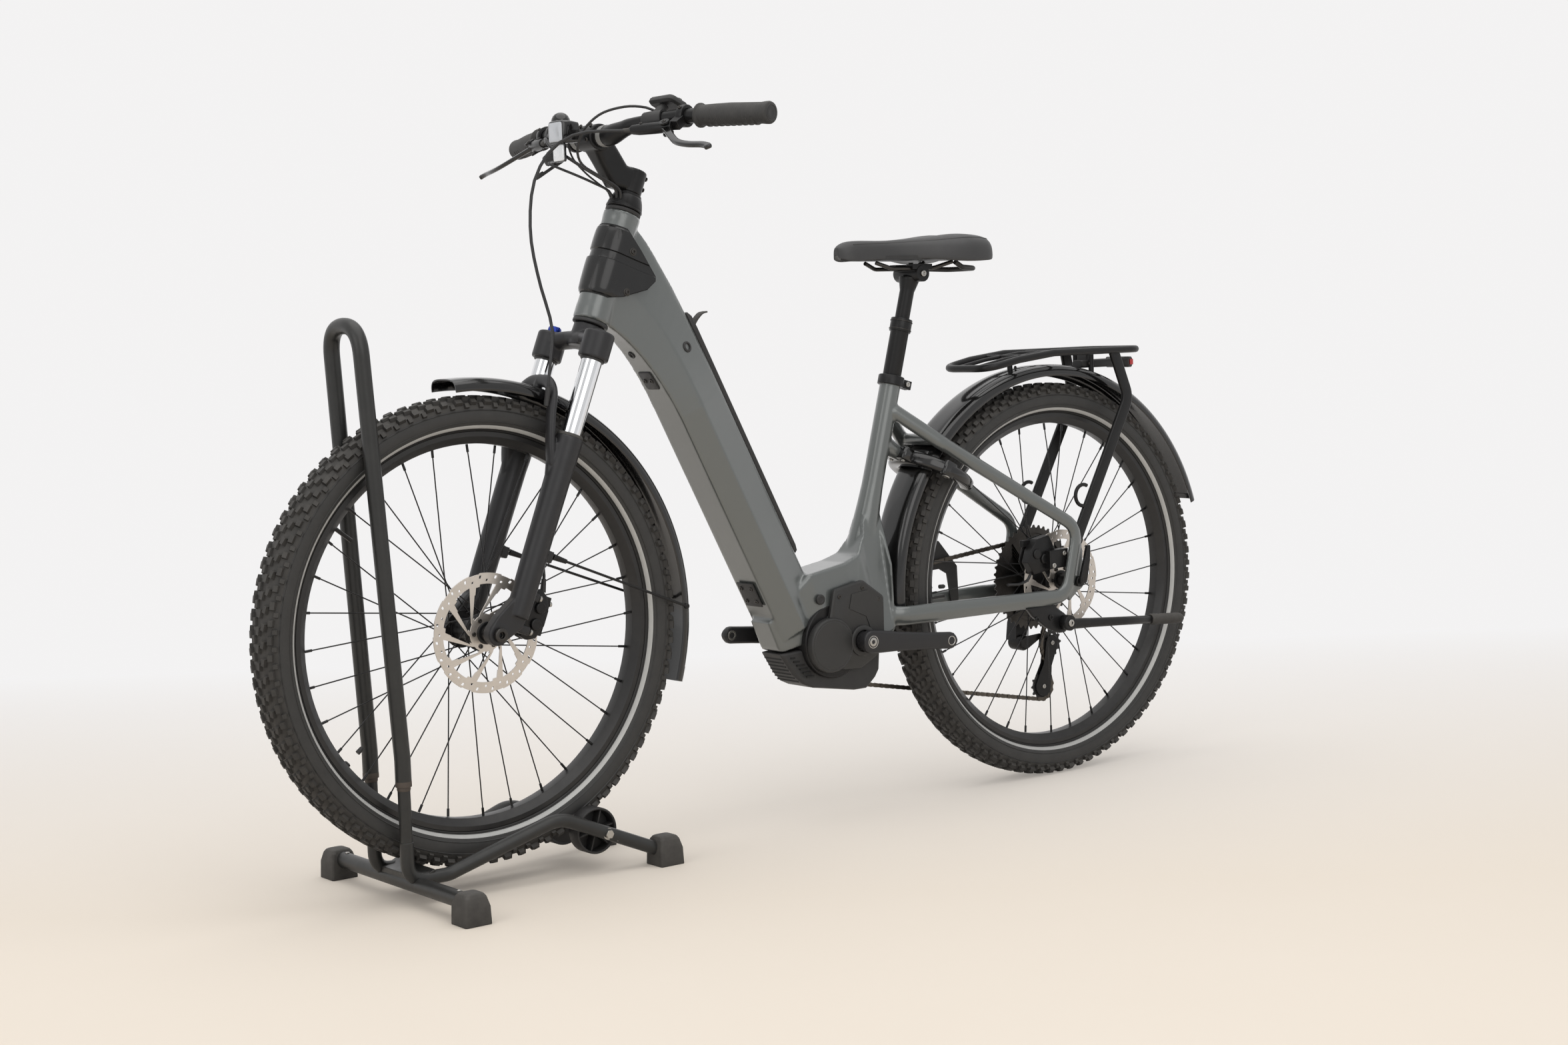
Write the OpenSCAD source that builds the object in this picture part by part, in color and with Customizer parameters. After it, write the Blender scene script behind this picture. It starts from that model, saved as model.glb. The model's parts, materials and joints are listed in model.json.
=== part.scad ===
// City and touring e-bike with a low step, standing with its front wheel in a floor stand.
// X points forward, Y to the rider's left, Z up. The origin is on the floor, in the middle of the length.

/* [Geometry] */
// Distance between the two wheel axles
wheelbase = 1188; // [1150:1:1220]
// How much higher the front axle sits than the rear one while the wheel is in the stand
front_lift = 32; // [28:1:36]
// Angle of the steering axis from the floor
head_angle = 68; // [67:0.5:69]
// Distance of the front axle ahead of the steering axis
fork_offset = 44.5; // [40:0.5:48]
// Distance of the crank axis ahead of the rear axle
crank_ahead = 480; // [474:1:488]
// Height of the crank axis
crank_height = 297; // [290:1:304]
// Angle of the seat tube from the floor
seat_angle = 74.5; // [73.5:0.5:75.5]

/* [Wheels] */
// Outer radius of the tyres
tyre_radius = 353; // [345:1:356]
// Width of the tyres
tyre_width = 65; // [56:1:68]
// Outer radius of the rim flanges
rim_radius = 299; // [290:1:302]
// Depth of the rims
rim_depth = 18; // [14:1:22]
// Width of the rims
rim_width = 36; // [30:1:40]
// Number of spokes in each wheel, a multiple of four
spoke_count = 32; // [24:4:36]
// Radius of a spoke
spoke_r = 1; // [0.8:0.1:1.1]
// Length of the front hub between the fork ends
front_hub = 110; // [106:1:112]
// Length of the rear hub between the dropouts
rear_hub_w = 148; // [146:1:150]
// Outer radius of the brake discs
disc_r = 90; // [80:1:92]
// Thickness of the brake discs
disc_t = 1.8; // [1.6:0.1:2.2]
// Distance of the brake discs from the middle plane
disc_y = 38; // [37:0.5:40]
// Radius of the front through axle
front_axle_r = 7.5; // [7:0.1:8]
// Radius of the rear through axle
rear_axle_r = 6; // [5.5:0.1:6.5]

/* [Frame] */
// Distance of the foot of the down tube ahead of the crank axis
down_ahead = 164.5; // [161:0.5:168]
// Half of the greatest width of the down tube
down_half = 46; // [43:1:48]
// Half of the depth of the down tube
down_depth = 46; // [44:1:48]
// Outer radius of the head tube
head_r = 29; // [27:0.5:31]
// Length of the head tube
head_len = 178; // [170:1:184]
// Distance from the level of the front axle up to the foot of the head tube, along the steering axis
head_start = 509; // [507:1:513]
// Outer radius of the seat tube
seat_tube_r = 17.5; // [17:0.1:18.5]
// Length of the seat tube from the level of the crank axis
seat_tube_len = 449; // [440:1:456]
// Half of the width of the motor housing on its left
bridge_half = 50; // [48:1:52]
// Half of the width of the motor housing on the side of the chain
chain_side_half = 37; // [34:0.5:37.5]
// Radius of the drive unit
motor_r = 62; // [58:1:64]
// Distance of the stays from the middle plane at the rear axle
stay_y = 82; // [81.5:0.5:83]
// Half of the height of a chainstay
chainstay_h = 17; // [14:1:19]
// Radius of a seatstay
seatstay_r = 13; // [11:0.5:14]
// Thickness of a dropout plate
dropout_t = 8; // [6:0.5:9]

/* [Saddle and post] */
// Radius of the outer seat post
post_r = 15.8; // [15:0.1:16.4]
// Radius of the sliding inner post
inner_post_r = 12.5; // [11.5:0.1:13.5]
// Height of the post collar above the seat tube, along the post
collar_up = 98; // [90:1:108]
// Height of the saddle rails above the seat tube, along the post
rail_up = 191; // [180:1:200]
// Travel of the sprung seat post
post_travel = 40; // [20:1:45]
// Length of the saddle
saddle_len = 308; // [280:1:315]
// Width of the saddle
saddle_w = 176; // [150:1:190]

/* [Drive] */
// Length of a crank arm between its axes
crank_len = 175; // [165:2.5:180]
// Angle of the left crank arm from straight back, below the horizontal
crank_tilt = 3; // [0:1:8]
// Radius of the chainring at the chain rollers
ring_r = 76.8; // [72.8:4.04:80.9]
// Radius of the sprocket that carries the chain, at the rollers
cog_r = 68.7; // [64.7:4.04:72.8]
// Radius of the derailleur pulleys at the rollers
pulley_r = 24.3; // [22.2:2.02:26.3]
// Distance of the chain from the middle plane
chain_y = 45.6; // [45.2:0.1:46]
// Width of the chain
chain_w = 5.6; // [5.2:0.2:6.6]
// Height of the chain's links
chain_h = 8; // [7.4:0.2:8.4]
// Distance between neighbouring sprockets
cog_pitch = 3.7; // [3.6:0.05:3.8]

/* [Fork] */
// Radius of the chromed fork tubes
stanchion_r = 16; // [15:0.5:17]
// Distance of the fork legs from the middle plane
leg_y = 66; // [65:0.5:68]
// Outer radius of the lower fork legs
leg_r = 21.5; // [20:0.5:22]
// Distance of the fork legs ahead of the steering axis
crown_offset = 18.5; // [16:0.5:21]
// Level of the top of the lower legs above the axle, along the steering axis
leg_top = 318; // [310:1:324]
// Travel of the fork
fork_travel = 80; // [60:5:80]
// Radius of the steerer tube
steerer_r = 14.3; // [13.8:0.1:14.6]

/* [Cockpit] */
// Distance of the handlebar ahead of the steering axis
bar_ahead = 89; // [84:1:94]
// Level of the handlebar above the axle, along the steering axis
bar_level = 777; // [772:1:784]
// Half of the width of the handlebar
bar_half = 345; // [330:1:360]
// Radius of the thick middle of the handlebar
bar_r = 15.9; // [15.5:0.1:17]
// Radius of the handlebar under the grips
bar_end_r = 11.1; // [10.9:0.1:11.3]
// Length of a grip
grip_len = 135; // [120:1:140]
// Radius of a grip
grip_r = 17; // [15.5:0.5:18.5]

/* [Mudguards and rack] */
// Distance from the tyre's tread to the outside of the rear mudguard
rear_guard_over = 33; // [27:1:35]
// Distance from the tyre's tread to the outside of the front mudguard
front_guard_over = 27; // [21:1:29]
// Half of the width of the mudguards
guard_half = 37; // [35:1:39]
// Height of the rack deck tubes
rack_z = 760; // [755:1:775]
// Half of the width of the rack deck
rack_half = 64; // [56:1:68]
// Radius of the rack deck tube
rack_r = 6.5; // [5:0.5:7]

/* [Stand] */
// Distance of the stand's cross bar ahead of the front axle
bar_fore = 140; // [134:1:146]
// Half of the length of the cross bar between its feet
cross_half = 182; // [170:1:210]
// Radius of the cross bar
cross_r = 12.5; // [11:0.5:14]
// Radius of the bent side tubes
side_r = 10.5; // [9:0.5:11]
// Radius of the hoop tube
hoop_r = 12; // [12:0.5:13]
// Distance of the side tubes from the middle plane
side_y = 50; // [49:0.5:52]
// Height of the top of the hoop
hoop_top = 858; // [840:1:880]
// Half of the width of the hoop at its top
hoop_half = 45; // [42:1:50]
// Radius of the cradle discs
cradle_r = 36; // [32:1:37]

/* [Clearances] */
// Gap between parts that turn or slide past each other
gap = 0.3; // [0.2:0.05:0.35]
// Radial clearance of a shaft in its bearing
fit = 0.05; // [0.02:0.01:0.09]

/* [Hidden] */
$fn = 96;

// Colours
paint = [0.36, 0.39, 0.38];
black = [0.09, 0.09, 0.095];
matte = [0.13, 0.13, 0.135];
chrome = [0.86, 0.87, 0.88];
steel = [0.72, 0.71, 0.69];
rubber = [0.11, 0.105, 0.10];

// Places of the wheels, the crank and the two tilted axes
hub_z = tyre_radius;
front_hub_z = tyre_radius + front_lift;
rear_guard_end = 162;
rear_guard_r = tyre_radius + rear_guard_over;
front_guard_r = tyre_radius + front_guard_over;
guard_reach = -rear_guard_r * cos(rear_guard_end);
rear_x = -(wheelbase + tyre_radius - guard_reach) / 2;
front_x = rear_x + wheelbase;
crank_x = rear_x + crank_ahead;
steer_x = front_x - fork_offset * sin(head_angle);
steer_z = front_hub_z - fork_offset * cos(head_angle);
head_end = head_start + head_len;
seat_x = crank_x - 9;
down_x = crank_x + down_ahead;
down_z = crank_height + 153;
// Place on the middle line of the down tube behind the head tube
down_meet = [steer_x, steer_z] - 206.9 * [sin(head_angle), cos(head_angle)]
  + (head_start - 45.4) * [-cos(head_angle), sin(head_angle)];
down_line = down_meet - [down_x, down_z];
down_angle = atan2(down_line[1], down_line[0]);
bead_r = rim_radius - 10;
rim_bed = rim_radius - rim_depth;
rear_hub_half = rear_hub_w / 2;
front_hub_half = front_hub / 2;
crown_top = head_start - 13;
crown_low = crown_top - 55;
rail_level = seat_tube_len + rail_up;
rail_x = seat_x - cos(seat_angle) * rail_level;
rail_z = crank_height + sin(seat_angle) * rail_level;

// ---- helpers ----

module at_rear() translate([rear_x, 0, hub_z]) children();
module at_front() translate([front_x, 0, front_hub_z]) children();
module at_crank() translate([crank_x, 0, crank_height]) children();
// Along the steering axis: Z up the axis from the level of the front axle, X ahead of it
module at_steer() translate([steer_x, 0, steer_z]) rotate([0, head_angle - 90, 0]) children();
// Along the seat tube from the level of the crank axis
module at_seat() translate([seat_x, 0, crank_height]) rotate([0, seat_angle - 90, 0]) children();
// Along the middle of the down tube
module at_down() translate([down_x, 0, down_z]) rotate([0, 90 - down_angle, 0]) children();

// A side view outline made solid from y0 to y1
module across(y0, y1) translate([0, y1, 0]) rotate([90, 0, 0]) linear_extrude(y1 - y0) children();
// A round bar along Y
module bar_y(r, y0, y1) translate([0, y0, 0]) rotate([-90, 0, 0]) cylinder(r = r, h = y1 - y0);
// A profile of radius and distance turned about Y
module turned() rotate([-90, 0, 0]) rotate_extrude() children();
// A turned arc from angle a0 to a1, counted up from straight ahead
module turned_arc(a0, a1) rotate([90, 0, 0]) rotate([0, 0, a0]) rotate_extrude(angle = a1 - a0) children();
module both_sides() {
  children();
  mirror([0, 1, 0]) children();
}

function unit(v) = v / norm(v);
// A straight round rod between two points, with radius end_r at b if that is given
module rod(a, b, r, end_r = undef) {
  d = b - a;
  r2 = is_undef(end_r) ? r : end_r;
  translate(a) rotate([0, acos(d[2] / norm(d)), atan2(d[1], d[0])])
    cylinder(r1 = r, r2 = r2, h = norm(d), $fn = 24);
}
// Points of the bend of radius r at p, between the straights to a and b
function bend_at(a, p, b, r, n) =
  let (u = unit(a - p), w = unit(b - p), half = acos(max(-1, min(1, u * w))) / 2)
  half > 88 ? [p] :
  let (m = p + unit(u + w) * r / sin(half), s = p + u * r / tan(half) - m,
       e = p + w * r / tan(half) - m, turn = 180 - 2 * half)
  [for (k = [0:n]) m + (sin((1 - k / n) * turn) * s + sin(k / n * turn) * e) / sin(turn)];
function bent(pts, r, n = 5) = [
  pts[0],
  for (i = [1:len(pts) - 2]) each bend_at(pts[i - 1], pts[i], pts[i + 1], r, n),
  pts[len(pts) - 1]
];
function tangents(p) = [for (i = [0:len(p) - 1]) unit(p[min(i + 1, len(p) - 1)] - p[max(i - 1, 0)])];
function carried(t, i, up) =
  i == len(t) ? [] :
  let (m = unit(up - (up * t[i]) * t[i])) concat([m], carried(t, i + 1, m));
// A tube along a path; ru and rs are its half sizes along "up" and across it, numbers or one per point
module tube(path, ru, rs = undef, up = [0, 0, 1], sides = 12) {
  n = len(path);
  t = tangents(path);
  m = carried(t, 0, up);
  side = is_undef(rs) ? ru : rs;
  points = [
    for (i = [0:n - 1])
      let (b = cross(t[i], m[i]), a = is_num(ru) ? ru : ru[i], c = is_num(side) ? side : side[i])
      for (k = [0:sides - 1]) path[i] + a * cos(360 * k / sides) * m[i] + c * sin(360 * k / sides) * b
  ];
  skin = [
    for (i = [0:n - 2], k = [0:sides - 1])
      let (j = (k + 1) % sides)
      [i * sides + k, (i + 1) * sides + k, (i + 1) * sides + j, i * sides + j]
  ];
  ends = [[for (k = [0:sides - 1]) k], [for (k = [sides - 1:-1:0]) (n - 1) * sides + k]];
  polyhedron(points, concat(skin, ends));
}

// ---- wheels ----

// Half section of the tyre as points of radius and distance from its middle plane
function at_height(share) = rim_radius + share * (tyre_radius - rim_radius);
function tyre_skin() = let (w = tyre_width / 2, f = rim_width / 2 - 3) [
  [bead_r, f], [at_height(0.01), f], [at_height(0.04), f + 4], [at_height(0.17), w - 4.5],
  [at_height(0.35), w - 0.5], [at_height(0.54), w - 0.5], [at_height(0.67), w],
  [at_height(0.87), w - 3], [at_height(0.96), w - 10], [tyre_radius, w - 20]
];
function tyre_lining() = let (w = tyre_width / 2, f = rim_width / 2 - 9) [
  [bead_r, f], [at_height(0.04), f + 1], [at_height(0.17), w - 8.5], [at_height(0.35), w - 4.5],
  [at_height(0.56), w - 4.5], [at_height(0.74), w - 8], [at_height(0.81), w - 20]
];
spindle_r = 12;
cassette_bore = 10;
function mirrored(p) = [for (i = [len(p) - 1:-1:0]) [p[i][0], -p[i][1]]];
function reversed(p) = [for (i = [len(p) - 1:-1:0]) p[i]];
module tyre() {
  color(rubber) turned() polygon(concat(
    tyre_skin(), mirrored(tyre_skin()), reversed(mirrored(tyre_lining())), reversed(tyre_lining())
  ));
}
module rim(valve_angle) {
  h = rim_width / 2;
  color(matte) {
    turned() polygon([
      [rim_radius, h], [rim_radius, h - 3], [bead_r, h - 3], [bead_r, 3 - h], [rim_radius, 3 - h],
      [rim_radius, -h], [rim_radius - 7, -h], [rim_bed, 9 - h], [rim_bed, h - 9], [rim_radius - 7, h]
    ]);
    // Valve stem
    rotate([0, -valve_angle, 0]) translate([rim_bed - 34, 0, 0]) rotate([0, 90, 0]) cylinder(r = 3.2, h = 36);
  }
}
// Spokes laced three cross: leading and trailing spokes run in two layers inside each flange
module spokes(left_flange, right_flange) {
  hub_circle = 25;
  lacing = 66;
  layer = 1.5 * spoke_r;
  color(matte) for (i = [0:spoke_count - 1]) {
    side = i % 2 == 0 ? 1 : -1;
    lead = floor(i / 2) % 2 == 0 ? 1 : -1;
    flange = side > 0 ? left_flange : right_flange;
    inset = 1.5 + gap + spoke_r + (lead > 0 ? 0 : 2 * layer);
    a = 360 / spoke_count * i;
    h = a + lead * lacing;
    start = [hub_circle * cos(h), side * (flange - inset), hub_circle * sin(h)];
    end = [(rim_bed - 2 * gap) * cos(a), side * (lead > 0 ? 2 + 2 * layer : 2), (rim_bed - 2 * gap) * sin(a)];
    rod(start, end, spoke_r);
    rod(end - 12 * unit(end - start), end, 2 * spoke_r);
  }
}
// Hub shell with two flanges, a disc seat on the left and a plain end on the right
module hub(half, left_flange, right_flange, bore_r, right_r) {
  seat = disc_y - disc_t / 2;
  color(black) turned() polygon([
    [bore_r + fit, -half + gap], [right_r, -half + gap], [right_r, -right_flange - 10],
    [19, -right_flange - 10], [19, -right_flange - 1.5], [28.5, -right_flange - 1.5],
    [28.5, -right_flange + 1.5], [19, -right_flange + 1.5], [16, -right_flange + 12],
    [16, left_flange - 12], [19, left_flange - 1.5], [28.5, left_flange - 1.5],
    [28.5, left_flange + 1.5], [26, left_flange + 3], [26, seat], [12, seat],
    [12, half - gap], [bore_r + fit, half - gap]
  ]);
}
module disc() {
  track = disc_r - 15;
  color(steel) across(disc_y - disc_t / 2, disc_y + disc_t / 2) {
    difference() {
      circle(disc_r);
      circle(track);
      for (i = [0:23]) rotate(15 * i) translate([disc_r - 5 - 5 * (i % 2), 0]) circle(2.4);
    }
    difference() {
      circle(26);
      circle(12.2);
      for (i = [0:5]) rotate(60 * i) translate([22, 0]) circle(2.6);
    }
    for (i = [0:5]) rotate(60 * i + 30) translate([24, -2]) rotate(-28) square([track - 12, 6]);
  }
}
front_left_flange = 24;
front_right_flange = 34;
rear_left_flange = 29;
rear_right_flange = 20;
module front_tyre() at_front() tyre();
module front_rim() at_front() rim(38);
module front_spokes() at_front() spokes(front_left_flange, front_right_flange);
module front_hub() at_front() hub(front_hub_half, front_left_flange, front_right_flange, front_axle_r, 12);
module front_disc() at_front() disc();
module rear_tyre() at_rear() tyre();
module rear_rim() at_rear() rim(-2);
module rear_spokes() at_rear() spokes(rear_left_flange, rear_right_flange);
module rear_hub() at_rear() hub(rear_hub_half, rear_left_flange, rear_right_flange, rear_axle_r, cassette_bore);
module rear_disc() at_rear() disc();

// ---- frame ----

cup_r = 22;
stay_bridge = [292, 268];
down_low = -134;
down_high = norm(down_line) + 15;
bay_low = -20;
bay_high = down_high + 82;
bay_half = 31;
bay_top = 28;
slot_half = 17;
// Section of the down tube: X towards the front wheel, Y across
function down_section(k = 1) = [
  [down_depth, -33 * k], [down_depth, 33 * k], [8, down_half * k], [-down_depth, 25 * k],
  [-down_depth - 6, 20 * k], [-down_depth - 6, -20 * k], [-down_depth, -25 * k], [8, -down_half * k]
];
module down_tube() at_down() translate([0, 0, down_low]) linear_extrude(down_high - down_low)
  polygon(down_section());
// The gusset that runs from the top of the down tube into the head tube
module gusset() hull() {
  at_down() translate([0, 0, down_high - 30]) linear_extrude(28) offset(delta = -0.8) polygon(down_section());
  at_steer() translate([1 - head_r, -head_r * 0.9, head_start + 4])
    cube([head_r * 0.7, head_r * 1.8, head_len - 10]);
}
module head_tube() at_steer() translate([0, 0, head_start]) cylinder(r = head_r, h = head_len);
// Side outline of the housing that carries the drive unit, from the rear axle
module bridge_outline() polygon([
  [crank_ahead + 172, crank_height + 44], [crank_ahead + 97, crank_height + 118],
  [crank_ahead - 4, crank_height + 130], [crank_ahead - 24, crank_height + 168],
  [crank_ahead - 82, crank_height + 168], [crank_ahead - 84, crank_height + 120],
  [crank_ahead - 84, crank_height + 6], [crank_ahead - 56, crank_height - 4],
  [crank_ahead, crank_height + 20], [crank_ahead + 60, crank_height + 30],
  [crank_ahead + 110, crank_height + 2], [crank_ahead + 150, crank_height - 8]
]);
// The housing narrows towards the front
module housing_plan() polygon([
  [-120, -chain_side_half], [70, -chain_side_half], [162, -26], [190, -26], [190, 28], [162, 28],
  [84, bridge_half], [-120, bridge_half]
]);
motor_ahead = 52;
motor_up = 4;
// Side outline of the drive unit, grown by g all round
module motor_outline(g) {
  translate([crank_ahead + motor_ahead, crank_height + motor_up]) circle(motor_r + g);
  translate([crank_ahead, crank_height]) circle(44 + g);
}
module seat_tube() {
  at_seat() translate([0, 0, 150]) cylinder(r = seat_tube_r, h = seat_tube_len - 150);
  hull() {
    at_seat() translate([0, 0, 262]) cylinder(r = seat_tube_r - 1, h = 2, $fn = 32);
    translate([crank_x - 82, -26, crank_height + 130]) cube([60, 52, 6]);
  }
}
stay_half = 9;
// One stay: out of the motor housing, back below the axle, round and up to the seat tube
module stay(y) {
  path = bent([
    [crank_x - 66, 27, crank_height + 33], [crank_x - 102, 52, crank_height + 31], [rear_x + 28, y, hub_z - 24],
    [rear_x - 2, y, hub_z + 96], [rear_x + 285, guard_half + 13, hub_z + 262],
    [seat_x - cos(seat_angle) * (seat_tube_len - 105), 12, crank_height + seat_tube_len - 75]
  ], 34, 5);
  n = len(path) - 1;
  high = [[0, chainstay_h], [6, chainstay_h - 1], [9, 13], [12, 11], [14, seatstay_r - 1], [n, seatstay_r]];
  wide = [[0, stay_half], [6, stay_half], [12, 7.5], [18, 7.5], [n, seatstay_r - 2]];
  tube(path, [for (i = [0:n]) lookup(i, high)], [for (i = [0:n]) lookup(i, wide)]);
}
module dropout() at_rear() across(rear_hub_half + gap, rear_hub_half + gap + dropout_t) {
  circle(17);
  polygon([[-4, -14], [20, -34], [34, -20], [14, 40], [4, 92], [-12, 78], [-14, 40], [-13, 0]]);
}
module frame() {
  color(paint) difference() {
    union() {
      down_tube();
      gusset();
      head_tube();
      intersection() {
        translate([rear_x, 0, 0]) across(-chain_side_half, bridge_half) bridge_outline();
        translate([crank_x, 0, crank_height - 100]) linear_extrude(300) housing_plan();
      }
      seat_tube();
      both_sides() stay(stay_y);
      both_sides() dropout();
      // Bridge between the seatstays that carries the mudguard
      at_rear() translate([stay_bridge[0], 0, stay_bridge[1]])
        bar_y(norm(stay_bridge) - rear_guard_r - gap, -42, 42);
      // Boss behind the seat tube that carries the ring lock
      at_lock() translate([-lock_back - 30, -20, -7]) cube([30, 40, 14]);
    }
    // Steerer and headset room
    at_steer() translate([0, 0, head_start - 1]) cylinder(r = cup_r, h = head_len + 20);
    at_steer() translate([0, 0, head_start - 30]) cylinder(r = head_r + 1, h = 30);
    // Seat post bore
    at_seat() translate([0, 0, 240]) cylinder(r = post_r + fit, h = seat_tube_len);
    // Battery bay, open along the top of the tube
    at_down() battery_block(0);
    // Room for the drive unit
    translate([rear_x, 0, 0]) across(-bridge_half - 1, bridge_half + 1) motor_outline(gap);
    translate([crank_x - 46, -bridge_half - 1, crank_height - 80]) cube([220, 2 * bridge_half + 2, 76]);
    // Charging socket
    translate([crank_x + 80, bridge_half - 14, crank_height + 76]) bar_y(9, 0, 16);
    // Axle holes in the dropouts
    at_rear() bar_y(rear_axle_r + fit, -120, 120);
  }
}
// The battery with the rib that fills the slot along the top of the tube, smaller by g all round
module battery_block(g) {
  translate([-bay_top + g, -bay_half + g, bay_low + g])
    cube([down_depth - 8 + bay_top - 2 * g, 2 * (bay_half - g), bay_high - bay_low - 2 * g]);
  translate([-down_depth - 8 + (g > 0 ? 2 : 0), -slot_half + g, bay_low + g])
    cube([down_depth + 8 - bay_top, 2 * (slot_half - g), bay_high - bay_low - 2 * g]);
}
module battery() color(black) at_down() battery_block(gap);
module battery_cover() color(matte) at_down() {
  translate([-down_depth - 14, -slot_half - 3, bay_low - 8])
    cube([8, 2 * slot_half + 6, bay_high - bay_low + 30]);
  // Strap loop at the upper end
  translate([-down_depth - 40, -8, bay_high - 8]) cube([26, 16, 3]);
}

// ---- covers and fittings of the frame ----

disc_cover_r = 46;
disc_cover_ahead = 65;
cover_t = 6;
chain_cover_t = 3;
// Black wrap round the front of the head tube
module head_cover() color(matte) at_steer() difference() {
  intersection() {
    translate([0, 0, head_start + 42]) cylinder(r = head_r + 4, h = 104);
    translate([-8, -50, head_start + 40]) cube([60, 100, 110]);
  }
  translate([0, 0, head_start]) cylinder(r = head_r, h = head_len);
}
// Drive unit in its housing, with the bearing of the crank spindle
module drive_unit() color(black) difference() {
  translate([rear_x, 0, 0]) across(-chain_side_half, bridge_half) motor_outline(0);
  at_crank() bar_y(spindle_r + fit, -60, 60);
}
// Outline of the upper side cover
module side_cover_outline() polygon([
  [crank_ahead - 50, crank_height - 2], [crank_ahead - 50, crank_height + 70],
  [crank_ahead - 6, crank_height + 101], [crank_ahead + 56, crank_height + 90],
  [crank_ahead + 66, crank_height + 46], [crank_ahead + 60, crank_height - 2]
]);
module side_cover(y0, t) translate([rear_x, 0, 0]) across(y0, y0 + t) difference() {
  union() {
    side_cover_outline();
    translate([crank_ahead, crank_height]) circle(38);
  }
  translate([crank_ahead, crank_height]) circle(spindle_r + 6);
  translate([crank_ahead + disc_cover_ahead, crank_height - 1]) circle(disc_cover_r + gap);
}
// Round cover beside the crank
module round_cover() translate([rear_x, 0, 0]) across(bridge_half, bridge_half + cover_t + 5)
  difference() {
    translate([crank_ahead + disc_cover_ahead, crank_height - 1]) circle(disc_cover_r);
    translate([crank_ahead, crank_height]) circle(spindle_r + 6);
  }
// Plate under the drive unit, with cooling slots at its front
module skid_plate() difference() {
  intersection() {
    translate([crank_x, 0, crank_height - 100]) linear_extrude(120) housing_plan();
    translate([rear_x, 0, 0]) across(-chain_side_half, bridge_half) difference() {
      polygon([
        [crank_ahead - 48, crank_height - 5], [crank_ahead - 44, crank_height - 56],
        [crank_ahead - 14, crank_height - 84], [crank_ahead + 94, crank_height - 70],
        [crank_ahead + 126, crank_height - 48], [crank_ahead + 152, crank_height - 9],
        [crank_ahead + 118, crank_height - 5]
      ]);
      motor_outline(gap);
    }
  }
  for (i = [0:6]) translate([crank_x + 112 + 4.4 * i, -30, crank_height - 66 + 6.8 * i])
    rotate([0, -32, 0]) cube([30, 60, 2.6]);
}
module motor_covers() color(matte) {
  side_cover(bridge_half, cover_t);
  side_cover(-chain_side_half - chain_cover_t, chain_cover_t);
  round_cover();
  skid_plate();
}
// Headset cups, screwed plates under the down tube, lock cylinder, socket cap, kickstand bracket
module frame_fittings() color(black) {
  at_steer() {
    translate([0, 0, head_start - 6]) headset_ring();
    translate([0, 0, head_end - 8]) mirror([0, 0, 1]) translate([0, 0, -14]) headset_ring();
  }
  at_down() translate([down_depth, -22, -64]) cube([3, 44, 40]);
  difference() {
    at_down() {
      translate([down_depth + 13, -20, down_high + 25]) rotate([0, 13.5, 0]) translate([-6, 0, 0]) cube([9.4, 40, 40]);
      translate([-22, 30, bay_high - 8]) bar_y(8, 0, 12);
    }
    gusset();
  }
  translate([crank_x + 80, bridge_half - 13, crank_height + 76]) bar_y(8.6, 0, 12);
  kickstand_bracket();
}
module headset_ring() difference() {
  union() {
    cylinder(r = head_r - 1, h = 6);
    cylinder(r = cup_r - fit, h = 14);
  }
  translate([0, 0, -1]) cylinder(r = steerer_r + fit, h = 20);
}
// Place of the kickstand's pivot from the rear axle
kick_ahead = 36;
kick_down = 70;
kick_pin_r = 4;
stay_under = -22 - chainstay_h - gap;
module kickstand_bracket() at_rear() across(stay_y - 9, stay_y + 1) difference() {
  polygon([
    [124, stay_under - 0.5], [62, stay_under - 0.1], [kick_ahead - 14, 6 - kick_down],
    [kick_ahead - 12, -kick_down - 12], [kick_ahead + 10, -kick_down - 14], [76, -kick_down - 6], [112, -52]
  ]);
  translate([kick_ahead, -kick_down]) circle(kick_pin_r + fit);
}
// Leg that folds back beside its bracket, with a rubber foot
kick_y = stay_y + 9.5;
module kickstand() {
  root = [kick_ahead - 2, kick_y, -kick_down - 2];
  knee = [-176, kick_y, -kick_down - 14];
  tip = [-256, kick_y, -kick_down - 17];
  color(matte) at_rear() {
    difference() {
      union() {
        translate([kick_ahead, 0, -kick_down]) bar_y(14, stay_y + 1 + gap, kick_y + 8);
        rod(root, knee, 8);
      }
      translate([-200, stay_y - 20, -kick_down - 40]) cube([260, 21 + gap, 60]);
    }
    translate([kick_ahead, 0, -kick_down]) bar_y(kick_pin_r, stay_y - 9, stay_y + 1 + gap);
    difference() {
      rod(knee - [1, 0, 0], tip, 10.5);
      rod(root, knee, 8);
    }
  }
}
module seat_clamp() color(black) at_seat() translate([0, 0, seat_tube_len - 13]) difference() {
  union() {
    cylinder(r = seat_tube_r + 4.5, h = 16);
    translate([-seat_tube_r - 22, -8, 0]) cube([24, 16, 16]);
  }
  translate([0, 0, -1]) cylinder(r = seat_tube_r, h = 14);
  translate([0, 0, 2]) cylinder(r = post_r + fit, h = 20);
  translate([-seat_tube_r - 30, -1, -1]) cube([36, 2, 20]);
  translate([-seat_tube_r - 13, 0, 8]) bar_y(3, -20, 20);
}
module seatpost_outer() color(black) at_seat() difference() {
  union() {
    translate([0, 0, 250]) cylinder(r = post_r, h = seat_tube_len + collar_up - 250);
    translate([0, 0, seat_tube_len + collar_up - 18]) cylinder(r = post_r + 2.6, h = 22);
  }
  translate([0, 0, 260]) cylinder(r = inner_post_r + fit, h = seat_tube_len + collar_up);
}
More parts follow.
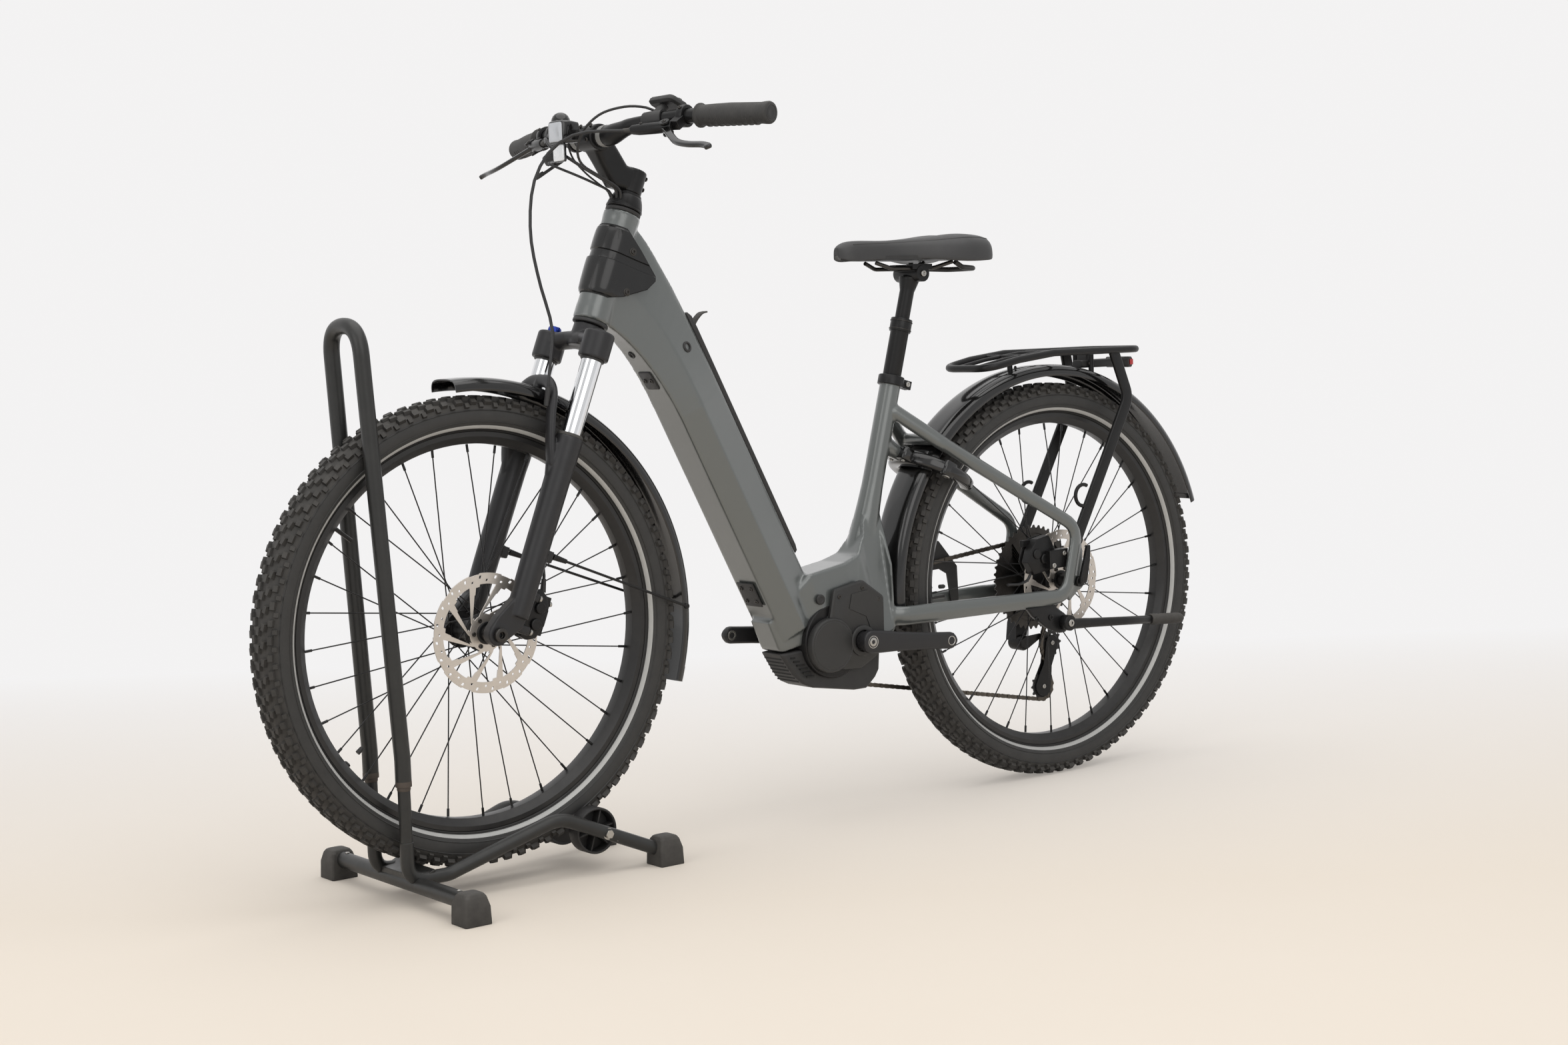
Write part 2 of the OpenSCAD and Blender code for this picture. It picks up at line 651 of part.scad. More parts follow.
// Brake caliper on an adapter that reaches the dropout
module rear_caliper() color(black) at_rear() difference() {
  union() {
    across(31, 60) polygon([[34, 22], [86, 16], [100, 42], [74, 82], [42, 88], [30, 60]]);
    across(56, rear_hub_half + gap) polygon([[16, 26], [60, 24], [60, 60], [12, 62]]);
  }
  across(disc_y - disc_t / 2 - 0.8, disc_y + disc_t / 2 + 0.8) circle(disc_r + 2);
  across(20, 50) translate([36, 34]) circle(8);
}
// Rear brake hose, from the chainstay up into the caliper
hose_route = [[150, 60, 6], [120, 58, 4], [96, 54, 8], [80, 50, 26], [74, 48, 44]];
module rear_brake_hose() color(black) at_rear() tube(hose_path(), 2.5, sides = 8);
function hose_path() = bent(hose_route, 18, 2);

// ---- drive ----

arm_in = 71;
arm_out = 86;
pedal_hole_r = 7.14;
ring_y = chain_y;
function tooth_r(teeth) = cog_r * teeth / 34;
cogs = [46, 42, 38, 34, 30, 26, 22, 18, 15, 13, 11];
carrying_cog = 3;
cog_half = 0.6;
first_cog_y = chain_y - carrying_cog * cog_pitch;

// Two crank arms on one spindle, with threaded pedal holes
module arm_outline() {
  circle(17);
  translate([-crank_len, 0]) circle(13.5);
  polygon([[0, 16], [-crank_len, 12], [-crank_len, -12], [0, -16]]);
}
module arm(boss_y) difference() {
  union() {
    across(arm_in, arm_out) arm_outline();
    bar_y(spindle_r + 4, boss_y, arm_in);
  }
  translate([-crank_len, 0, 0]) bar_y(pedal_hole_r, arm_in - 1, arm_out + 1);
}
module cranks() color(matte) at_crank() rotate([0, -crank_tilt, 0]) {
  arm(bridge_half + cover_t + 1);
  rotate([0, 180, 0]) mirror([0, 1, 0]) arm(ring_y + 1.5);
  bar_y(spindle_r, -arm_in - 1, arm_in + 1);
}
module chainring() color(black) at_crank() across(-ring_y - 1.5, -ring_y + 1.5) difference() {
  circle(ring_r - chain_h / 2 - gap);
  circle(spindle_r + fit);
  for (i = [0:4]) rotate(72 * i) translate([42, 0]) circle(13);
  for (i = [0:4]) rotate(72 * i + 36) translate([60, 0]) circle(4);
}
// Sprockets on one carrier; the one that carries the chain stops short of its rollers
module cassette() color(black) at_rear() difference() {
  union() {
    for (i = [0:len(cogs) - 1]) {
      y = first_cog_y + i * cog_pitch;
      r = i == carrying_cog ? cog_r - chain_h / 2 - gap : tooth_r(cogs[i]) + 2.5;
      bar_y(r, -y - cog_half, -y + cog_half);
    }
    bar_y(18, -first_cog_y - 10 * cog_pitch - 0.5, -rear_right_flange - 10 - gap);
  }
  for (i = [0:5]) rotate([0, 60 * i, 0]) translate([74, 0, 0]) bar_y(8, -first_cog_y - 2, -first_cog_y + 4);
  bar_y(cassette_bore + fit, -80, 0);
}
// Pulleys of the derailleur, from the rear axle
guide = [-52, -127];
tension = [-28, -205];
// Circles that the chain wraps: centre, radius and turning sense
function wraps() = [
  [[crank_ahead, crank_height - hub_z], ring_r, 1], [[0, 0], cog_r, 1],
  [guide, pulley_r, -1], [tension, pulley_r, 1]
];
function heading(a, b) =
  let (d = b[0] - a[0], k = b[2] * b[1] - a[2] * a[1])
  atan2(d[1], d[0]) - asin(k / norm(d));
// Points round circle i at the offset g outside the chain's rollers
function wrap_arc(w, i, g) =
  let (c = w[i], before = heading(w[(i + 3) % 4], c), after = heading(c, w[(i + 1) % 4]),
       a0 = before - 90 * c[2], turn = (((after - before) * c[2]) % 360 + 360) % 360, n = ceil(turn / 10))
  [for (k = [0:n]) let (a = a0 + c[2] * turn * k / n) c[0] + (c[1] + c[2] * g) * [cos(a), sin(a)]];
module chain() color([0.42, 0.39, 0.35]) at_rear() across(-chain_y - chain_w / 2, -chain_y + chain_w / 2)
  difference() {
    polygon([for (i = [0:3]) each wrap_arc(wraps(), i, chain_h / 2)]);
    polygon([for (i = [0:3]) each wrap_arc(wraps(), i, -chain_h / 2)]);
  }
module pulley() difference() {
  bar_y(pulley_r - chain_h / 2 - gap, -chain_y - 2, -chain_y + 2);
  bar_y(3 + fit, -chain_y - 3, -chain_y + 3);
  for (i = [0:3]) rotate([0, 90 * i, 0]) translate([12, 0, 0]) bar_y(4, -chain_y - 3, -chain_y + 3);
}
module guide_pulley() color(black) at_rear() translate([guide[0], 0, guide[1]]) pulley();
module tension_pulley() color(black) at_rear() translate([tension[0], 0, tension[1]]) pulley();
cage_in = chain_y - chain_w / 2 - 1;
cage_out = chain_y + chain_w / 2 + 1;
knuckle = [5, -122];
module cage_outline() {
  translate(guide) circle(14);
  translate(tension) circle(17);
  polygon([guide + [-14, 0], guide + [14, 2], tension + [17, 4], tension + [-16, 4]]);
  polygon([guide + [0, -14], guide + [0, 14], knuckle + [0, 12], knuckle + [0, -12]]);
}
module derailleur() color(black) at_rear() {
  across(-cage_in, 2 - cage_in) difference() {
    cage_outline();
    translate(tension + [4, 40]) circle(7);
  }
  across(-cage_out - 2, -cage_out) cage_outline();
  for (p = [guide, tension]) translate([p[0], 0, p[1]]) bar_y(3, -cage_out - 4, 4 - cage_in);
  difference() {
    union() {
      translate([knuckle[0], 0, knuckle[1]]) bar_y(15, -88, -cage_out - 2);
      across(-92, -cage_out - 14) polygon([[-18, -50], [2, -52], [18, -116], [-6, -126]]);
      translate([-9, 0, -56]) bar_y(10, -94, -76);
      across(-stay_y - 8, -rear_hub_half - 2 * gap - dropout_t)
        polygon([[-18, -6], [-6, -14], [-2, -30], [-2, -56], [-16, -56]]);
    }
    across(-rear_hub_half - gap - dropout_t, -60) translate([-30, -44]) square([60, 60]);
  }
}
// Guard outside the upper run of the chain, on a bracket from the right chainstay
guard_foot = [171, -25];
// Inner face of a chainstay at the distance x from the rear axle
function stay_in(x) = 52 + (stay_y - 52) * (crank_ahead - 102 - x) / (crank_ahead - 130) - stay_half;
module chain_guard() color(black) at_rear() {
  translate([guard_foot[0], 0, guard_foot[1]]) bar_y(6, gap - stay_in(guard_foot[0]), -cage_out - 6);
  across(-cage_out - 9, -cage_out - 6) {
    translate(guard_foot) circle(9);
    polygon([[162, -25], [180, -25], [188, 22], [206, 32], [crank_ahead, 20], [crank_ahead, 36],
             [216, 82], [206, 82], [164, 34]]);
    translate([crank_ahead, crank_height - hub_z]) intersection() {
      difference() {
        circle(ring_r + 13);
        circle(ring_r - 9);
      }
      polygon([[0, 0], [150, 24], [150, 150], [-20, 150]]);
    }
  }
}
module rear_axle() color(matte) at_rear() {
  head = rear_hub_half + gap + dropout_t;
  bar_y(rear_axle_r, -head, head + 4);
  bar_y(9, head + gap, head + 15);
  across(head + 9, head + 15) polygon([[-9, -2], [7, -2], [-6, 40], [-12, 64], [-20, 64], [-18, 40]]);
}

// ---- mudguards, rack, lock and light ----

guard_t = 2;
function guard_outer(r) = [
  [r - 19, guard_half], [r - 11, guard_half - 2], [r - 4, guard_half - 11], [r, guard_half - 26]
];
function guard_inner(r) = [
  [r - 19, guard_half - guard_t], [r - 12, guard_half - guard_t - 2],
  [r - 4 - guard_t, guard_half - 13], [r - guard_t, guard_half - 28]
];
module guard_section(r) polygon(concat(
  guard_outer(r), mirrored(guard_outer(r)), reversed(mirrored(guard_inner(r))), reversed(guard_inner(r))
));
module rear_mudguard() color(black) at_rear() turned_arc(-4, rear_guard_end) guard_section(rear_guard_r);

deck_front = 178;
deck_rear = -194;
rack_step = 14;
strut_y = stay_y - 7.5 - gap - 4;
// One half of the deck tube, from the rear middle to the front middle
function deck_half() = [for (p = bent([
    [deck_rear, 0, rack_z], [deck_rear, rack_half, rack_z], [62, rack_half, rack_z],
    [92, rack_half, rack_z - rack_step], [deck_front, rack_half - 4, rack_z - rack_step],
    [deck_front, 0, rack_z - rack_step]
  ], 34, 4)) [rear_x + p[0], p[1], p[2]]];
function strut_path() = [for (p = bent([
    [-11, strut_y, hub_z + 74], [-150, strut_y, rack_z - 86], [-124, rack_half - 2, rack_z - 3]
  ], 40, 4)) [rear_x + p[0], p[1], p[2]]];
module rack_post(x, y) {
  crown = hub_z + sqrt(rear_guard_r * rear_guard_r - (abs(x) - 5) * (abs(x) - 5));
  translate([rear_x + x, y, crown + gap]) cylinder(r = 5, h = rack_z - crown - 2);
}
module rear_rack() color(black) {
  both_sides() {
    tube(deck_half(), rack_r, sides = 10, up = [1, 0, 0]);
    tube(strut_path(), 12, 4, up = [1, 0, 0.6], sides = 10);
    // Loop that a bag hooks under
    translate([rear_x - 30, strut_y, hub_z + 151]) rotate([90, 0, 0]) rotate([0, 0, -118])
      rotate_extrude(angle = 216) translate([19, 0]) circle(3.4, $fn = 16);
    rod([rear_x + deck_rear, 24, rack_z], [rear_x + deck_front, 24, rack_z - 2], 3.5);
  }
  for (x = [-108, -20, 75]) rod([rear_x + x, -rack_half, rack_z], [rear_x + x, rack_half, rack_z], 3.5);
  rack_post(75, 0);
  rack_post(-108, 20);
  rack_post(-108, -20);
}
module tail_light() color([0.45, 0.03, 0.03]) translate([rear_x, 0, 0]) {
  translate([-212, -30, rack_z - 34]) cube([20, 60, 20]);
  translate([-192, -14, rack_z - 31]) cube([100, 28, 15]);
  // Ear under a cross bar of the deck
  translate([-113, -12, rack_z - 17]) cube([10, 24, 17 - 3.5 - gap]);
}

// Ring lock round the rear wheel
lock_centre = [268, 208];
lock_tilt = 28;
lock_ring_r = 65;
lock_back = lock_ring_r + 26;
bolt_r = 4.5;
module at_lock() at_rear() translate([lock_centre[0], 0, lock_centre[1]])
  rotate([0, 180 - lock_tilt, 0]) children();
module ring_arc(a0, a1, r) rotate([0, 0, a0]) rotate_extrude(angle = a1 - a0)
  translate([lock_ring_r, 0]) circle(r, $fn = 48);
module ring_lock() color(black) at_lock() difference() {
  union() {
    ring_arc(48, 312, 9.5);
    translate([-lock_back, -26, -9]) cube([28, 52, 18]);
    translate([-34, lock_ring_r - 4, -13]) cube([26, 13, 26]);
  }
  ring_arc(44, 316, bolt_r + gap);
}
module lock_bolt() color(steel) at_lock() ring_arc(41, 150, bolt_r);

// ---- saddle and post ----

inner_low = seat_tube_len - post_travel - 20;
module at_rail() translate([rail_x, 0, rail_z]) children();
rail_y = 22;
rail_r = 3.5;
bumper_r = 4.5;
module seatpost_inner() color(matte) {
  at_seat() difference() {
    union() {
      translate([0, 0, inner_low]) cylinder(r = inner_post_r, h = rail_level - 14 - inner_low);
      translate([0, 0, rail_level - 40]) cylinder(r1 = inner_post_r, r2 = 18, h = 22);
    }
    translate([0, 0, inner_low - 1]) cylinder(r = inner_post_r - 2.5, h = 150);
  }
  at_rail() difference() {
    union() {
      translate([0, 0, -9]) bar_y(14, -rail_y - 9, rail_y + 9);
      both_sides() translate([-22, rail_y - 8, -2]) cube([44, 16, 9]);
      translate([0, 0, -16]) cylinder(r = 4, h = 26);
    }
    both_sides() translate([-60, rail_y, 0]) rotate([0, 90, 0]) cylinder(r = rail_r + fit, h = 120);
  }
}
saddle_under = 14;
saddle_ahead = 10;
saddle_base_t = 7;
nose = saddle_len / 2;
function rail_path() = [for (p = bent([
    [nose - 64, 14, saddle_under - rail_r - gap], [62, rail_y, 0], [-32, rail_y, 0],
    [-62, 38, saddle_under - rail_r - gap]
  ], 24, 3)) [rail_x + p[0], p[1], rail_z + p[2]]];
function bumper_path() = [for (p = bent([
    [-60, 46, saddle_under - bumper_r - gap], [-76, 46, 0], [-120, 30, -2], [-120, 0, -2]
  ], 16, 3)) [rail_x + p[0], p[1], rail_z + p[2]]];
module saddle_rails() color(black) both_sides() {
  tube(rail_path(), rail_r, sides = 10);
  tube(bumper_path(), bumper_r, sides = 8);
}
// Outline of the saddle seen from above, shrunk by g
module saddle_outline(g) hull() {
  translate([nose - 20, 0]) circle(20 - g);
  translate([-nose + 62, 0]) scale([0.7, 1]) circle(saddle_w / 2 - g);
}
module at_saddle() translate([rail_x + saddle_ahead, 0, rail_z + saddle_under]) children();
module saddle_base() color(black) at_saddle() linear_extrude(saddle_base_t) saddle_outline(12);
module saddle_pad() color(rubber) at_saddle() translate([0, 0, saddle_base_t + gap]) hull() {
  translate([nose - 22, 0, 15]) scale([1.1, 1, 0.75]) sphere(r = 20, $fn = 32);
  translate([-nose + 62, 0, 0]) scale([0.7, 1, 1])
    cylinder(r1 = saddle_w / 2 - 6, r2 = saddle_w / 2 - 14, h = 26, $fn = 48);
  translate([-nose + 40, 0, 26]) scale([0.5, 1, 1])
    cylinder(r1 = saddle_w / 2 - 20, r2 = saddle_w / 2 - 40, h = 12, $fn = 48);
}

// ---- fork ----

arm_top = crown_top - 11;
module fork_upper() {
  color(black) at_steer() {
    both_sides() translate([crown_offset, leg_y, crown_low])
      cylinder(r = stanchion_r + 8, h = arm_top - crown_low);
    translate([0, 0, crown_low + 25]) linear_extrude(arm_top - crown_low - 25) polygon([
      [-18, -20], [-6, -leg_y], [crown_offset + 18, -leg_y], [30, 0],
      [crown_offset + 18, leg_y], [-6, leg_y], [-18, 20]
    ]);
    translate([0, 0, crown_low + 25]) cylinder(r = 25, h = head_start - 6 - gap - crown_low - 25);
    translate([0, 0, crown_top]) cylinder(r = steerer_r, h = stem_top - 4 - crown_top);
  }
  color(chrome) at_steer() both_sides() translate([crown_offset, leg_y, stanchion_low])
    cylinder(r = stanchion_r, h = crown_low + 5 - stanchion_low);
}
leg_floor = 50;
stanchion_low = leg_floor + fork_travel + 20;
knob_r = 11;
module fork_knob() color([0.10, 0.20, 0.55]) at_steer() translate([crown_offset, -leg_y, arm_top + gap]) {
  cylinder(r = knob_r, h = 10);
  translate([-2.5, -knob_r - 2, 1]) cube([5, 2 * knob_r + 4, 7]);
}
// Lower legs joined by an arch ahead of the crown, with lugs round the axle
arch_ahead = stanchion_r + 8 + 11;
lug_r = 17;
lug_out = front_hub_half + gap + 21;
function arch_path() = bent([
  [crown_offset + 20, leg_y, leg_top - 42], [crown_offset + arch_ahead + 4, leg_y - 6, leg_top - 2],
  [crown_offset + arch_ahead + 4, guard_half + 10, front_guard_r + 11],
  [crown_offset + arch_ahead + 4, 0, front_guard_r + 12]
], 26, 4);
module fork_lower() color(black) at_steer() {
  both_sides() difference() {
    union() {
      translate([crown_offset, leg_y, 34]) cylinder(r = leg_r, h = leg_top - 34);
      across(front_hub_half + gap, lug_out) {
        polygon([[crown_offset - 16, 60], [crown_offset - 12, 14], [fork_offset - 10, -15],
                 [fork_offset + 16, -6], [fork_offset + 10, 30], [crown_offset + 16, 60]]);
        translate([fork_offset, 0]) circle(lug_r);
      }
      tube(arch_path(), 8, 9, up = [1, 0, 0]);
    }
    translate([crown_offset, leg_y, leg_floor]) cylinder(r = stanchion_r + fit, h = leg_top);
    translate([fork_offset, 0, 0]) bar_y(front_axle_r + fit, 0, lug_out + 20);
  }
  // Through axle with its head on the left
  translate([fork_offset, 0, 0]) {
    bar_y(front_axle_r, -lug_out, lug_out + 2);
    bar_y(11, lug_out, lug_out + 8);
  }
  // Foot of the arch on the mudguard
  translate([crown_offset + arch_ahead + 4, 0, front_guard_r + gap]) cylinder(r = 6, h = 12);
  // Bosses that carry the caliper, and the brackets of the mudguard stays
  for (z = [14, 66]) translate([-14, 50, z]) cube([15.5, 12, 12]);
  both_sides() translate([-10, leg_y - 9, 126]) cube([12, 14, 18]);
}
module front_caliper() color(black) at_steer() difference() {
  across(29, 50) polygon([[-6, 8], [-6, 84], [-28, 88], [-42, 62], [-44, 30], [-30, 8]]);
  translate([fork_offset, 0, 0]) bar_y(disc_r + 2, disc_y - disc_t / 2 - 0.8, disc_y + disc_t / 2 + 0.8);
}
guard_stay_end = [-294, guard_half - 1, 140];
module front_mudguard() {
  color(black) at_front() turned_arc(85, 198) guard_section(front_guard_r);
  // Wire stays from the legs to the sides of the mudguard
  color(black) at_steer() both_sides() {
    rod([-10.3, leg_y - 4, 138], guard_stay_end + [0, 1.5, 0], 2);
    rod([-10.3, leg_y - 4, 132], guard_stay_end + [-12, 1.5, -32], 2);
  }
}

// ---- cockpit ----

module at_bar() at_steer() translate([bar_ahead, 0, bar_level]) rotate([0, 90 - head_angle, 0]) children();
stem_low = head_end + 34;
stem_top = bar_level - 17;
stem_r = 19.5;
stem_clamp_r = 20.5;
module spacer_stack() color(black) at_steer() difference() {
  translate([0, 0, head_end + 6 + gap])
    cylinder(r1 = head_r, r2 = stem_r + 1, h = stem_low - head_end - 6 - 2 * gap);
  translate([0, 0, head_end]) cylinder(r = steerer_r + fit, h = 60);
}
module stem() color(black) at_steer() difference() {
  union() {
    translate([0, 0, stem_low]) cylinder(r = stem_r, h = stem_top - stem_low);
    across(-15, 15) polygon([
      [2 - stem_r, stem_low + 4], [10, stem_low], [bar_ahead, bar_level - 19],
      [bar_ahead, bar_level + 19], [10, stem_top + 2], [2 - stem_r, stem_top - 4]
    ]);
    translate([bar_ahead, 0, bar_level]) bar_y(stem_clamp_r, -22, 22);
  }
  translate([0, 0, stem_low - 1]) cylinder(r = steerer_r + fit, h = stem_top - stem_low - 2);
  translate([bar_ahead, 0, bar_level]) bar_y(bar_r + fit, -40, 40);
}
// Places along the left half of the handlebar, from its middle
bar_bend = [-5, bar_half - 245, 11];
bar_knee = [-35, bar_half - 165, 18];
bar_slope = [-43, 165, -8] / 165;
bar_tip = bar_knee + bar_slope * (bar_half - bar_knee[1]);
bar_yaw = atan2(-bar_slope[0], bar_slope[1]);
bar_roll = -asin(-bar_slope[2] / norm(bar_slope));
grip_reach = norm(bar_tip - bar_knee);
// Along the straight end of the handlebar: Y outwards, X ahead and down by the lever angle
lever_angle = 32;
module at_grip() at_bar() translate(bar_knee) rotate([bar_roll, 0, bar_yaw])
  rotate([0, lever_angle, 0]) children();
module handlebar() color(matte) at_bar() {
  bar_y(bar_r, -52, 52);
  both_sides() {
    rod([0, 46, 0], bar_bend, bar_r - 0.6, bar_end_r);
    rod(bar_bend, bar_knee, bar_end_r);
    rod(bar_knee, bar_tip, bar_end_r);
    for (p = [bar_bend, bar_knee]) translate(p) sphere(r = bar_end_r + 1);
  }
}
module grips() color(rubber) both_sides() at_grip() difference() {
  union() {
    bar_y(grip_r, grip_reach - grip_len + 4, grip_reach + 4);
    bar_y(grip_r + 1.5, grip_reach - grip_len + 4, grip_reach - grip_len + 8);
  }
  bar_y(bar_end_r + fit, 0, grip_reach + gap);
}
// Brake levers on their clamps
pivot = [34, 0];
lever_pin_r = 3;
// Room for the bent part of the handlebar, seen from the grip
module bent_bar() rotate([0, -lever_angle, 0]) rotate([-bar_roll, 0, 0]) rotate([0, 0, -bar_yaw])
  translate(-bar_knee) rod(bar_bend, bar_knee, bar_end_r + gap);
module brake_body() difference() {
  union() {
    bar_y(17, 6, 20);
    rod([36, -66, 0], [30, 6, 0], 9.5);
    translate([10, -12, -8]) cube([18, 30, 16]);
    translate([pivot[0], pivot[1], -11]) cylinder(r = 9, h = 22);
  }
  bar_y(bar_end_r + fit, -30, 30);
  sphere(r = bar_end_r + 1 + gap);
  translate([pivot[0] - 12, pivot[1] - 12, -4]) cube([40, 60, 8]);
  translate([0, -100, -20]) cube([bar_end_r + 3, 102, 40]);
  bent_bar();
  translate([pivot[0], pivot[1], -12]) cylinder(r = lever_pin_r + fit, h = 24);
}
module brake_bodies() color(black) both_sides() at_grip() brake_body();
function blade_path() = bent([
  [pivot[0] + 2, pivot[1], 0], [pivot[0] + 26, 26, 0], [86, 76, 0], [88, 112, 0], [94, 122, 0]
], 18, 3);
module lever() {
  translate([pivot[0], pivot[1], gap - 4]) cylinder(r = 8, h = 8 - 2 * gap);
  translate([pivot[0], pivot[1], -11]) cylinder(r = lever_pin_r, h = 22);
  tube(blade_path(), 3.5, 5, sides = 10);
}
module lever_left() color(black) at_grip() lever();
module lever_right() color(black) mirror([0, 1, 0]) at_grip() lever();
// Display beside the left grip, on its own clamp
display_at = [-43, bar_half - 205, 36];
module display() color(black) at_bar() {
  difference() {
    union() {
      rod([-14, bar_half - 221, 13.1], [-26, bar_half - 189, 15.9], 15);
      rod([-22, bar_half - 205, 20], display_at, 6);
    }
    rod(bar_bend, bar_knee, bar_end_r + fit);
  }
  translate(display_at) rotate([0, -26, 0]) translate([-19, -31, 0]) cube([38, 62, 11]);
}
module headlight() color(black) at_bar() {
  translate([33, -17, -10]) cube([36, 34, 29]);
  translate([stem_clamp_r + gap, -6, -4]) cube([34 - stem_clamp_r, 12, 12]);
  // Reflector under the lamp
  translate([59, -16, -38]) cube([6, 32, 28.2]);
}
bell_at = [14, -68, 28];
module bell() color(black) at_bar() {
  difference() {
    union() {
      bar_y(bar_r + 3, -51, -44);
      rod([10, -48, 18], bell_at, 4.5);
    }
    bar_y(bar_r + fit, -60, -40);
  }
  translate(bell_at) difference() {
    sphere(r = 14);
    translate([-20, -20, -20]) cube([40, 40, 20]);
  }
}
// Shifter under the right side of the handlebar
shifter_at = [22, -30, -28];
module shifter() color(black) mirror([0, 1, 0]) at_grip() {
  difference() {
    union() {
      translate(shifter_at - [0, 0, 9]) cylinder(r = 19, h = 18);
      translate([-6, -36, -24]) cube([20, 14, 24]);
      bar_y(15, -36, -24);
    }
    bent_bar();
  }
}
module shift_lever() color(black) mirror([0, 1, 0]) at_grip() translate(shifter_at - [0, 0, 9 + gap]) {
  translate([0, 0, -7]) cylinder(r = 9, h = 7);
  translate([0, -6, -7]) cube([42, 12, 5]);
  translate([38, 0, -7]) cylinder(r = 9, h = 8);
}

// ---- stand ----

bar_z = 30;
foot_h = 46;
foot_half = 22;
disc_back = 168;
disc_up = 62;
bolt_pin_r = 4;
// Left side tube from under the hoop to the rear foot, from the floor point under the front axle
side_low = [bar_fore + 16, side_y, 92];
side_peak = [-92, side_y + 23, 96];
side_end = [-262, side_y + 44, 22];
function side_path() = [for (p = bent([
    side_low, [side_low[0], side_y, 38], [side_low[0] - 66, side_y + 2, 38], side_peak, side_end
  ], 42, 5)) [front_x + p[0], p[1], p[2]]];
sleeve_z = 178;
sleeve_r = side_r - 1;
// Tapered rubber foot
module foot() linear_extrude(foot_h, scale = 0.78) square(2 * foot_half, center = true);
// Plate on the cross bar, bent up to the tyre
plate_back = 24;
function under_tyre(x) = front_hub_z - sqrt(tyre_radius * tyre_radius - x * x) - gap;
module tyre_plate() translate([front_x + bar_fore, 0, 0]) across(-side_y - 8, side_y + 8) polygon([
  [10, bar_z], [10, bar_z + cross_r + 3], [-12, bar_z + cross_r + 3],
  [-plate_back, under_tyre(bar_fore - plate_back)], [-plate_back - 3, under_tyre(bar_fore - plate_back) - 2],
  [-14, bar_z + cross_r], [-8, bar_z]
]);
module stand_tubes() color(black) {
  both_sides() {
    tube(side_path(), side_r, up = [1, 0, 0]);
    translate([front_x, 0, 0] + side_low - [0, 0, 6]) cylinder(r = sleeve_r, h = sleeve_z + 31 - side_low[2]);
    translate([front_x + side_end[0] - 6, side_end[1], 0]) foot();
    translate([front_x + bar_fore, cross_half + 19, 0]) foot();
    // Bolt of a cradle disc
    translate([front_x - disc_back, 0, disc_up]) {
      bar_y(bolt_pin_r, 37, side_y + 44);
      bar_y(8, disc_out + gap, side_y + 30);
    }
  }
  translate([front_x + bar_fore, 0, bar_z]) bar_y(cross_r, -cross_half - 10, cross_half + 10);
  tyre_plate();
}
disc_in = tyre_width / 2 + gap;
disc_out = disc_in + 26;
module cradle_discs() color(black) both_sides() translate([front_x - disc_back, 0, disc_up]) difference() {
  bar_y(cradle_r, disc_in, disc_out);
  bar_y(cradle_r - 4, disc_in + 8, disc_out + 1);
  bar_y(bolt_pin_r + fit, disc_in + 2, disc_out + 1);
}
hoop_lean = 34;
function hoop_path() = [for (p = bent([
    [side_low[0], side_y, sleeve_z], [side_low[0], side_y, sleeve_z + 40],
    [side_low[0] + hoop_lean, hoop_half, hoop_top - hoop_r],
    [side_low[0] + hoop_lean, -hoop_half, hoop_top - hoop_r],
    [side_low[0], -side_y, sleeve_z + 40], [side_low[0], -side_y, sleeve_z]
  ], hoop_half - 3, 6)) [front_x + p[0], p[1], p[2]]];
module stand_hoop() color(black) difference() {
  tube(hoop_path(), hoop_r, up = [1, 0, 0], sides = 12);
  both_sides() translate([front_x, 0, 0] + side_low)
    cylinder(r = sleeve_r + fit, h = sleeve_z + 27 - side_low[2]);
}

frame();
battery();
battery_cover();
head_cover();
drive_unit();
motor_covers();
frame_fittings();
seat_clamp();
seatpost_outer();
rear_caliper();
rear_brake_hose();
chain();
chain_guard();
derailleur();
rear_mudguard();
rear_rack();
tail_light();
ring_lock();
lock_bolt();
rear_axle();
seatpost_inner();
saddle_rails();
saddle_base();
saddle_pad();
rear_tyre();
rear_rim();
rear_spokes();
rear_hub();
rear_disc();
cassette();
cranks();
chainring();
guide_pulley();
tension_pulley();
fork_upper();
fork_knob();
spacer_stack();
stem();
handlebar();
grips();
brake_bodies();
lever_left();
lever_right();
display();
headlight();
bell();
shifter();
shift_lever();
fork_lower();
front_mudguard();
front_caliper();
front_tyre();
front_rim();
front_spokes();
front_hub();
front_disc();
stand_tubes();
stand_hoop();
cradle_discs();
kickstand();
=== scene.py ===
"""A low-step electric touring bicycle whose front wheel stands in a tubular floor stand."""
import json
from math import acos, asin, atan2, ceil, copysign, cos, exp, hypot, pi, radians, sin, sqrt, tan

import bmesh
import bpy
from mathutils import Matrix, Vector


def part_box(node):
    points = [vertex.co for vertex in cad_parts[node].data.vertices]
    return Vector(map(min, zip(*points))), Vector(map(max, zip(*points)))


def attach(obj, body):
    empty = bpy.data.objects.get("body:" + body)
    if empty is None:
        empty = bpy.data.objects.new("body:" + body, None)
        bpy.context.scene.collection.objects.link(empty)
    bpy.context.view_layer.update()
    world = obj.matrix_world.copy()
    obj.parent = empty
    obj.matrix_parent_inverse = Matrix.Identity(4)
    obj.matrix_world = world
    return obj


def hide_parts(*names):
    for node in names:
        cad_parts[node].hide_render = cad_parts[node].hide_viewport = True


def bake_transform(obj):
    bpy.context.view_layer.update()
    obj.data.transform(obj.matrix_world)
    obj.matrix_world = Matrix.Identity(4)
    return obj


bl_info = {
    "name": "Bicycle on Stand",
    "version": (1, 0, 0),
    "blender": (4, 5, 0),
    "location": "3D View > Sidebar > Bicycle",
    "description": "Builds the finished look of a touring bicycle in its floor stand",
    "category": "Add Mesh",
}

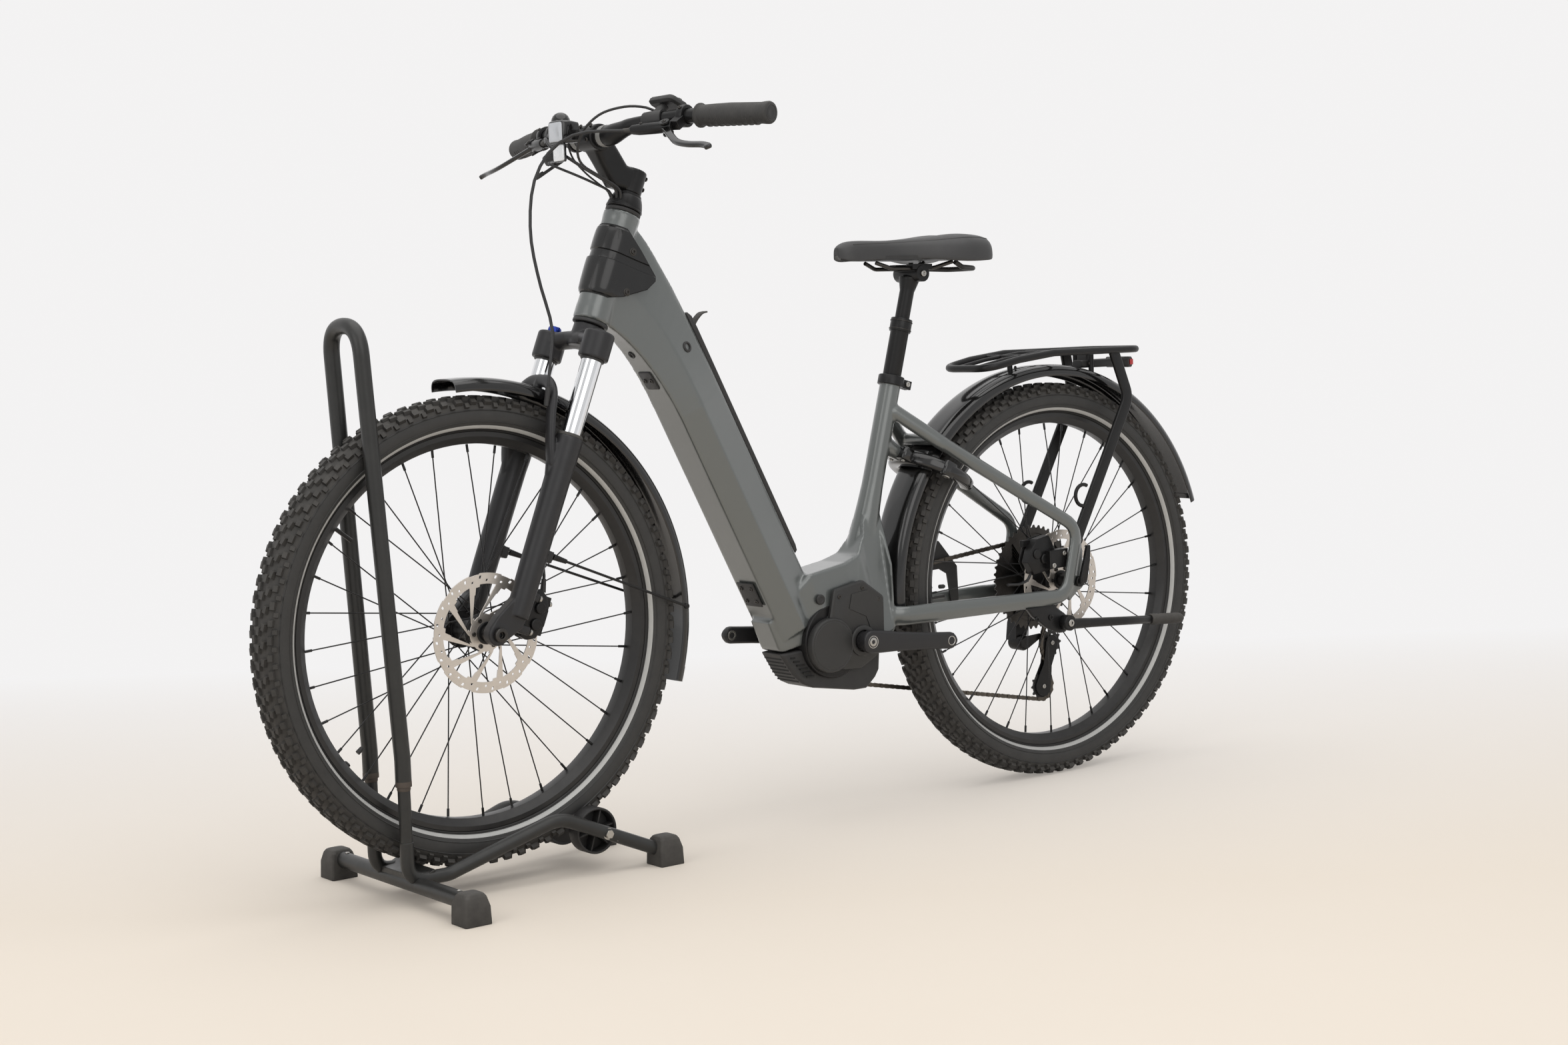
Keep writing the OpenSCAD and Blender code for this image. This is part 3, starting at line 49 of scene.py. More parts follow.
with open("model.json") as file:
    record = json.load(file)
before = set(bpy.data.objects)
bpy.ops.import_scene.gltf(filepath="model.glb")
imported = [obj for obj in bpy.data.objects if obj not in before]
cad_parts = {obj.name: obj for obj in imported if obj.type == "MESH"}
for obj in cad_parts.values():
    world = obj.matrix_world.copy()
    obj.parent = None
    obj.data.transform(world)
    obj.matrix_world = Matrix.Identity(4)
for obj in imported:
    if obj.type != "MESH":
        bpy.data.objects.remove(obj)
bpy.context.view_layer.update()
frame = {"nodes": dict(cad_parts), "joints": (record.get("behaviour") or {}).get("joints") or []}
JOINTS = {joint["name"]: joint for joint in frame["joints"]}
MM = 0.001
JOIN_DISTANCE = 0.00001


# ---- places taken from the frame, in millimetres ----

def joint_at(name):
    return Vector(JOINTS[name]["pos_m"]) / MM


def joint_axis(name):
    return Vector(JOINTS[name]["axis"]).normalized()


def node_box(name):
    """Lowest and highest corner of a CAD node, in millimetres."""
    low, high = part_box(name)
    return Vector(low) / MM, Vector(high) / MM


def axes_at(origin, x_axis, z_axis):
    """A matrix with its origin at a point and its X and Z along two directions."""
    z_axis = z_axis.normalized()
    y_axis = z_axis.cross(x_axis).normalized()
    x_axis = y_axis.cross(z_axis)
    rows = Matrix((x_axis, y_axis, z_axis)).transposed().to_4x4()
    rows.translation = origin
    return rows


def across_to(side):
    """Mirrors across the middle plane where side is -1."""
    return Matrix.Diagonal((1, side, 1, 1))


def moved(place, x, y, z):
    """A seat moved along its own axes."""
    return place @ Matrix.Translation((x, y, z))


REAR_AXLE = joint_at("rear_wheel_spin")
FRONT_AXLE = joint_at("front_wheel_spin")
CRANK = joint_at("crank_turn")
TYRE_R = (node_box("rear_tyre")[1] - node_box("rear_tyre")[0]).z / 2
TYRE_W = (node_box("rear_tyre")[1] - node_box("rear_tyre")[0]).y
STEER_UP = joint_axis("steering_turn")
STEER_AHEAD = Vector((STEER_UP.z, 0, -STEER_UP.x))
STEER_FOOT = joint_at("steering_turn")
STEER_ORIGIN = FRONT_AXLE - STEER_AHEAD * (FRONT_AXLE - STEER_FOOT).dot(STEER_AHEAD)
HEAD_START = (STEER_FOOT - STEER_ORIGIN).length
HEAD_LEN = 178
SEAT_UP = joint_axis("seat_post_travel")
SEAT_FOOT = CRANK - Vector((9, 0, 0))
DOWN_ANGLE = radians(63.2)
DOWN_FOOT = Vector((REAR_AXLE.x + 644.5, 0, CRANK.z + 153))

AT_REAR = Matrix.Translation(REAR_AXLE)
AT_FRONT = Matrix.Translation(FRONT_AXLE)
AT_CRANK = Matrix.Translation(CRANK)
AT_STEER = axes_at(STEER_ORIGIN, STEER_AHEAD, STEER_UP)
AT_SEAT = axes_at(SEAT_FOOT, Vector((SEAT_UP.z, 0, -SEAT_UP.x)), SEAT_UP)
DOWN_UP = Vector((cos(DOWN_ANGLE), 0, sin(DOWN_ANGLE)))
AT_DOWN = axes_at(DOWN_FOOT, Vector((DOWN_UP.z, 0, -DOWN_UP.x)), DOWN_UP)
BAR_CENTRE = AT_STEER @ Vector((89, 0, 777))
AT_BAR = Matrix.Translation(BAR_CENTRE)
BAR_BEND = Vector((-5, 100, 11))
BAR_KNEE = Vector((-35, 180, 18))
BAR_SLOPE = Vector((-43, 165, -8)) / 165
BAR_TIP = BAR_KNEE + BAR_SLOPE * 165
LEVER_AXIS = joint_axis("left_brake_lever")
AT_GRIP = axes_at(BAR_CENTRE + BAR_KNEE, BAR_SLOPE.cross(LEVER_AXIS), LEVER_AXIS)
MIRROR = Matrix.Diagonal((1, -1, 1, 1))
IDENTITY = Matrix.Identity(4)
LOCK_TILT = radians(28)
AT_LOCK = axes_at(
    REAR_AXLE + Vector((268, 0, 208)),
    Vector((-cos(LOCK_TILT), 0, -sin(LOCK_TILT))),
    Vector((sin(LOCK_TILT), 0, -cos(LOCK_TILT))),
)
CHAIN_Y = 45.6
STAY_Y = 82


# ---- paths ----

def vectors(points):
    return [Vector(p) for p in points]


def fillet(points, radius, steps=8):
    """The polyline with each corner rounded to a radius, or to one radius for each corner."""
    points = vectors(points)
    out = [points[0]]
    for i in range(1, len(points) - 1):
        r = radius[i - 1] if isinstance(radius, (list, tuple)) else radius
        p, u, w = points[i], (points[i - 1] - points[i]).normalized(), (points[i + 1] - points[i]).normalized()
        half = acos(max(-1, min(1, u.dot(w)))) / 2
        if half > radians(88):
            out.append(p)
            continue
        reach = min(r / tan(half), (points[i - 1] - p).length * 0.49, (points[i + 1] - p).length * 0.49)
        a, b = p + u * reach, p + w * reach
        for k in range(steps + 1):
            t = k / steps
            out.append(a * (1 - t) ** 2 + p * 2 * t * (1 - t) + b * t ** 2)
    out.append(points[-1])
    return out


def spline(points, steps=8):
    """A smooth curve through the points."""
    p = vectors(points)
    p = [2 * p[0] - p[1]] + p + [2 * p[-1] - p[-2]]
    out = []
    for i in range(1, len(p) - 2):
        for k in range(steps):
            t = k / steps
            out.append(0.5 * (
                2 * p[i] + (p[i + 1] - p[i - 1]) * t
                + (2 * p[i - 1] - 5 * p[i] + 4 * p[i + 1] - p[i + 2]) * t ** 2
                + (3 * p[i] - p[i - 1] - 3 * p[i + 1] + p[i + 2]) * t ** 3
            ))
    out.append(p[-2])
    return out


def path_length(path):
    return sum((b - a).length for a, b in zip(path, path[1:]))


def evenly(path, count):
    """The same path with its points at even distances."""
    total, out, walked, i = path_length(path), [path[0]], 0.0, 0
    for k in range(1, count - 1):
        goal = total * k / (count - 1)
        while walked + (path[i + 1] - path[i]).length < goal:
            walked += (path[i + 1] - path[i]).length
            i += 1
        step = (path[i + 1] - path[i]).length
        out.append(path[i].lerp(path[i + 1], (goal - walked) / step))
    out.append(path[-1])
    return out


def lookup(x, table):
    """Value at x in a list of pairs, eased between them."""
    if x <= table[0][0]:
        return table[0][1]
    for (a, va), (b, vb) in zip(table, table[1:]):
        if x <= b:
            t = (x - a) / (b - a)
            t = t * t * (3 - 2 * t)
            return va + (vb - va) * t
    return table[-1][1]


def straight(x, table):
    """Value at x in a list of pairs, along straight lines between them."""
    for (a, va), (b, vb) in zip(table, table[1:]):
        if x <= b:
            return va + (vb - va) * max(0.0, (x - a) / (b - a))
    return table[-1][1]


# ---- building meshes ----

# Slot of each finish: what the shown material is made of
SLOTS = {finish: slot for slot, finishes in {"black_metal": ("black metal", "fork black", "stand coat", "worn sleeve",
        ), "blue_plastic": ("blue knob",), "chrome_tube": ("chrome",), "frame_paint": ("frame paint",),
        "plastic_gloss": ("head gloss", "screen", "gloss plastic", "clear lens", "lamp mirror", "reflector",),
        "plastic_matte": ("near black and painted shade", "matte plastic", "cover plastic",), "red_plastic": ("red lens",),
        "soft_rubber": ("soft rubber", "grey tape", "grip rubber", "key cap", "leather cloth", "saddle side",
                        "hose black",), "steel_part": ("dark steel", "bare steel", "chain steel", "brushed disc",),
        "tyre_rubber": ("tyre rubber",), }.items() for finish in finishes}

def rounded_ring(half_x, half_y, corner, per_corner=4):
    """Points of a rectangle with rounded corners, in its own plane."""
    corner = min(corner, half_x * 0.999, half_y * 0.999)
    out = []
    for quarter, (sx, sy) in enumerate(band(1, -1, 1, -1)):
        cx, cy = sx * (half_x - corner), sy * (half_y - corner)
        for k in range(per_corner + 1):
            a = radians(90 * quarter + 90 * k / per_corner)
            out.append((cx + corner * cos(a), cy + corner * sin(a)))
    return out


def circle_ring(rx, ry=None, count=24):
    ry = rx if ry is None else ry
    return [(rx * cos(2 * pi * k / count), ry * sin(2 * pi * k / count)) for k in range(count)]


def band(inner, outer, low, high):
    """Square section of a turned ring; a disc or a pin where inner is 0."""
    return [(inner, low), (outer, low), (outer, high), (inner, high)]


def collar(inner, outer, crest, low, high, ease=1):
    """Section of a turned ring whose outside rises to its crest over a short ease."""
    return [(inner, low), (outer, low), (crest, low + ease), (crest, high - ease), (outer, high), (inner, high)]


class Shape:
    """Collects faces for one piece, each with the number of its material."""

    def __init__(self, place=IDENTITY):
        self.points, self.faces, self.paints, self.place = [], [], [], place

    def add(self, points, faces, paint=0, place=None):
        """Takes up points and faces, moved by place, or by the shape's own place."""
        place = place or self.place
        start = len(self.points)
        self.points += [place @ Vector(p) for p in points]
        turned = place.determinant() < 0
        for face in faces:
            face = [start + i for i in face]
            self.faces.append(face[::-1] if turned else face)
            self.paints.append(paint)
        return self

    def loft(self, rings, paint=0, place=None, caps=True, closed=False):
        n = len(rings[0])
        points = [p for ring in rings for p in ring]
        faces = []
        last = len(rings) if closed else len(rings) - 1
        for i in range(last):
            j = (i + 1) % len(rings)
            for k in range(n):
                m = (k + 1) % n
                faces.append([i * n + k, i * n + m, j * n + m, j * n + k])
        if caps and not closed:
            faces.append(list(range(n))[::-1])
            faces.append([(len(rings) - 1) * n + k for k in range(n)])
        return self.add(points, faces, paint, place)

    def sweep(self, path, ring, paint=0, place=None, up=(0, 0, 1), caps=True, closed=False, round_ends=0):
        """A ring of (across, along up) points, or a function of the index that gives one, along a path."""
        path = vectors(path)
        n = len(path)
        rings, normal = [], Vector(up)
        for i, p in enumerate(path):
            a = path[i - 1] if (i or closed) else p
            b = path[(i + 1) % n] if (i < n - 1 or closed) else p
            tangent = (b - a).normalized()
            normal = (normal - tangent * normal.dot(tangent)).normalized()
            side = normal.cross(tangent)
            shape = ring(i) if callable(ring) else ring
            rings.append([p + side * x + normal * y for x, y in shape])
        if round_ends:
            rings = self._domed(rings[::-1], round_ends)[::-1]
            rings = self._domed(rings, round_ends)
        return self.loft(rings, paint, place, caps, closed)

    @staticmethod
    def _domed(rings, length):
        last, before = rings[-1], rings[-2]
        centre = sum(last, Vector()) / len(last)
        out = (centre - sum(before, Vector()) / len(before)).normalized()
        extra = []
        for k in range(1, 4):
            a = radians(90 * k / 3.4)
            extra.append([centre + (p - centre) * cos(a) + out * length * sin(a) for p in last])
        return rings + extra

    def rod(self, a, b, radius, end_radius=None, paint=0, place=None, count=20):
        end_radius = radius if end_radius is None else end_radius
        up = (0, 0, 1) if abs((Vector(b) - Vector(a)).normalized().z) < 0.95 else (1, 0, 0)
        sizes = [radius, end_radius]
        return self.sweep([a, b], lambda i: circle_ring(sizes[i], count=count), paint, place, up)

    def turned(self, profile, paint=0, place=None, axis="Y", steps=64, start=0, end=360, closed=False):
        """A profile of (radius, distance along the axis), turned about the axis. It closes on itself if asked."""
        full = abs(end - start - 360) < 1e-6
        count = steps if full else steps + 1
        rings = []
        for k in range(count):
            a = radians(start + (end - start) * k / steps)
            ring = []
            for r, d in profile:
                x, z = r * cos(a), r * sin(a)
                ring.append(Vector((x, d, z)) if axis == "Y" else Vector((x, z, d)) if axis == "Z" else Vector((d, x,
                        z)))
            rings.append(ring)
        m = len(profile)
        points = [p for ring in rings for p in ring]
        faces = []
        spans = count if full else count - 1
        for i in range(spans):
            j = (i + 1) % count
            for k in range(m if closed else m - 1):
                q = (k + 1) % m
                quad = [i * m + k, i * m + q, j * m + q, j * m + k]
                faces.append(quad if axis != "Z" else quad[::-1])
        if not full and closed:
            faces.append(list(range(m))[::-1])
            faces.append([(count - 1) * m + k for k in range(m)])
        return self.add(points, faces, paint, place)

    def slab(self, outline, y0, y1, paint=0, place=None, hole=None):
        """A side view outline of (x, z) made solid from y0 to y1, with one outline cut through it if given."""
        n = len(outline)
        if hole is None:
            points = [(x, y0, z) for x, z in outline] + [(x, y1, z) for x, z in outline]
            faces = [list(range(n)), [n + k for k in range(n)][::-1]]
            faces += [[k, n + k, n + (k + 1) % n, (k + 1) % n] for k in range(n)]
            return self.add(points, faces, paint, place)
        loops = [outline, hole]
        points = [(x, y, z) for y in (y0, y1) for loop in loops for x, z in loop]
        faces = []
        for k in range(n):
            m = (k + 1) % n
            faces.append([k, m, n + m, n + k])
            faces.append([2 * n + k, 3 * n + k, 3 * n + m, 2 * n + m])
            faces.append([k, 2 * n + k, 2 * n + m, m])
            faces.append([n + k, n + m, 3 * n + m, 3 * n + k])
        return self.add(points, faces, paint, place)

    def plate(self, outline, centre, levels, place=None):
        """A side view outline of (x, z) stacked across at levels of (y, share), each shrunk about a centre."""
        cx, cz = centre
        return self.loft([[Vector((cx + (x - cx) * k, y, cz + (z - cz) * k)) for x, z in outline]
                          for y, k in levels], place=place)

    def block(self, size, centre=(0, 0, 0), paint=0, place=None, taper=1.0):
        """A box of half sizes; its top is narrowed by taper."""
        x, y, z = size
        points = [(sx * x * (taper if sz > 0 else 1), sy * y * (taper if sz > 0 else 1), sz * z)
                  for sz in (-1, 1) for sx, sy in ((-1, -1), (1, -1), (1, 1), (-1, 1))]
        points = [Vector(p) + Vector(centre) for p in points]
        faces = [[3, 2, 1, 0], [4, 5, 6, 7], [0, 1, 5, 4], [1, 2, 6, 5], [2, 3, 7, 6], [3, 0, 4, 7]]
        return self.add(points, faces, paint, place)

    def screw(self, at, out, radius, height=3.0, paint=0, place=None, sides=6):
        """A round screw head with a socket sunk in it."""
        at, out = Vector(at), Vector(out).normalized()
        side = out.orthogonal().normalized()
        seat = (place or self.place) @ axes_at(at, side, out)
        rings = [circle_ring(r, count=24) for r in (radius, radius, radius * 0.86)]
        levels = [0, height * 0.7, height]
        stack = [[Vector((x, y, z)) for x, y in ring] for ring, z in zip(rings, levels)]
        socket = []
        for z in (height, height * 0.25):
            ring = []
            for k in range(24):
                a = 2 * pi * k / 24
                part = pi / sides
                r = radius * 0.5 * cos(part) / cos((a % (2 * part)) - part)
                ring.append(Vector((r * cos(a), r * sin(a), z)))
            socket.append(ring)
        return self.loft(stack + socket, paint, seat)

    def mesh(self, name):
        data = bpy.data.meshes.new(name)
        data.from_pydata([Vector(p) * MM for p in self.points], [], self.faces)
        data.polygons.foreach_set("material_index", self.paints)
        data.update()
        return data


def piece(name, shape, body, paint, replaces=(), bevel=0.0, angle=38, smooth=0, remesh=0.0, relax=0,
          segments=2, more=()):
    """
    Makes an object of a Shape, ties it to its body and hides the CAD nodes that it stands for.
    The paint is the name of a finish, or that name with the slot where the finish's usual one doesn't fit; the slot
    is not used.
    """
    paint, slot = (paint, SLOTS[paint]) if isinstance(paint, str) else paint
    data = shape.mesh(name)
    obj = bpy.data.objects.new(name, data)
    bpy.context.scene.collection.objects.link(obj)
    work = bmesh.new()
    work.from_mesh(data)
    bmesh.ops.remove_doubles(work, verts=work.verts, dist=JOIN_DISTANCE)
    bmesh.ops.recalc_face_normals(work, faces=work.faces)
    work.to_mesh(data)
    work.free()
    for finish in (paint, *more):
        data.materials.append(coat(finish))
    if remesh:
        grid = obj.modifiers.new("Join", "REMESH")
        grid.mode = "VOXEL"
        grid.voxel_size = remesh * MM
        grid.use_smooth_shade = True
        if relax:
            ease = obj.modifiers.new("Soften", "SMOOTH")
            ease.factor = 0.5
            ease.iterations = relax
        bake(obj)
        data = obj.data
    if bevel:
        edge = obj.modifiers.new("Edges", "BEVEL")
        edge.width = bevel * MM
        edge.segments = segments
        edge.limit_method = "ANGLE"
        edge.angle_limit = radians(angle)
        edge.harden_normals = False
        edge.use_clamp_overlap = True
    if smooth:
        round_off = obj.modifiers.new("Round", "SUBSURF")
        round_off.levels = smooth
        round_off.render_levels = smooth
    data.shade_smooth()
    if not remesh and not smooth:
        data.set_sharp_from_angle(angle=radians(angle))
    if isinstance(body, tuple):
        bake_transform(obj)
    else:
        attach(obj, body)
    if replaces:
        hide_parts(*replaces)
    return obj


def bake(obj):
    """Applies every modifier of an object to its mesh."""
    graph = bpy.context.evaluated_depsgraph_get()
    made = bpy.data.meshes.new_from_object(obj.evaluated_get(graph))
    old = obj.data
    obj.modifiers.clear()
    obj.data = made
    if old.materials and not made.materials:
        for paint in old.materials:
            made.materials.append(paint)
    bpy.data.meshes.remove(old)


def dress(node, paint, bevel=0.0, angle=40):
    """Gives a CAD node its material, and softens its edges with a modifier."""
    obj = frame["nodes"][node]
    obj.data.materials.clear()
    obj.data.materials.append(paint)
    obj.data.polygons.foreach_set("material_index", [0] * len(obj.data.polygons))
    if bevel:
        weld = obj.modifiers.new("Weld", "WELD")
        weld.merge_threshold = 0.00002
        edge = obj.modifiers.new("Edges", "BEVEL")
        edge.width = bevel * MM
        edge.segments = 2
        edge.limit_method = "ANGLE"
        edge.angle_limit = radians(angle)
    return obj


# ---- sizes and colours that a user can change ----

def srgb(red, green, blue):
    """A colour from its 0 to 255 values, made linear."""
    parts = [v / 255 for v in (red, green, blue)]
    return tuple(v / 12.92 if v <= 0.04045 else ((v + 0.055) / 1.055) ** 2.4 for v in parts)


def tint(label, about, colour):
    return bpy.props.FloatVectorProperty(
        name=label, description=about, default=colour, min=0, max=1, size=3, subtype="COLOR"
    )


class BicycleColours(bpy.types.PropertyGroup):
    frame: tint("Frame", "Satin paint of the frame", srgb(90, 94, 93))
    black: tint("Black metal", "Satin black of the fork, bar and fittings", srgb(27, 27, 28))
    stand: tint("Stand", "Powder coat of the floor stand", srgb(32, 33, 33))
    plastic: tint("Plastic", "Moulded covers", srgb(36, 36, 37))
    rubber: tint("Rubber", "Tyres and feet", srgb(34, 33, 32))
    reflex: tint("Reflective ring", "Ring on the tyre's side wall", srgb(176, 176, 174))
    saddle: tint("Saddle", "Cover of the saddle", srgb(48, 48, 49))
    knob: tint("Fork knob", "Blue knob on the fork", srgb(24, 52, 150))
    lens: tint("Rear lens", "Red lens of the tail light", srgb(176, 16, 20))
    floor: tint("Floor", "Pale floor", srgb(224, 214, 201))
    wall: tint("Wall", "Pale backdrop", srgb(245, 244, 244))


class BicycleSizes(bpy.types.PropertyGroup):
    knob_rows: bpy.props.IntProperty(
        name="Tread pitches", description="Rows of knobs round each tyre", default=88, min=40, max=110)
    knob_height: bpy.props.FloatProperty(
        name="Tread depth", description="Height of the knobs in millimetres", default=4.0, min=1, max=6)
    frame_grid: bpy.props.FloatProperty(
        name="Frame grid", description="Grid that joins the frame tubes, in millimetres", default=2.4, min=1.5, max=5)
    casting_grid: bpy.props.FloatProperty(
        name="Casting grid", description="Grid that joins the castings, in millimetres", default=1.5, min=1, max=4)
    hose: bpy.props.FloatProperty(
        name="Hose", description="Diameter of a brake hose", default=0.005, min=0.003, max=0.006, unit="LENGTH")
    cable: bpy.props.FloatProperty(
        name="Cable", description="Diameter of a cable", default=0.004, min=0.002, max=0.005, unit="LENGTH")
    lamp_watts: bpy.props.FloatProperty(
        name="Soft light", description="Power of the large soft light", default=60, min=0, max=400, unit="POWER")
    sky: bpy.props.FloatProperty(
        name="Room light", description="Strength of the light from all sides", default=0.72, min=0, max=2)


def colours():
    return bpy.context.scene.bicycle_colours


def sizes():
    return bpy.context.scene.bicycle_sizes


# ---- finishes ----

def effect(name, inputs, outputs):
    """An empty node group with its sockets; inputs are (name, kind, value)."""
    group = bpy.data.node_groups.new(name, "ShaderNodeTree")
    kinds = {"value": "NodeSocketFloat", "colour": "NodeSocketColor"}
    for label, kind, value in inputs:
        socket = group.interface.new_socket(label, in_out="INPUT", socket_type=kinds[kind])
        socket.default_value = (*value, 1) if kind == "colour" else value
    for label, kind in outputs:
        group.interface.new_socket(label, in_out="OUTPUT", socket_type=kinds[kind])
    return group, group.nodes.new("NodeGroupInput").outputs, group.nodes.new("NodeGroupOutput").inputs


def add_node(tree, kind, settings=None, **links):
    """A node with its settings; each link is a value or an output, its name the socket's with _ for a space."""
    node = tree.nodes.new("ShaderNode" + kind)
    for key, value in (settings or {}).items():
        setattr(node, key, value)
    for key, value in links.items():
        socket = node.inputs[int(key[1:])] if key[0] == "i" and key[1:].isdigit() else node.inputs[key.replace("_",
                " ")]
        if isinstance(value, bpy.types.NodeSocket):
            tree.links.new(value, socket)
        else:
            socket.default_value = value
    return node


def mixed(tree, factor, a, b, blend="MIX"):
    node = add_node(tree, "Mix", {"data_type": "RGBA", "blend_type": blend}, i0=factor)
    for index, value in ((6, a), (7, b)):
        if isinstance(value, bpy.types.NodeSocket):
            tree.links.new(value, node.inputs[index])
        else:
            node.inputs[index].default_value = value
    return node.outputs[2]


def maths(tree, operation, a, b=0.0, clamp=False):
    return add_node(tree, "Math", {"operation": operation, "use_clamp": clamp}, i0=a, i1=b).outputs[0]


def noise(tree, scale, detail=3.0, rough=0.55, vector=None):
    place = vector or add_node(tree, "TexCoord").outputs["Object"]
    return add_node(tree, "TexNoise", None, Vector=place, Scale=scale, Detail=detail, Roughness=rough).outputs["Fac"]


def make_effects():
    # Small changes of colour and shine, and a fine grain
    group, given, result = effect(
        "Fine surface",
        [("Colour", "colour", (0.5, 0.5, 0.5)), ("Spread", "value", 0.06), ("Patch scale", "value", 12.0),
         ("Roughness", "value", 0.5), ("Roughness spread", "value", 0.08), ("Grain scale", "value", 900.0)],
        [("Colour", "colour"), ("Roughness", "value"), ("Grain", "value")])
    patch = noise(group, given["Patch scale"], 4)
    shift = maths(group, "MULTIPLY", maths(group, "SUBTRACT", patch, 0.5), given["Spread"])
    bright = add_node(group, "HueSaturation", None, Color=given["Colour"],
                      Value=maths(group, "ADD", 1.0, maths(group, "MULTIPLY", shift, 4.0))).outputs[0]
    group.links.new(bright, result["Colour"])
    fine = noise(group, maths(group, "MULTIPLY", given["Patch scale"], 6.0), 3)
    shine = maths(group, "MULTIPLY", maths(group, "SUBTRACT", fine, 0.5), given["Roughness spread"])
    group.links.new(maths(group, "ADD", given["Roughness"], maths(group, "MULTIPLY", shine, 3.0), True),
                    result["Roughness"])
    group.links.new(noise(group, given["Grain scale"], 2), result["Grain"])

    # Rubbed and scratched places
    group, given, result = effect(
        "Wear",
        [("Colour", "colour", (0.5, 0.5, 0.5)), ("Worn colour", "colour", (0.3, 0.25, 0.2)),
         ("Amount", "value", 0.2), ("Scale", "value", 20.0)],
        [("Colour", "colour"), ("Mask", "value")])
    place = add_node(group, "TexCoord").outputs["Object"]
    stretched = add_node(group, "Mapping", None, Vector=place, Scale=(1.0, 1.0, 0.25)).outputs[0]
    wide = noise(group, given["Scale"], 5, 0.7, stretched)
    fine = noise(group, maths(group, "MULTIPLY", given["Scale"], 9.0), 4, 0.7, place)
    both = maths(group, "ADD", maths(group, "MULTIPLY", wide, 0.65), maths(group, "MULTIPLY", fine, 0.35))
    limit = maths(group, "SUBTRACT", 0.72, maths(group, "MULTIPLY", given["Amount"], 0.25))
    mask = maths(group, "MULTIPLY", maths(group, "SUBTRACT", both, limit), 14.0, True)
    group.links.new(mixed(group, mask, given["Colour"], given["Worn colour"]), result["Colour"])
    group.links.new(mask, result["Mask"])

    # Pale dust that lies on faces that look up
    group, given, result = effect(
        "Dust",
        [("Colour", "colour", (0.5, 0.5, 0.5)), ("Dust colour", "colour", srgb(164, 159, 152)),
         ("Amount", "value", 0.15)],
        [("Colour", "colour"), ("Mask", "value")])
    up = add_node(group, "SeparateXYZ", None, Vector=add_node(group, "NewGeometry").outputs["Normal"]).outputs["Z"]
    lying = maths(group, "ADD", maths(group, "MULTIPLY", up, 0.5), 0.5, True)
    cloud = maths(group, "MULTIPLY", noise(group, 45.0, 6, 0.65), lying)
    mask = maths(group, "MULTIPLY", cloud, given["Amount"], True)
    group.links.new(mixed(group, mask, given["Colour"], given["Dust colour"]), result["Colour"])
    group.links.new(mask, result["Mask"])


def finish_of(name, colour, roughness, metallic=0.0, spread=0.05, patch=12.0, rough_spread=0.06, grain=900.0,
              depth=0.02, wear=None, dust=0.0, coat=0.0, coat_rough=0.1, sheen=0.0, glass=0.0, ior=1.5,
              specular=0.5, height=None):
    """A Principled material with the shared effects. wear is (colour, amount, scale); depth is in millimetres."""
    material = bpy.data.materials.new(name)
    material.use_nodes = True
    tree = material.node_tree
    tree.nodes.clear()
    shader = add_node(tree, "BsdfPrincipled", None, Metallic=metallic, IOR=ior, Coat_Roughness=coat_rough,
                      Sheen_Weight=sheen, Coat_Weight=coat, Transmission_Weight=glass, Specular_IOR_Level=specular)
    out = add_node(tree, "OutputMaterial", None, Surface=shader.outputs[0])
    out.is_active_output = True
    fine = tree.nodes.new("ShaderNodeGroup")
    fine.node_tree = bpy.data.node_groups["Fine surface"]
    for label, value in (("Colour", (*colour, 1)), ("Spread", spread), ("Patch scale", patch),
                         ("Roughness", roughness), ("Roughness spread", rough_spread), ("Grain scale", grain)):
        fine.inputs[label].default_value = value
    base = fine.outputs["Colour"]
    if wear:
        rub = tree.nodes.new("ShaderNodeGroup")
        rub.node_tree = bpy.data.node_groups["Wear"]
        rub.inputs["Worn colour"].default_value = (*wear[0], 1)
        rub.inputs["Amount"].default_value = wear[1]
        rub.inputs["Scale"].default_value = wear[2]
        tree.links.new(base, rub.inputs["Colour"])
        base = rub.outputs["Colour"]
    if dust:
        film = tree.nodes.new("ShaderNodeGroup")
        film.node_tree = bpy.data.node_groups["Dust"]
        film.inputs["Amount"].default_value = dust
        tree.links.new(base, film.inputs["Colour"])
        base = film.outputs["Colour"]
    tree.links.new(base, shader.inputs["Base Color"])
    tree.links.new(fine.outputs["Roughness"], shader.inputs["Roughness"])
    bump = add_node(tree, "Bump", None, Strength=1.0, Distance=depth * MM,
                    Height=height(tree) if height else fine.outputs["Grain"])
    tree.links.new(bump.outputs[0], shader.inputs["Normal"])
    return material


def leather_cells(tree):
    """Small rounded cells, as on grained leather cloth."""
    place = add_node(tree, "TexCoord").outputs["Object"]
    cells = add_node(tree, "TexVoronoi", {"feature": "DISTANCE_TO_EDGE"}, Vector=place, Scale=520.0)
    return maths(tree, "MINIMUM", cells.outputs["Distance"], 0.18)


def grip_pattern(tree):
    """Fine ribs round a grip."""
    place = add_node(tree, "TexCoord").outputs["Object"]
    wave = add_node(tree, "TexWave", {"bands_direction": "Y"}, Vector=place, Scale=95.0, Distortion=0.6)
    return wave.outputs["Fac"]


def turned_grooves(tree):
    """Rings left by turning about the wheel axis."""
    place = add_node(tree, "TexCoord").outputs["Object"]
    stretched = add_node(tree, "Mapping", None, Vector=place, Scale=(1.0, 0.05, 1.0)).outputs[0]
    return noise(tree, 700.0, 2, 0.5, stretched)


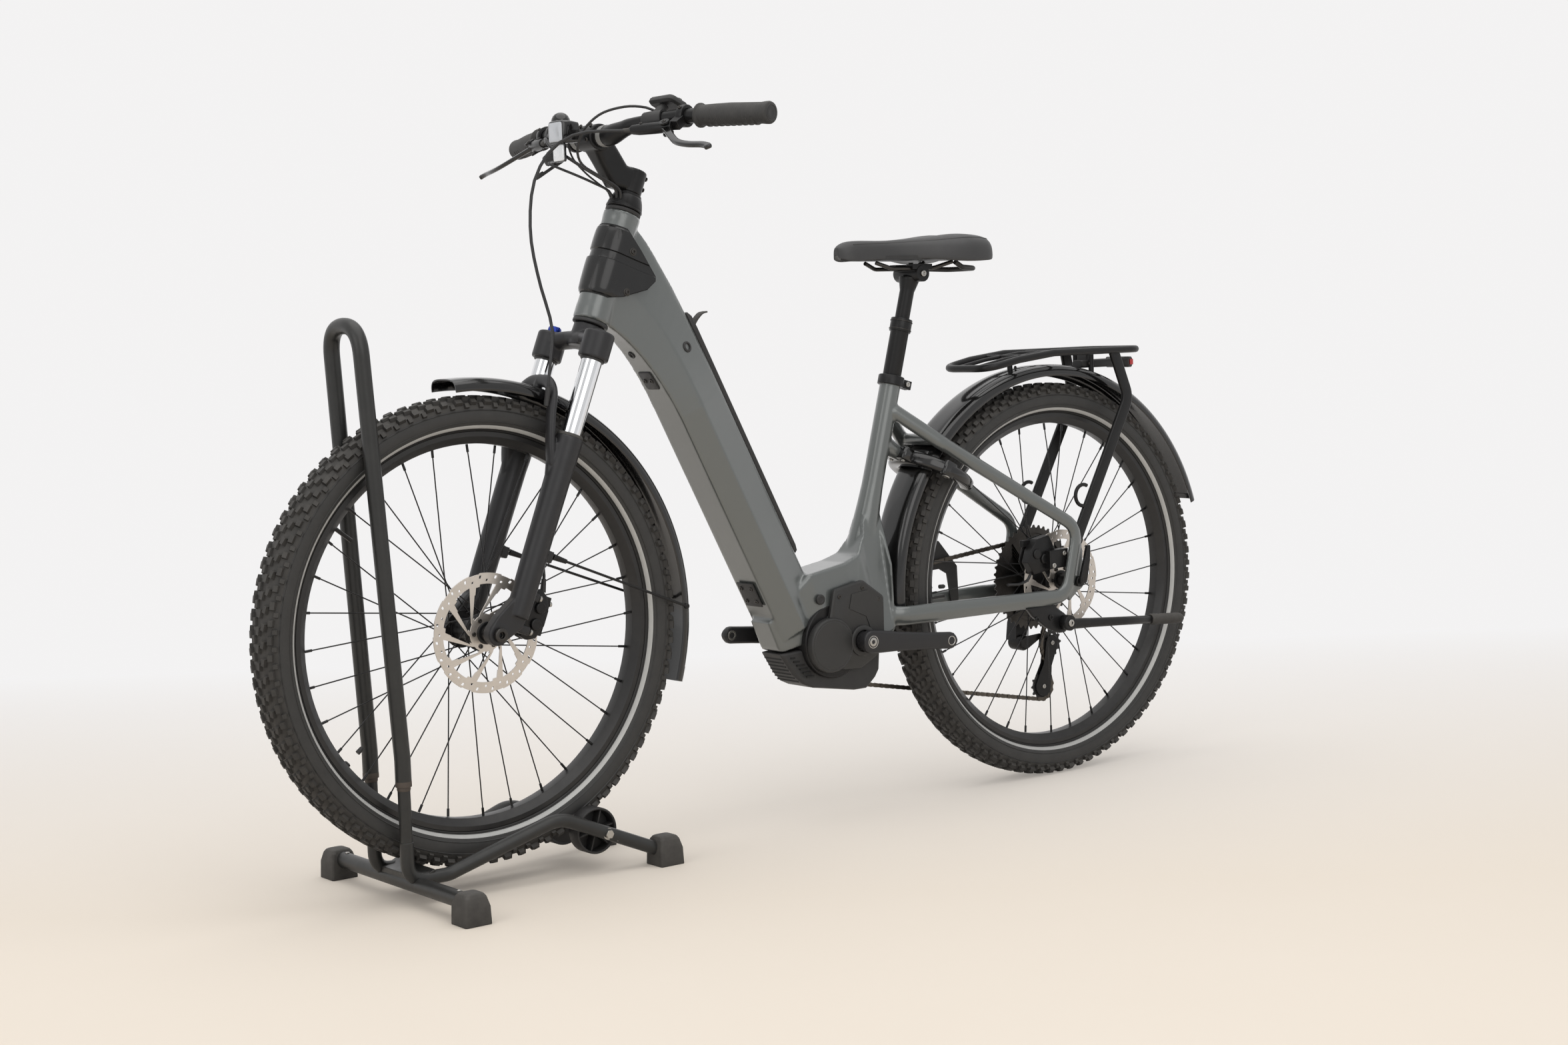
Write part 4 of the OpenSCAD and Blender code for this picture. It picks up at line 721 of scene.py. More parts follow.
def make_finishes():
    c = colours()
    black, plastic = tuple(c.black), tuple(c.plastic)
    finish_of("frame paint", tuple(c.frame), 0.34, metallic=0.4, spread=0.03, patch=6, rough_spread=0.03, grain=2600,
              depth=0.01, coat=1.0, coat_rough=0.2, specular=0.7, wear=(srgb(136, 140, 138), 0.03, 40))
    finish_of("head gloss", srgb(18, 18, 19), 0.26, spread=0.04, rough_spread=0.03, grain=1800, depth=0.01,
              coat=0.3, coat_rough=0.06, specular=0.35, dust=0.02)
    finish_of("black metal", black, 0.34, metallic=0.3, specular=0.35, spread=0.06, grain=2200, depth=0.01,
              wear=(srgb(84, 82, 80), 0.10, 60), dust=0.02)
    finish_of("fork black", srgb(38, 38, 40), 0.4, metallic=0.15, specular=0.4, spread=0.04, grain=2000, depth=0.015,
              wear=(srgb(110, 110, 110), 0.04, 50), dust=0.02)
    finish_of("stand coat", tuple(c.stand), 0.36, metallic=0.1, specular=0.45, spread=0.06, patch=20, grain=1500,
              depth=0.05, wear=(srgb(118, 92, 76), 0.16, 34), dust=0.08)
    finish_of("worn sleeve", srgb(74, 66, 60), 0.6, metallic=0.3, spread=0.1, patch=60, grain=1500, depth=0.06,
              wear=(srgb(138, 112, 94), 0.6, 60), dust=0.1)
    finish_of("gloss plastic", srgb(12, 12, 13), 0.14, specular=0.45, spread=0.04, rough_spread=0.03, grain=600,
              depth=0.006, coat=0.4, coat_rough=0.05, dust=0.02)
    finish_of("matte plastic", plastic, 0.5, specular=0.4, spread=0.05, grain=1900, depth=0.06, dust=0.08)
    finish_of("cover plastic", srgb(42, 42, 42), 0.42, specular=0.4, spread=0.04, grain=2300, depth=0.05, dust=0.03)
    finish_of("tyre rubber", tuple(c.rubber), 0.62, spread=0.1, patch=30, grain=1200, depth=0.08,
              wear=(srgb(78, 72, 66), 0.24, 70), dust=0.22, specular=0.4)
    finish_of("side wall", srgb(38, 38, 38), 0.52, spread=0.08, patch=40, grain=1600, depth=0.05, dust=0.08,
              specular=0.45)
    finish_of("reflective ring", tuple(c.reflex), 0.45, metallic=0.2, spread=0.05, patch=60, grain=3000, depth=0.02)
    finish_of("grip rubber", srgb(44, 44, 44), 0.62, spread=0.06, grain=1500, depth=0.25, dust=0.15,
              height=grip_pattern, specular=0.35)
    finish_of("soft rubber", srgb(40, 39, 38), 0.68, spread=0.08, grain=1300, depth=0.06, dust=0.3, specular=0.35,
              wear=(srgb(92, 86, 80), 0.2, 60))
    finish_of("leather cloth", tuple(c.saddle), 0.46, spread=0.06, patch=24, grain=900, depth=0.10, dust=0.03,
              height=leather_cells)
    finish_of("saddle side", srgb(48, 48, 49), 0.52, spread=0.05, patch=24, grain=1400, depth=0.06, dust=0.08)
    finish_of("chrome", srgb(232, 233, 235), 0.06, metallic=1.0, spread=0.01, rough_spread=0.01, grain=400,
              depth=0.002)
    finish_of("brushed disc", srgb(205, 198, 190), 0.34, metallic=0.85, spread=0.05, patch=30, grain=900,
              depth=0.02, height=turned_grooves, wear=(srgb(160, 146, 132), 0.2, 60))
    finish_of("bare steel", srgb(176, 174, 170), 0.3, metallic=1.0, spread=0.05, patch=80, grain=1500, depth=0.01)
    finish_of("dark steel", srgb(70, 68, 66), 0.36, metallic=0.9, spread=0.08, patch=80, grain=1500, depth=0.02,
              wear=(srgb(150, 146, 140), 0.16, 120))
    finish_of("chain steel", srgb(92, 87, 81), 0.36, metallic=0.9, spread=0.14, patch=120, grain=900, depth=0.02)
    finish_of("spoke steel", srgb(44, 44, 45), 0.3, metallic=0.7, spread=0.05, patch=90, grain=900, depth=0.004)
    finish_of("rim black", srgb(36, 36, 37), 0.36, metallic=0.35, spread=0.04, grain=1800, depth=0.012, dust=0.08)
    finish_of("blue knob", tuple(c.knob), 0.34, metallic=0.5, spread=0.05, grain=1500, depth=0.01)
    finish_of("red lens", tuple(c.lens), 0.1, spread=0.05, grain=300, depth=0.02, coat=0.6, coat_rough=0.04)
    finish_of("clear lens", srgb(236, 238, 240), 0.05, spread=0.0, rough_spread=0.0, grain=300, depth=0.03,
              glass=0.75, ior=1.45)
    finish_of("lamp mirror", srgb(214, 216, 220), 0.12, metallic=0.9, spread=0.04, patch=300, grain=500, depth=0.2)
    finish_of("reflector", srgb(226, 228, 230), 0.16, metallic=0.3, spread=0.1, patch=600, grain=420, depth=0.4,
              coat=0.8, coat_rough=0.04)
    finish_of("grey tape", srgb(128, 128, 126), 0.5, spread=0.08, patch=60, grain=1200, depth=0.04)
    finish_of("hose black", srgb(30, 30, 31), 0.38, spread=0.05, grain=1500, depth=0.015)
    # Near-black matte: the battery's own dark colour, and painted shade on the border round the head cover, in the
    # cooling slots and in the pedal-eye holes
    finish_of("near black and painted shade", srgb(12, 12, 12), 0.7, spread=0.05, grain=900, depth=0.02)
    finish_of("screen", srgb(22, 24, 28), 0.1, spread=0.05, rough_spread=0.02, grain=300, depth=0.003, coat=0.6,
              coat_rough=0.03)
    finish_of("key cap", srgb(96, 96, 96), 0.5, spread=0.05, grain=1500, depth=0.03)


def coat(name):
    return bpy.data.materials[name]


# ---- frame of the bicycle ----

def stay_path():
    """One stay: out of the motor housing, back below the axle, round and up to the seat tube."""
    seat_x = SEAT_FOOT.x
    return fillet([
        (CRANK.x - 60, 27, CRANK.z + 33), (CRANK.x - 102, 52, CRANK.z + 31),
        (REAR_AXLE.x + 28, STAY_Y, REAR_AXLE.z - 24), (REAR_AXLE.x - 2, STAY_Y, REAR_AXLE.z + 96),
        (REAR_AXLE.x + 285, 50, REAR_AXLE.z + 262), (seat_x - 112, 11, CRANK.z + 377),
    ], 38, 7)


def add_stay(shape, place):
    path = evenly(stay_path(), 90)
    walk = path_length(path)
    high = [(0, 17), (330, 15), (400, 13), (440, 12), (540, 12), (walk, 13)]
    wide = [(0, 9), (330, 9), (420, 7.5), (600, 7.5), (walk - 60, 11), (walk, 11)]

    def ring(i):
        at = walk * i / (len(path) - 1)
        return circle_ring(lookup(at, wide), lookup(at, high), 20)

    shape.sweep(path, ring, place=place)


def down_ring():
    """Section of the down tube: X towards the front wheel, Y across."""
    half = [(46, 33), (8, 46), (-46, 25), (-52, 20)]
    return [(x, -y) for x, y in half] + [(x, y) for x, y in half[::-1]]


def add_gusset(shape):
    """The flare that runs from the top of the down tube into the head tube."""
    start = [AT_DOWN @ Vector((x, y, 270)) for x, y in down_ring()]
    low, high = HEAD_START + 3, HEAD_START + HEAD_LEN - 5
    far = []
    for x, y in down_ring():
        z = high + (low - high) * (x + 52) / 98
        far.append(AT_STEER @ Vector((2, y * 25 / 46, z)))
    lean = [0.95 if x > 0 else 0.45 for x, y in down_ring()]
    rings = []
    for k in range(15):
        t = k / 14
        h00, h10 = 2 * t ** 3 - 3 * t ** 2 + 1, t ** 3 - 2 * t ** 2 + t
        h01, h11 = -2 * t ** 3 + 3 * t ** 2, t ** 3 - t ** 2
        ring = []
        for a, b, pull in zip(start, far, lean):
            reach = (b - a).length
            ring.append(h00 * a + h10 * DOWN_UP * reach * pull + h01 * b + h11 * STEER_AHEAD * reach * pull)
        rings.append(ring)
    shape.loft(rings)


def housing_side(x, left):
    """Distance of the motor housing's side from the middle plane, at x from the crank axis."""
    if left:
        return lookup(x, [(60, 49.5), (150, 31), (200, 28)])
    return lookup(x, [(50, 36.5), (162, 26), (200, 26)])


def add_housing(shape):
    side_view = [(172, 44), (97, 118), (18, 131), (-16, 142), (-38, 172), (-46, 206), (-84, 206), (-84, 120),
                 (-84, 6), (-56, -4), (0, 20), (60, 30), (110, 2), (150, -8)]
    outline = [Vector((p.x, 0, p.y)) for p in fillet([(x, z, 0) for x, z in side_view + side_view[:1]], 10, 3)]
    middle = Vector((30, 0, 60))
    rings = []
    for share, shrink in ((-1, 0.93), (-0.86, 1), (0.9, 1), (1, 0.94)):
        ring = []
        for p in outline:
            q = middle + (p - middle) * shrink
            narrow = lookup(p.z, [(96, 1), (206, 0.34)]) if p.x < 60 else 1
            ring.append(Vector((q.x, share * narrow * housing_side(p.x, share > 0), q.z)))
        rings.append(ring)
    shape.loft(rings, place=AT_CRANK)


def build_frame():
    s = Shape()
    s.loft([[Vector((x, y, z)) for x, y in down_ring()] for z in (-134, 290)], place=AT_DOWN)
    add_gusset(s)
    s.turned([(0, HEAD_START), (27.5, HEAD_START), (29, HEAD_START + 2), (29, HEAD_START + 20),
              (28.4, HEAD_START + 26), (28.4, HEAD_START + HEAD_LEN - 16), (29, HEAD_START + HEAD_LEN - 12),
              (29, HEAD_START + HEAD_LEN - 2), (27.5, HEAD_START + HEAD_LEN), (0, HEAD_START + HEAD_LEN)],
             axis="Z", place=AT_STEER)
    add_housing(s)
    # Seat tube with its flared foot
    s.sweep([(0, 0, z) for z in (120, 150, 175, 200, 230, 262, 300, 449)], lambda i: circle_ring([30, 27.5, 25, 22.6,
            20.2, 18.4, 18, 18][i], [26, 24.6, 23, 21.4, 19.6, 18.4, 18, 18][i], 32), place=AT_SEAT, up=(0, 1, 0))
    for place in (IDENTITY, MIRROR):
        add_stay(s, place)
        # Dropout with its axle boss
        plate = [(-4, -14), (8, -24), (20, -34), (34, -20), (24, 10), (14, 40), (4, 92), (-12, 78), (-14, 40),
                 (-13, 0)]
        s.slab(plate, 74.5, 82, place=place @ AT_REAR)
        s.turned([(0, 74.5), (17, 74.5), (17, 81), (16, 82.5), (0, 82.5)], place=place @ AT_REAR)
    # Bridge with the mudguard's boss, and the seat the ring lock is bolted to
    s.rod((292, -48, 268), (292, 48, 268), 10, place=AT_REAR)
    s.rod((-78, 0, 0), (-118, 0, 0), 12, 17, place=AT_LOCK)
    # Weld bead round the top of the seat tube
    s.turned([(18.2, 436), (19.4, 440), (19.4, 447), (18.2, 449), (0, 449), (0, 436)], axis="Z", place=AT_SEAT)
    piece("frame_tubes", s, "frame", "frame paint", ["frame"], remesh=sizes().frame_grid, relax=3)


class BICYCLE_OT_frame(bpy.types.Operator):
    """Build the low-step frame: down tube, head tube, motor housing, seat tube and stays"""
    bl_idname = "bicycle.frame"
    bl_label = "Frame"

    def execute(self, context):
        build_frame()
        return {"FINISHED"}


def on_frame(start, towards):
    """A seat on the painted frame, where a line from start meets it. Its Z points out, its X up the down tube."""
    found, at, normal, _ = bpy.data.objects["frame_tubes"].ray_cast(start * MM, towards)
    if not found:
        raise RuntimeError("the line misses the frame")
    return axes_at(at / MM, DOWN_UP, normal)


def build_frame_covers():
    s = Shape()
    s.sweep([(-36, 0, -20), (-36, 0, 380)], rounded_ring(13, 10, 4), place=AT_DOWN, up=(-1, 0, 0))
    piece("battery_pack", s, "frame", "near black and painted shade", ["battery"], bevel=1.0)
    # Long battery cover with a raised rim, its strap and its loop
    s = Shape(AT_DOWN)
    ends = [(-28, 0.3), (-24, 0.8), (-14, 1), (390, 1), (412, 0.9), (420, 0.4)]

    def ring(i):
        share = ends[i][1]
        return rounded_ring(19.5 * (0.55 + 0.45 * share), 4.2 * share + 0.5, 2.4)

    s.sweep([(-56, 0, z) for z, _ in ends], ring, up=(-1, 0, 0))
    for edge in (-15.5, 15.5):
        s.sweep([(-60.2, edge, -12), (-60.4, edge, 392)], rounded_ring(1.4, 1, 0.6), up=(-1, 0, 0))
    piece("battery_cover_shell", s, "frame", "matte plastic", ["battery_cover"], bevel=0.5)
    s = Shape(AT_DOWN)
    strap = spline([(-58, 0, 388), (-66, 0, 394), (-76, 0, 399), (-88, 0, 402), (-97, 0, 400)], 6)
    s.sweep(strap, rounded_ring(7.5, 1.3, 0.8), round_ends=1.5)
    s.block((3, 10, 7), (-60, 0, 388))
    piece("battery_strap", s, "frame", "soft rubber", bevel=0.6)

    # Shell round the head tube, over a near-black border of painted shade for the recess round it: a lower shield, a
    # slim band and an upper collar
    hs = HEAD_START
    behind = [(39, -4), (50, 22), (70, 50), (74, 56), (92, 66), (99, 64), (128, 30), (152, -4)]
    side_at = [(-4, 28.6), (20, 30.0), (70, 36.5)]

    def outline(z, lift, extra):
        reach = straight(z, behind) + extra
        run = [(-reach + reach * k / 9, lookup(reach - reach * k / 9, side_at) + lift) for k in range(9)]
        run += [((28.8 + lift) * cos(a), (28.8 + lift) * sin(a)) for a in [radians(88 - 8 * k) for k in range(12)]]
        return [Vector((x, y, hs + z)) for x, y in run + [(x, -y) for x, y in run[::-1]][1:]]

    def shell(levels, extra):
        return [outline(z, lift, extra) + outline(z, -1.2, extra)[::-1] for z, lift in levels]

    s = Shape()
    s.loft(shell([(41, 0.8), (42.5, 3), (46, 4.4), (50, 4.8), (60, 5.4), (70, 5.6), (74, 5.7), (84, 5.8), (92, 5.8),
                  (96.5, 5.4), (98, 2.7), (99, 2.5), (110, 2.1), (111.5, 4.2), (120, 4.4), (128, 4.4), (141, 4),
                  (147, 3), (150, 0.8)], 0), place=AT_STEER)
    piece("head_cover_panels", s, "frame", "head gloss", ["head_cover"], bevel=0.7, angle=24)
    # Border a little wider than the shell: near-black painted shade of the recess round the cover
    s = Shape()
    s.loft(shell([(39, 0.3), (50, 1.3), (70, 1.3), (74, 1.3), (92, 1.3), (99, 1.3), (128, 1.3), (150, 1.3),
                  (152, 0.3)], 3), place=AT_STEER)
    piece("head_cover_border_shade", s, "frame", "near black and painted shade")
    s = Shape()
    for side in (1, -1):
        for x, z, lift in ((-17, 121, 4.4), (-26, 58, 5.3)):
            seat = Vector((x, side * (lookup(-x, side_at) + lift - 0.6), hs + z))
            s.turned([(0, 0), (6.4, 0), (6.4, 0.9), (5.6, 1.2), (0, 1.2)],
                     place=AT_STEER @ Matrix.Translation(seat) @ across_to(side), steps=32)
            s.screw(seat + Vector((0, side * 1, 0)), (0, side, 0), 4.2, 2.2, place=AT_STEER)
    piece("head_cover_screws", s, "frame", "dark steel", bevel=0.3)

    # Headset cups, screwed plates under the down tube, socket cap and lock cylinder
    s = Shape()
    for z, turn in ((hs - 6, 1), (hs + HEAD_LEN + 6, -1)):
        s.turned([(15, z), (26.6, z), (28, z + 1.2 * turn), (28, z + 4.6 * turn), (27, z + 6.2 * turn),
                  (22, z + 6.4 * turn), (22, z + 13 * turn), (15, z + 13 * turn)], axis="Z", place=AT_STEER,
                 closed=True)
    s.sweep([(49.2, 0, -66), (49.2, 0, -22)], rounded_ring(22, 1.4, 4), place=AT_DOWN, up=(1, 0, 0))
    ahead = Vector((DOWN_UP.z, 0, -DOWN_UP.x))
    upper = on_frame(AT_DOWN @ Vector((150, 0, 357)), -ahead)
    s.loft([[Vector((x, y, z)) for x, y in rounded_ring(17 - k, 17 - k, 4)]
            for z, k in ((-4, 0), (1.2, 0), (2.2, 1))], place=upper)
    s.turned([(2.6, -2), (6.4, -2), (6.8, 1), (6, 1.8), (3.2, 1.8), (2.6, 0.4)], axis="Z", closed=True,
             place=on_frame(AT_DOWN @ Vector((150, 0, 408)), -ahead), steps=32)
    s.turned([(0, 0), (8.6, 0), (8.6, 2.6), (7.6, 3.4), (4.6, 3.5), (4.2, 2.8), (0, 2.8)],
             place=Matrix.Translation((CRANK.x + 80, 47.5, CRANK.z + 76)))
    lock = on_frame(AT_DOWN @ Vector((-20, 120, 378)), Vector((0, -1, 0)))
    s.turned([(0, -6), (9, -6), (9, 1), (8, 2), (5.4, 2.2), (4.8, -1), (0, -1)], axis="Z", place=lock)
    piece("frame_caps", s, "frame", "matte plastic", ["frame_fittings"], bevel=0.6)
    s = Shape()
    for z in (-56, -32):
        for y in (-13, 13):
            s.screw((50.4, y, z), (1, 0, 0), 3.6, 2, place=AT_DOWN)
    for y in (-8.6, 8.6):
        s.screw((0, y, 1.8), (0, 0, 1), 3.9, 2, place=upper)
    piece("plate_screws", s, "frame", "dark steel", bevel=0.3)

    # Kickstand bracket, a forged arm under the left stay
    s = Shape(AT_REAR)
    arm = [(124, -38), (92, -36), (62, -36), (34, -54), (22, -66), (22, -80), (34, -88), (48, -88), (78, -76),
           (112, -52)]
    s.plate(arm, (77, -62), ((72.5, 0.92), (75, 1), (81, 1), (83, 0.92)))
    s.turned([(0, 72), (13, 72), (14, 74), (14, 82), (13, 83), (0, 83)], place=moved(AT_REAR, 36, 0, -70))
    for x in (70, 104):
        s.screw((x, 83, -58), (0, 1, 0), 5, 3)
    piece("kickstand_bracket", s, "frame", "black metal", bevel=1.0)

    # Seat clamp, with its bolt, and the sprung post
    s = Shape(AT_SEAT)
    s.turned([(17.8, 435), (21.6, 435), (22.4, 436), (22.4, 450), (21.6, 451.6), (16, 451.6), (16, 449.2),
              (17.8, 449.2)], axis="Z", closed=True)
    for side in (1, -1):
        s.block((11, 3.4, 7.4), (-29, side * 4.8, 443.4))
    piece("seat_collar", s, "frame", "black metal", ["seat_clamp"], bevel=0.9)
    s = Shape(AT_SEAT)
    s.rod((-30.5, -10, 444), (-30.5, 10, 444), 3)
    s.screw((-30.5, 8, 444), (0, 1, 0), 4.8, 3.4)
    s.screw((-30.5, -8, 444), (0, -1, 0), 4.8, 3.4)
    piece("seat_collar_bolt", s, "frame", "bare steel", bevel=0.3)
    dress("seatpost_outer", coat("black metal"), 0.8)
    s = Shape()
    for z in (532, 546):
        s.turned(band(16, 19.4, z, z + 1.4), axis="Z", place=AT_SEAT, closed=True)
    piece("post_collar_rings", s, "frame", ("dark steel", "black_metal"), bevel=0.3)


class BICYCLE_OT_frame_covers(bpy.types.Operator):
    """Build the battery and its cover, the head cover, plates, screws and caps on the frame"""
    bl_idname = "bicycle.frame_covers"
    bl_label = "Frame covers"

    def execute(self, context):
        build_frame_covers()
        return {"FINISHED"}


def build_motor():
    s = Shape()
    s.turned(collar(0, 60, 61.5, -35, 48, 2), place=moved(AT_CRANK, 52, 0, 4))
    s.turned([(0, -35), (43, -35), (43.5, -33), (43.5, 46), (42, 48), (0, 48)], place=AT_CRANK)
    piece("motor_core", s, "frame", "black metal", ["drive_unit"], bevel=0.8)

    # Upper side covers and the round cover beside the crank
    s = Shape(AT_CRANK)
    corner = [(-50, 2), (-50, 70), (-6, 101), (56, 90), (66, 46), (66, -6), (42, -44), (2, -46), (-34, -28)]
    outline = [(p.x, p.y) for p in fillet([(x, z, 0) for x, z in corner + corner[:1]], 9, 4)]
    for y0, y1, y2 in ((49.4, 54.6, 56.4), (-36.4, -39.2, -40)):
        s.plate(outline, (4, 32), ((y0, 1), (y1, 1), (y2, 0.955)))
    # Raised arm of the cover behind the crank
    s.loft([[Vector((x, y, z)) for x, z in ((-46, 8), (-46, 62), (-14, 84), (20, 80), (26, 56), (-10, 40), (-22, 10))]
            for y in (56, 57.6)])
    piece("motor_side_covers", s, "frame", "cover plastic", ["motor_covers"], bevel=1.2, angle=30)
    s = Shape()
    s.turned([(0, 48), (45.6, 48), (45.8, 57), (44, 60), (41.5, 60.8), (40.6, 59.9), (39.6, 60.9), (20, 61), (0, 61)],
             place=moved(AT_CRANK, 65, 0, -1), steps=96)
    s.turned([(18, 56), (26, 56), (26, 60.2), (24.4, 61.4), (18, 61.4)], place=AT_CRANK, steps=72, closed=True)
    piece("motor_round_cover", s, "frame", "cover plastic", bevel=0.6)

    # Plate under the drive unit, with near-black strips of painted shade at its front where the cooling slots are
    s = Shape()
    plate = [(-48, -6), (-44, -54), (-36, -66), (-16, -83), (10, -83), (94, -70), (112, -62), (128, -46), (152, -9),
             (118, -6)]
    middle = Vector((50, 0, -42))
    rows = []
    for share, shrink in ((-1, 0.93), (-0.88, 1), (0.9, 1), (1, 0.94)):
        row = []
        for x, z in plate:
            q = middle + (Vector((x, 0, z)) - middle) * shrink
            row.append(Vector((q.x, share * (housing_side(x, share > 0) - 0.4), q.z)))
        rows.append(row)
    s.loft(rows, place=AT_CRANK)
    piece("motor_skid_plate", s, "frame", "matte plastic", bevel=2.2, angle=25, segments=3)
    # Thin near-black blocks on the plate's faces: painted shade in place of open cooling slots
    s = Shape(AT_CRANK)
    for i in range(7):
        z = -58 + 6.6 * i
        edge = 112 + (z + 62) if z < -46 else 128 + (z + 46) * 24 / 37
        s.block((6, housing_side(edge, True) - 9, 1.3), (edge - 5.3, 0.5, z))
    for i in range(6):
        x, z = 100 + 5.2 * i, -50 + 6.6 * i
        s.block((8, 1.2, 1.3), (x, housing_side(x, True) - 1.4, z))
    piece("motor_cooling_slot_shade", s, "frame", "near black and painted shade")
    s = Shape(AT_CRANK)
    for x, z in ((-38, 66), (-4, 88), (46, 78), (-38, -10)):
        s.screw((x, 56, z), (0, 1, 0), 3.6, 2.0)
    for x, z in ((-36, 62), (46, 72)):
        s.screw((x, -39.6, z), (0, -1, 0), 3.6, 1.4)
    piece("motor_screws", s, "frame", "dark steel", bevel=0.3)


class BICYCLE_OT_motor(bpy.types.Operator):
    """Build the drive unit and its covers, with painted shade strips for the cooling slots, and screws"""
    bl_idname = "bicycle.motor"
    bl_label = "Motor and covers"

    def execute(self, context):
        build_motor()
        return {"FINISHED"}


# ---- wheels ----

def knob(shape, angle, across, radius, length, width, height, lean=0.0, twist=0.0, taper=0.8, paint=0,
         place=IDENTITY):
    """One tread block: length runs round the wheel and width across it; lean tips it towards the side wall."""
    turn = (Matrix.Rotation(-angle, 4, "Y") @ Matrix.Translation((radius, across, 0))
            @ Matrix.Rotation(lean, 4, "Z") @ Matrix.Rotation(radians(90), 4, "Y")
            @ Matrix.Rotation(twist, 4, "Z"))
    shape.block((length / 2, width / 2, height / 2), (0, 0, 0), paint, place @ turn, taper)


def build_tyre(name, place, body, node):
    s = Shape()
    half = TYRE_W / 2
    top = TYRE_R - sizes().knob_height
    side = [(289, 15), (299.5, 15), (301, 18.5), (303.6, 22)]
    ring = [(303.6, 22), (305, 25), (308.6, 27.6)]
    wall = [(308.6, 27.6), (312, 29.4), (318, half - 1.2), (325, half - 0.7), (333, half - 1.2)]
    crown = [(333, half - 1.2), (340, half - 4), (345, half - 10), (top - 0.8, half - 19), (top, 6)]
    for paint, run in ((1, side), (2, ring), (1, wall), (0, crown)):
        for sign in (1, -1):
            s.turned([(r, sign * y) for r, y in run], paint=paint, place=place, steps=144)
    s.turned([(top, 6), (top + 0.2, 0), (top, -6)], place=place, steps=144)
    # Fine ridges on the side wall
    for r, y in ((301.2, 19.6), (314, half - 1.9), (331, half - 0.6)):
        for sign in (1, -1):
            s.turned([(r - 1.1, sign * (y - 0.6)), (r, sign * (y + 0.7)), (r + 1.1, sign * (y - 0.6))], paint=1,
                     place=place, steps=144)
    rows = sizes().knob_rows
    step = 2 * pi / rows
    tall = sizes().knob_height * 2
    for i in range(rows):
        a = i * step
        odd = i % 2
        base = TYRE_R - tall / 2
        knob(s, a, -6.2 if odd else -6.8, base, 14.5, 10, tall, twist=0.12, place=place)
        knob(s, a + step * 0.5, 6.2 if odd else 6.8, base, 14.5, 10, tall, twist=-0.12, place=place)
        knob(s, a + step * 0.25, -18.5, base - 1.2, 13, 8.6, tall, lean=-0.16, twist=0.25, place=place)
        knob(s, a + step * 0.75, 18.5, base - 1.2, 13, 8.6, tall, lean=0.16, twist=-0.25, place=place)
        for sign in (1, -1):
            shift = step * (0.0 if sign > 0 else 0.5)
            knob(s, a + shift, sign * 27.2, base - 6.4, 14 if odd else 11, 8.6, tall * 1.15, lean=sign * 0.75,
                 place=place)
            knob(s, a + shift + step * 0.5, sign * 29.6, base - 11.5, 8, 8.6, tall, lean=sign * 1.1, place=place)
    piece(name, s, body, "tyre rubber", [node], more=("side wall", "reflective ring"), angle=32)


def add_disc(shape, place):
    """Brake disc cut from one plate: a carrier, swept arms and a braking ring with slots."""
    radii = [15.6, 20, 25, 28, 31, 36, 42, 48, 54, 60, 66, 70, 73.5, 76, 77.5, 80.5, 82, 84.5, 86.5, 88.6, 90]
    arms, count = 10, 280
    turn = count // arms
    y0, y1 = 37.1, 38.9

    def solid(i, k):
        k %= count
        if not 0 <= i < len(radii) - 1:
            return False
        r = radii[i]
        if 28 <= r < 73.5:
            return k % turn < (11 if r < 31 or r >= 70 else 6 if r < 60 else 7)
        if 77.5 <= r < 80.5:
            return k % 14 not in (2, 3)
        if 82 <= r < 86.5:
            return k % 14 not in (9, 10)
        if r >= 88.6:
            return k % turn > 8
        return True

    def spot(i, k, y):
        r = radii[i]
        a = 2 * pi * k / count + acos(min(0.86, 25 / r))
        return (r * cos(a), y, r * sin(a))

    for i in range(len(radii) - 1):
        for k in range(count):
            if not solid(i, k):
                continue
            points = [spot(m, n, y) for y in (y0, y1) for m, n in ((i, k), (i + 1, k), (i + 1, k + 1), (i, k + 1))]
            faces = [[0, 1, 2, 3], [7, 6, 5, 4]]
            faces += [face for face, (m, n) in (([0, 4, 5, 1], (i, k - 1)), ([1, 5, 6, 2], (i + 1, k)),
                                                ([2, 6, 7, 3], (i, k + 1)), ([3, 7, 4, 0],
                    (i - 1, k))) if not solid(m, n)]
            shape.add(points, faces, 0, place)


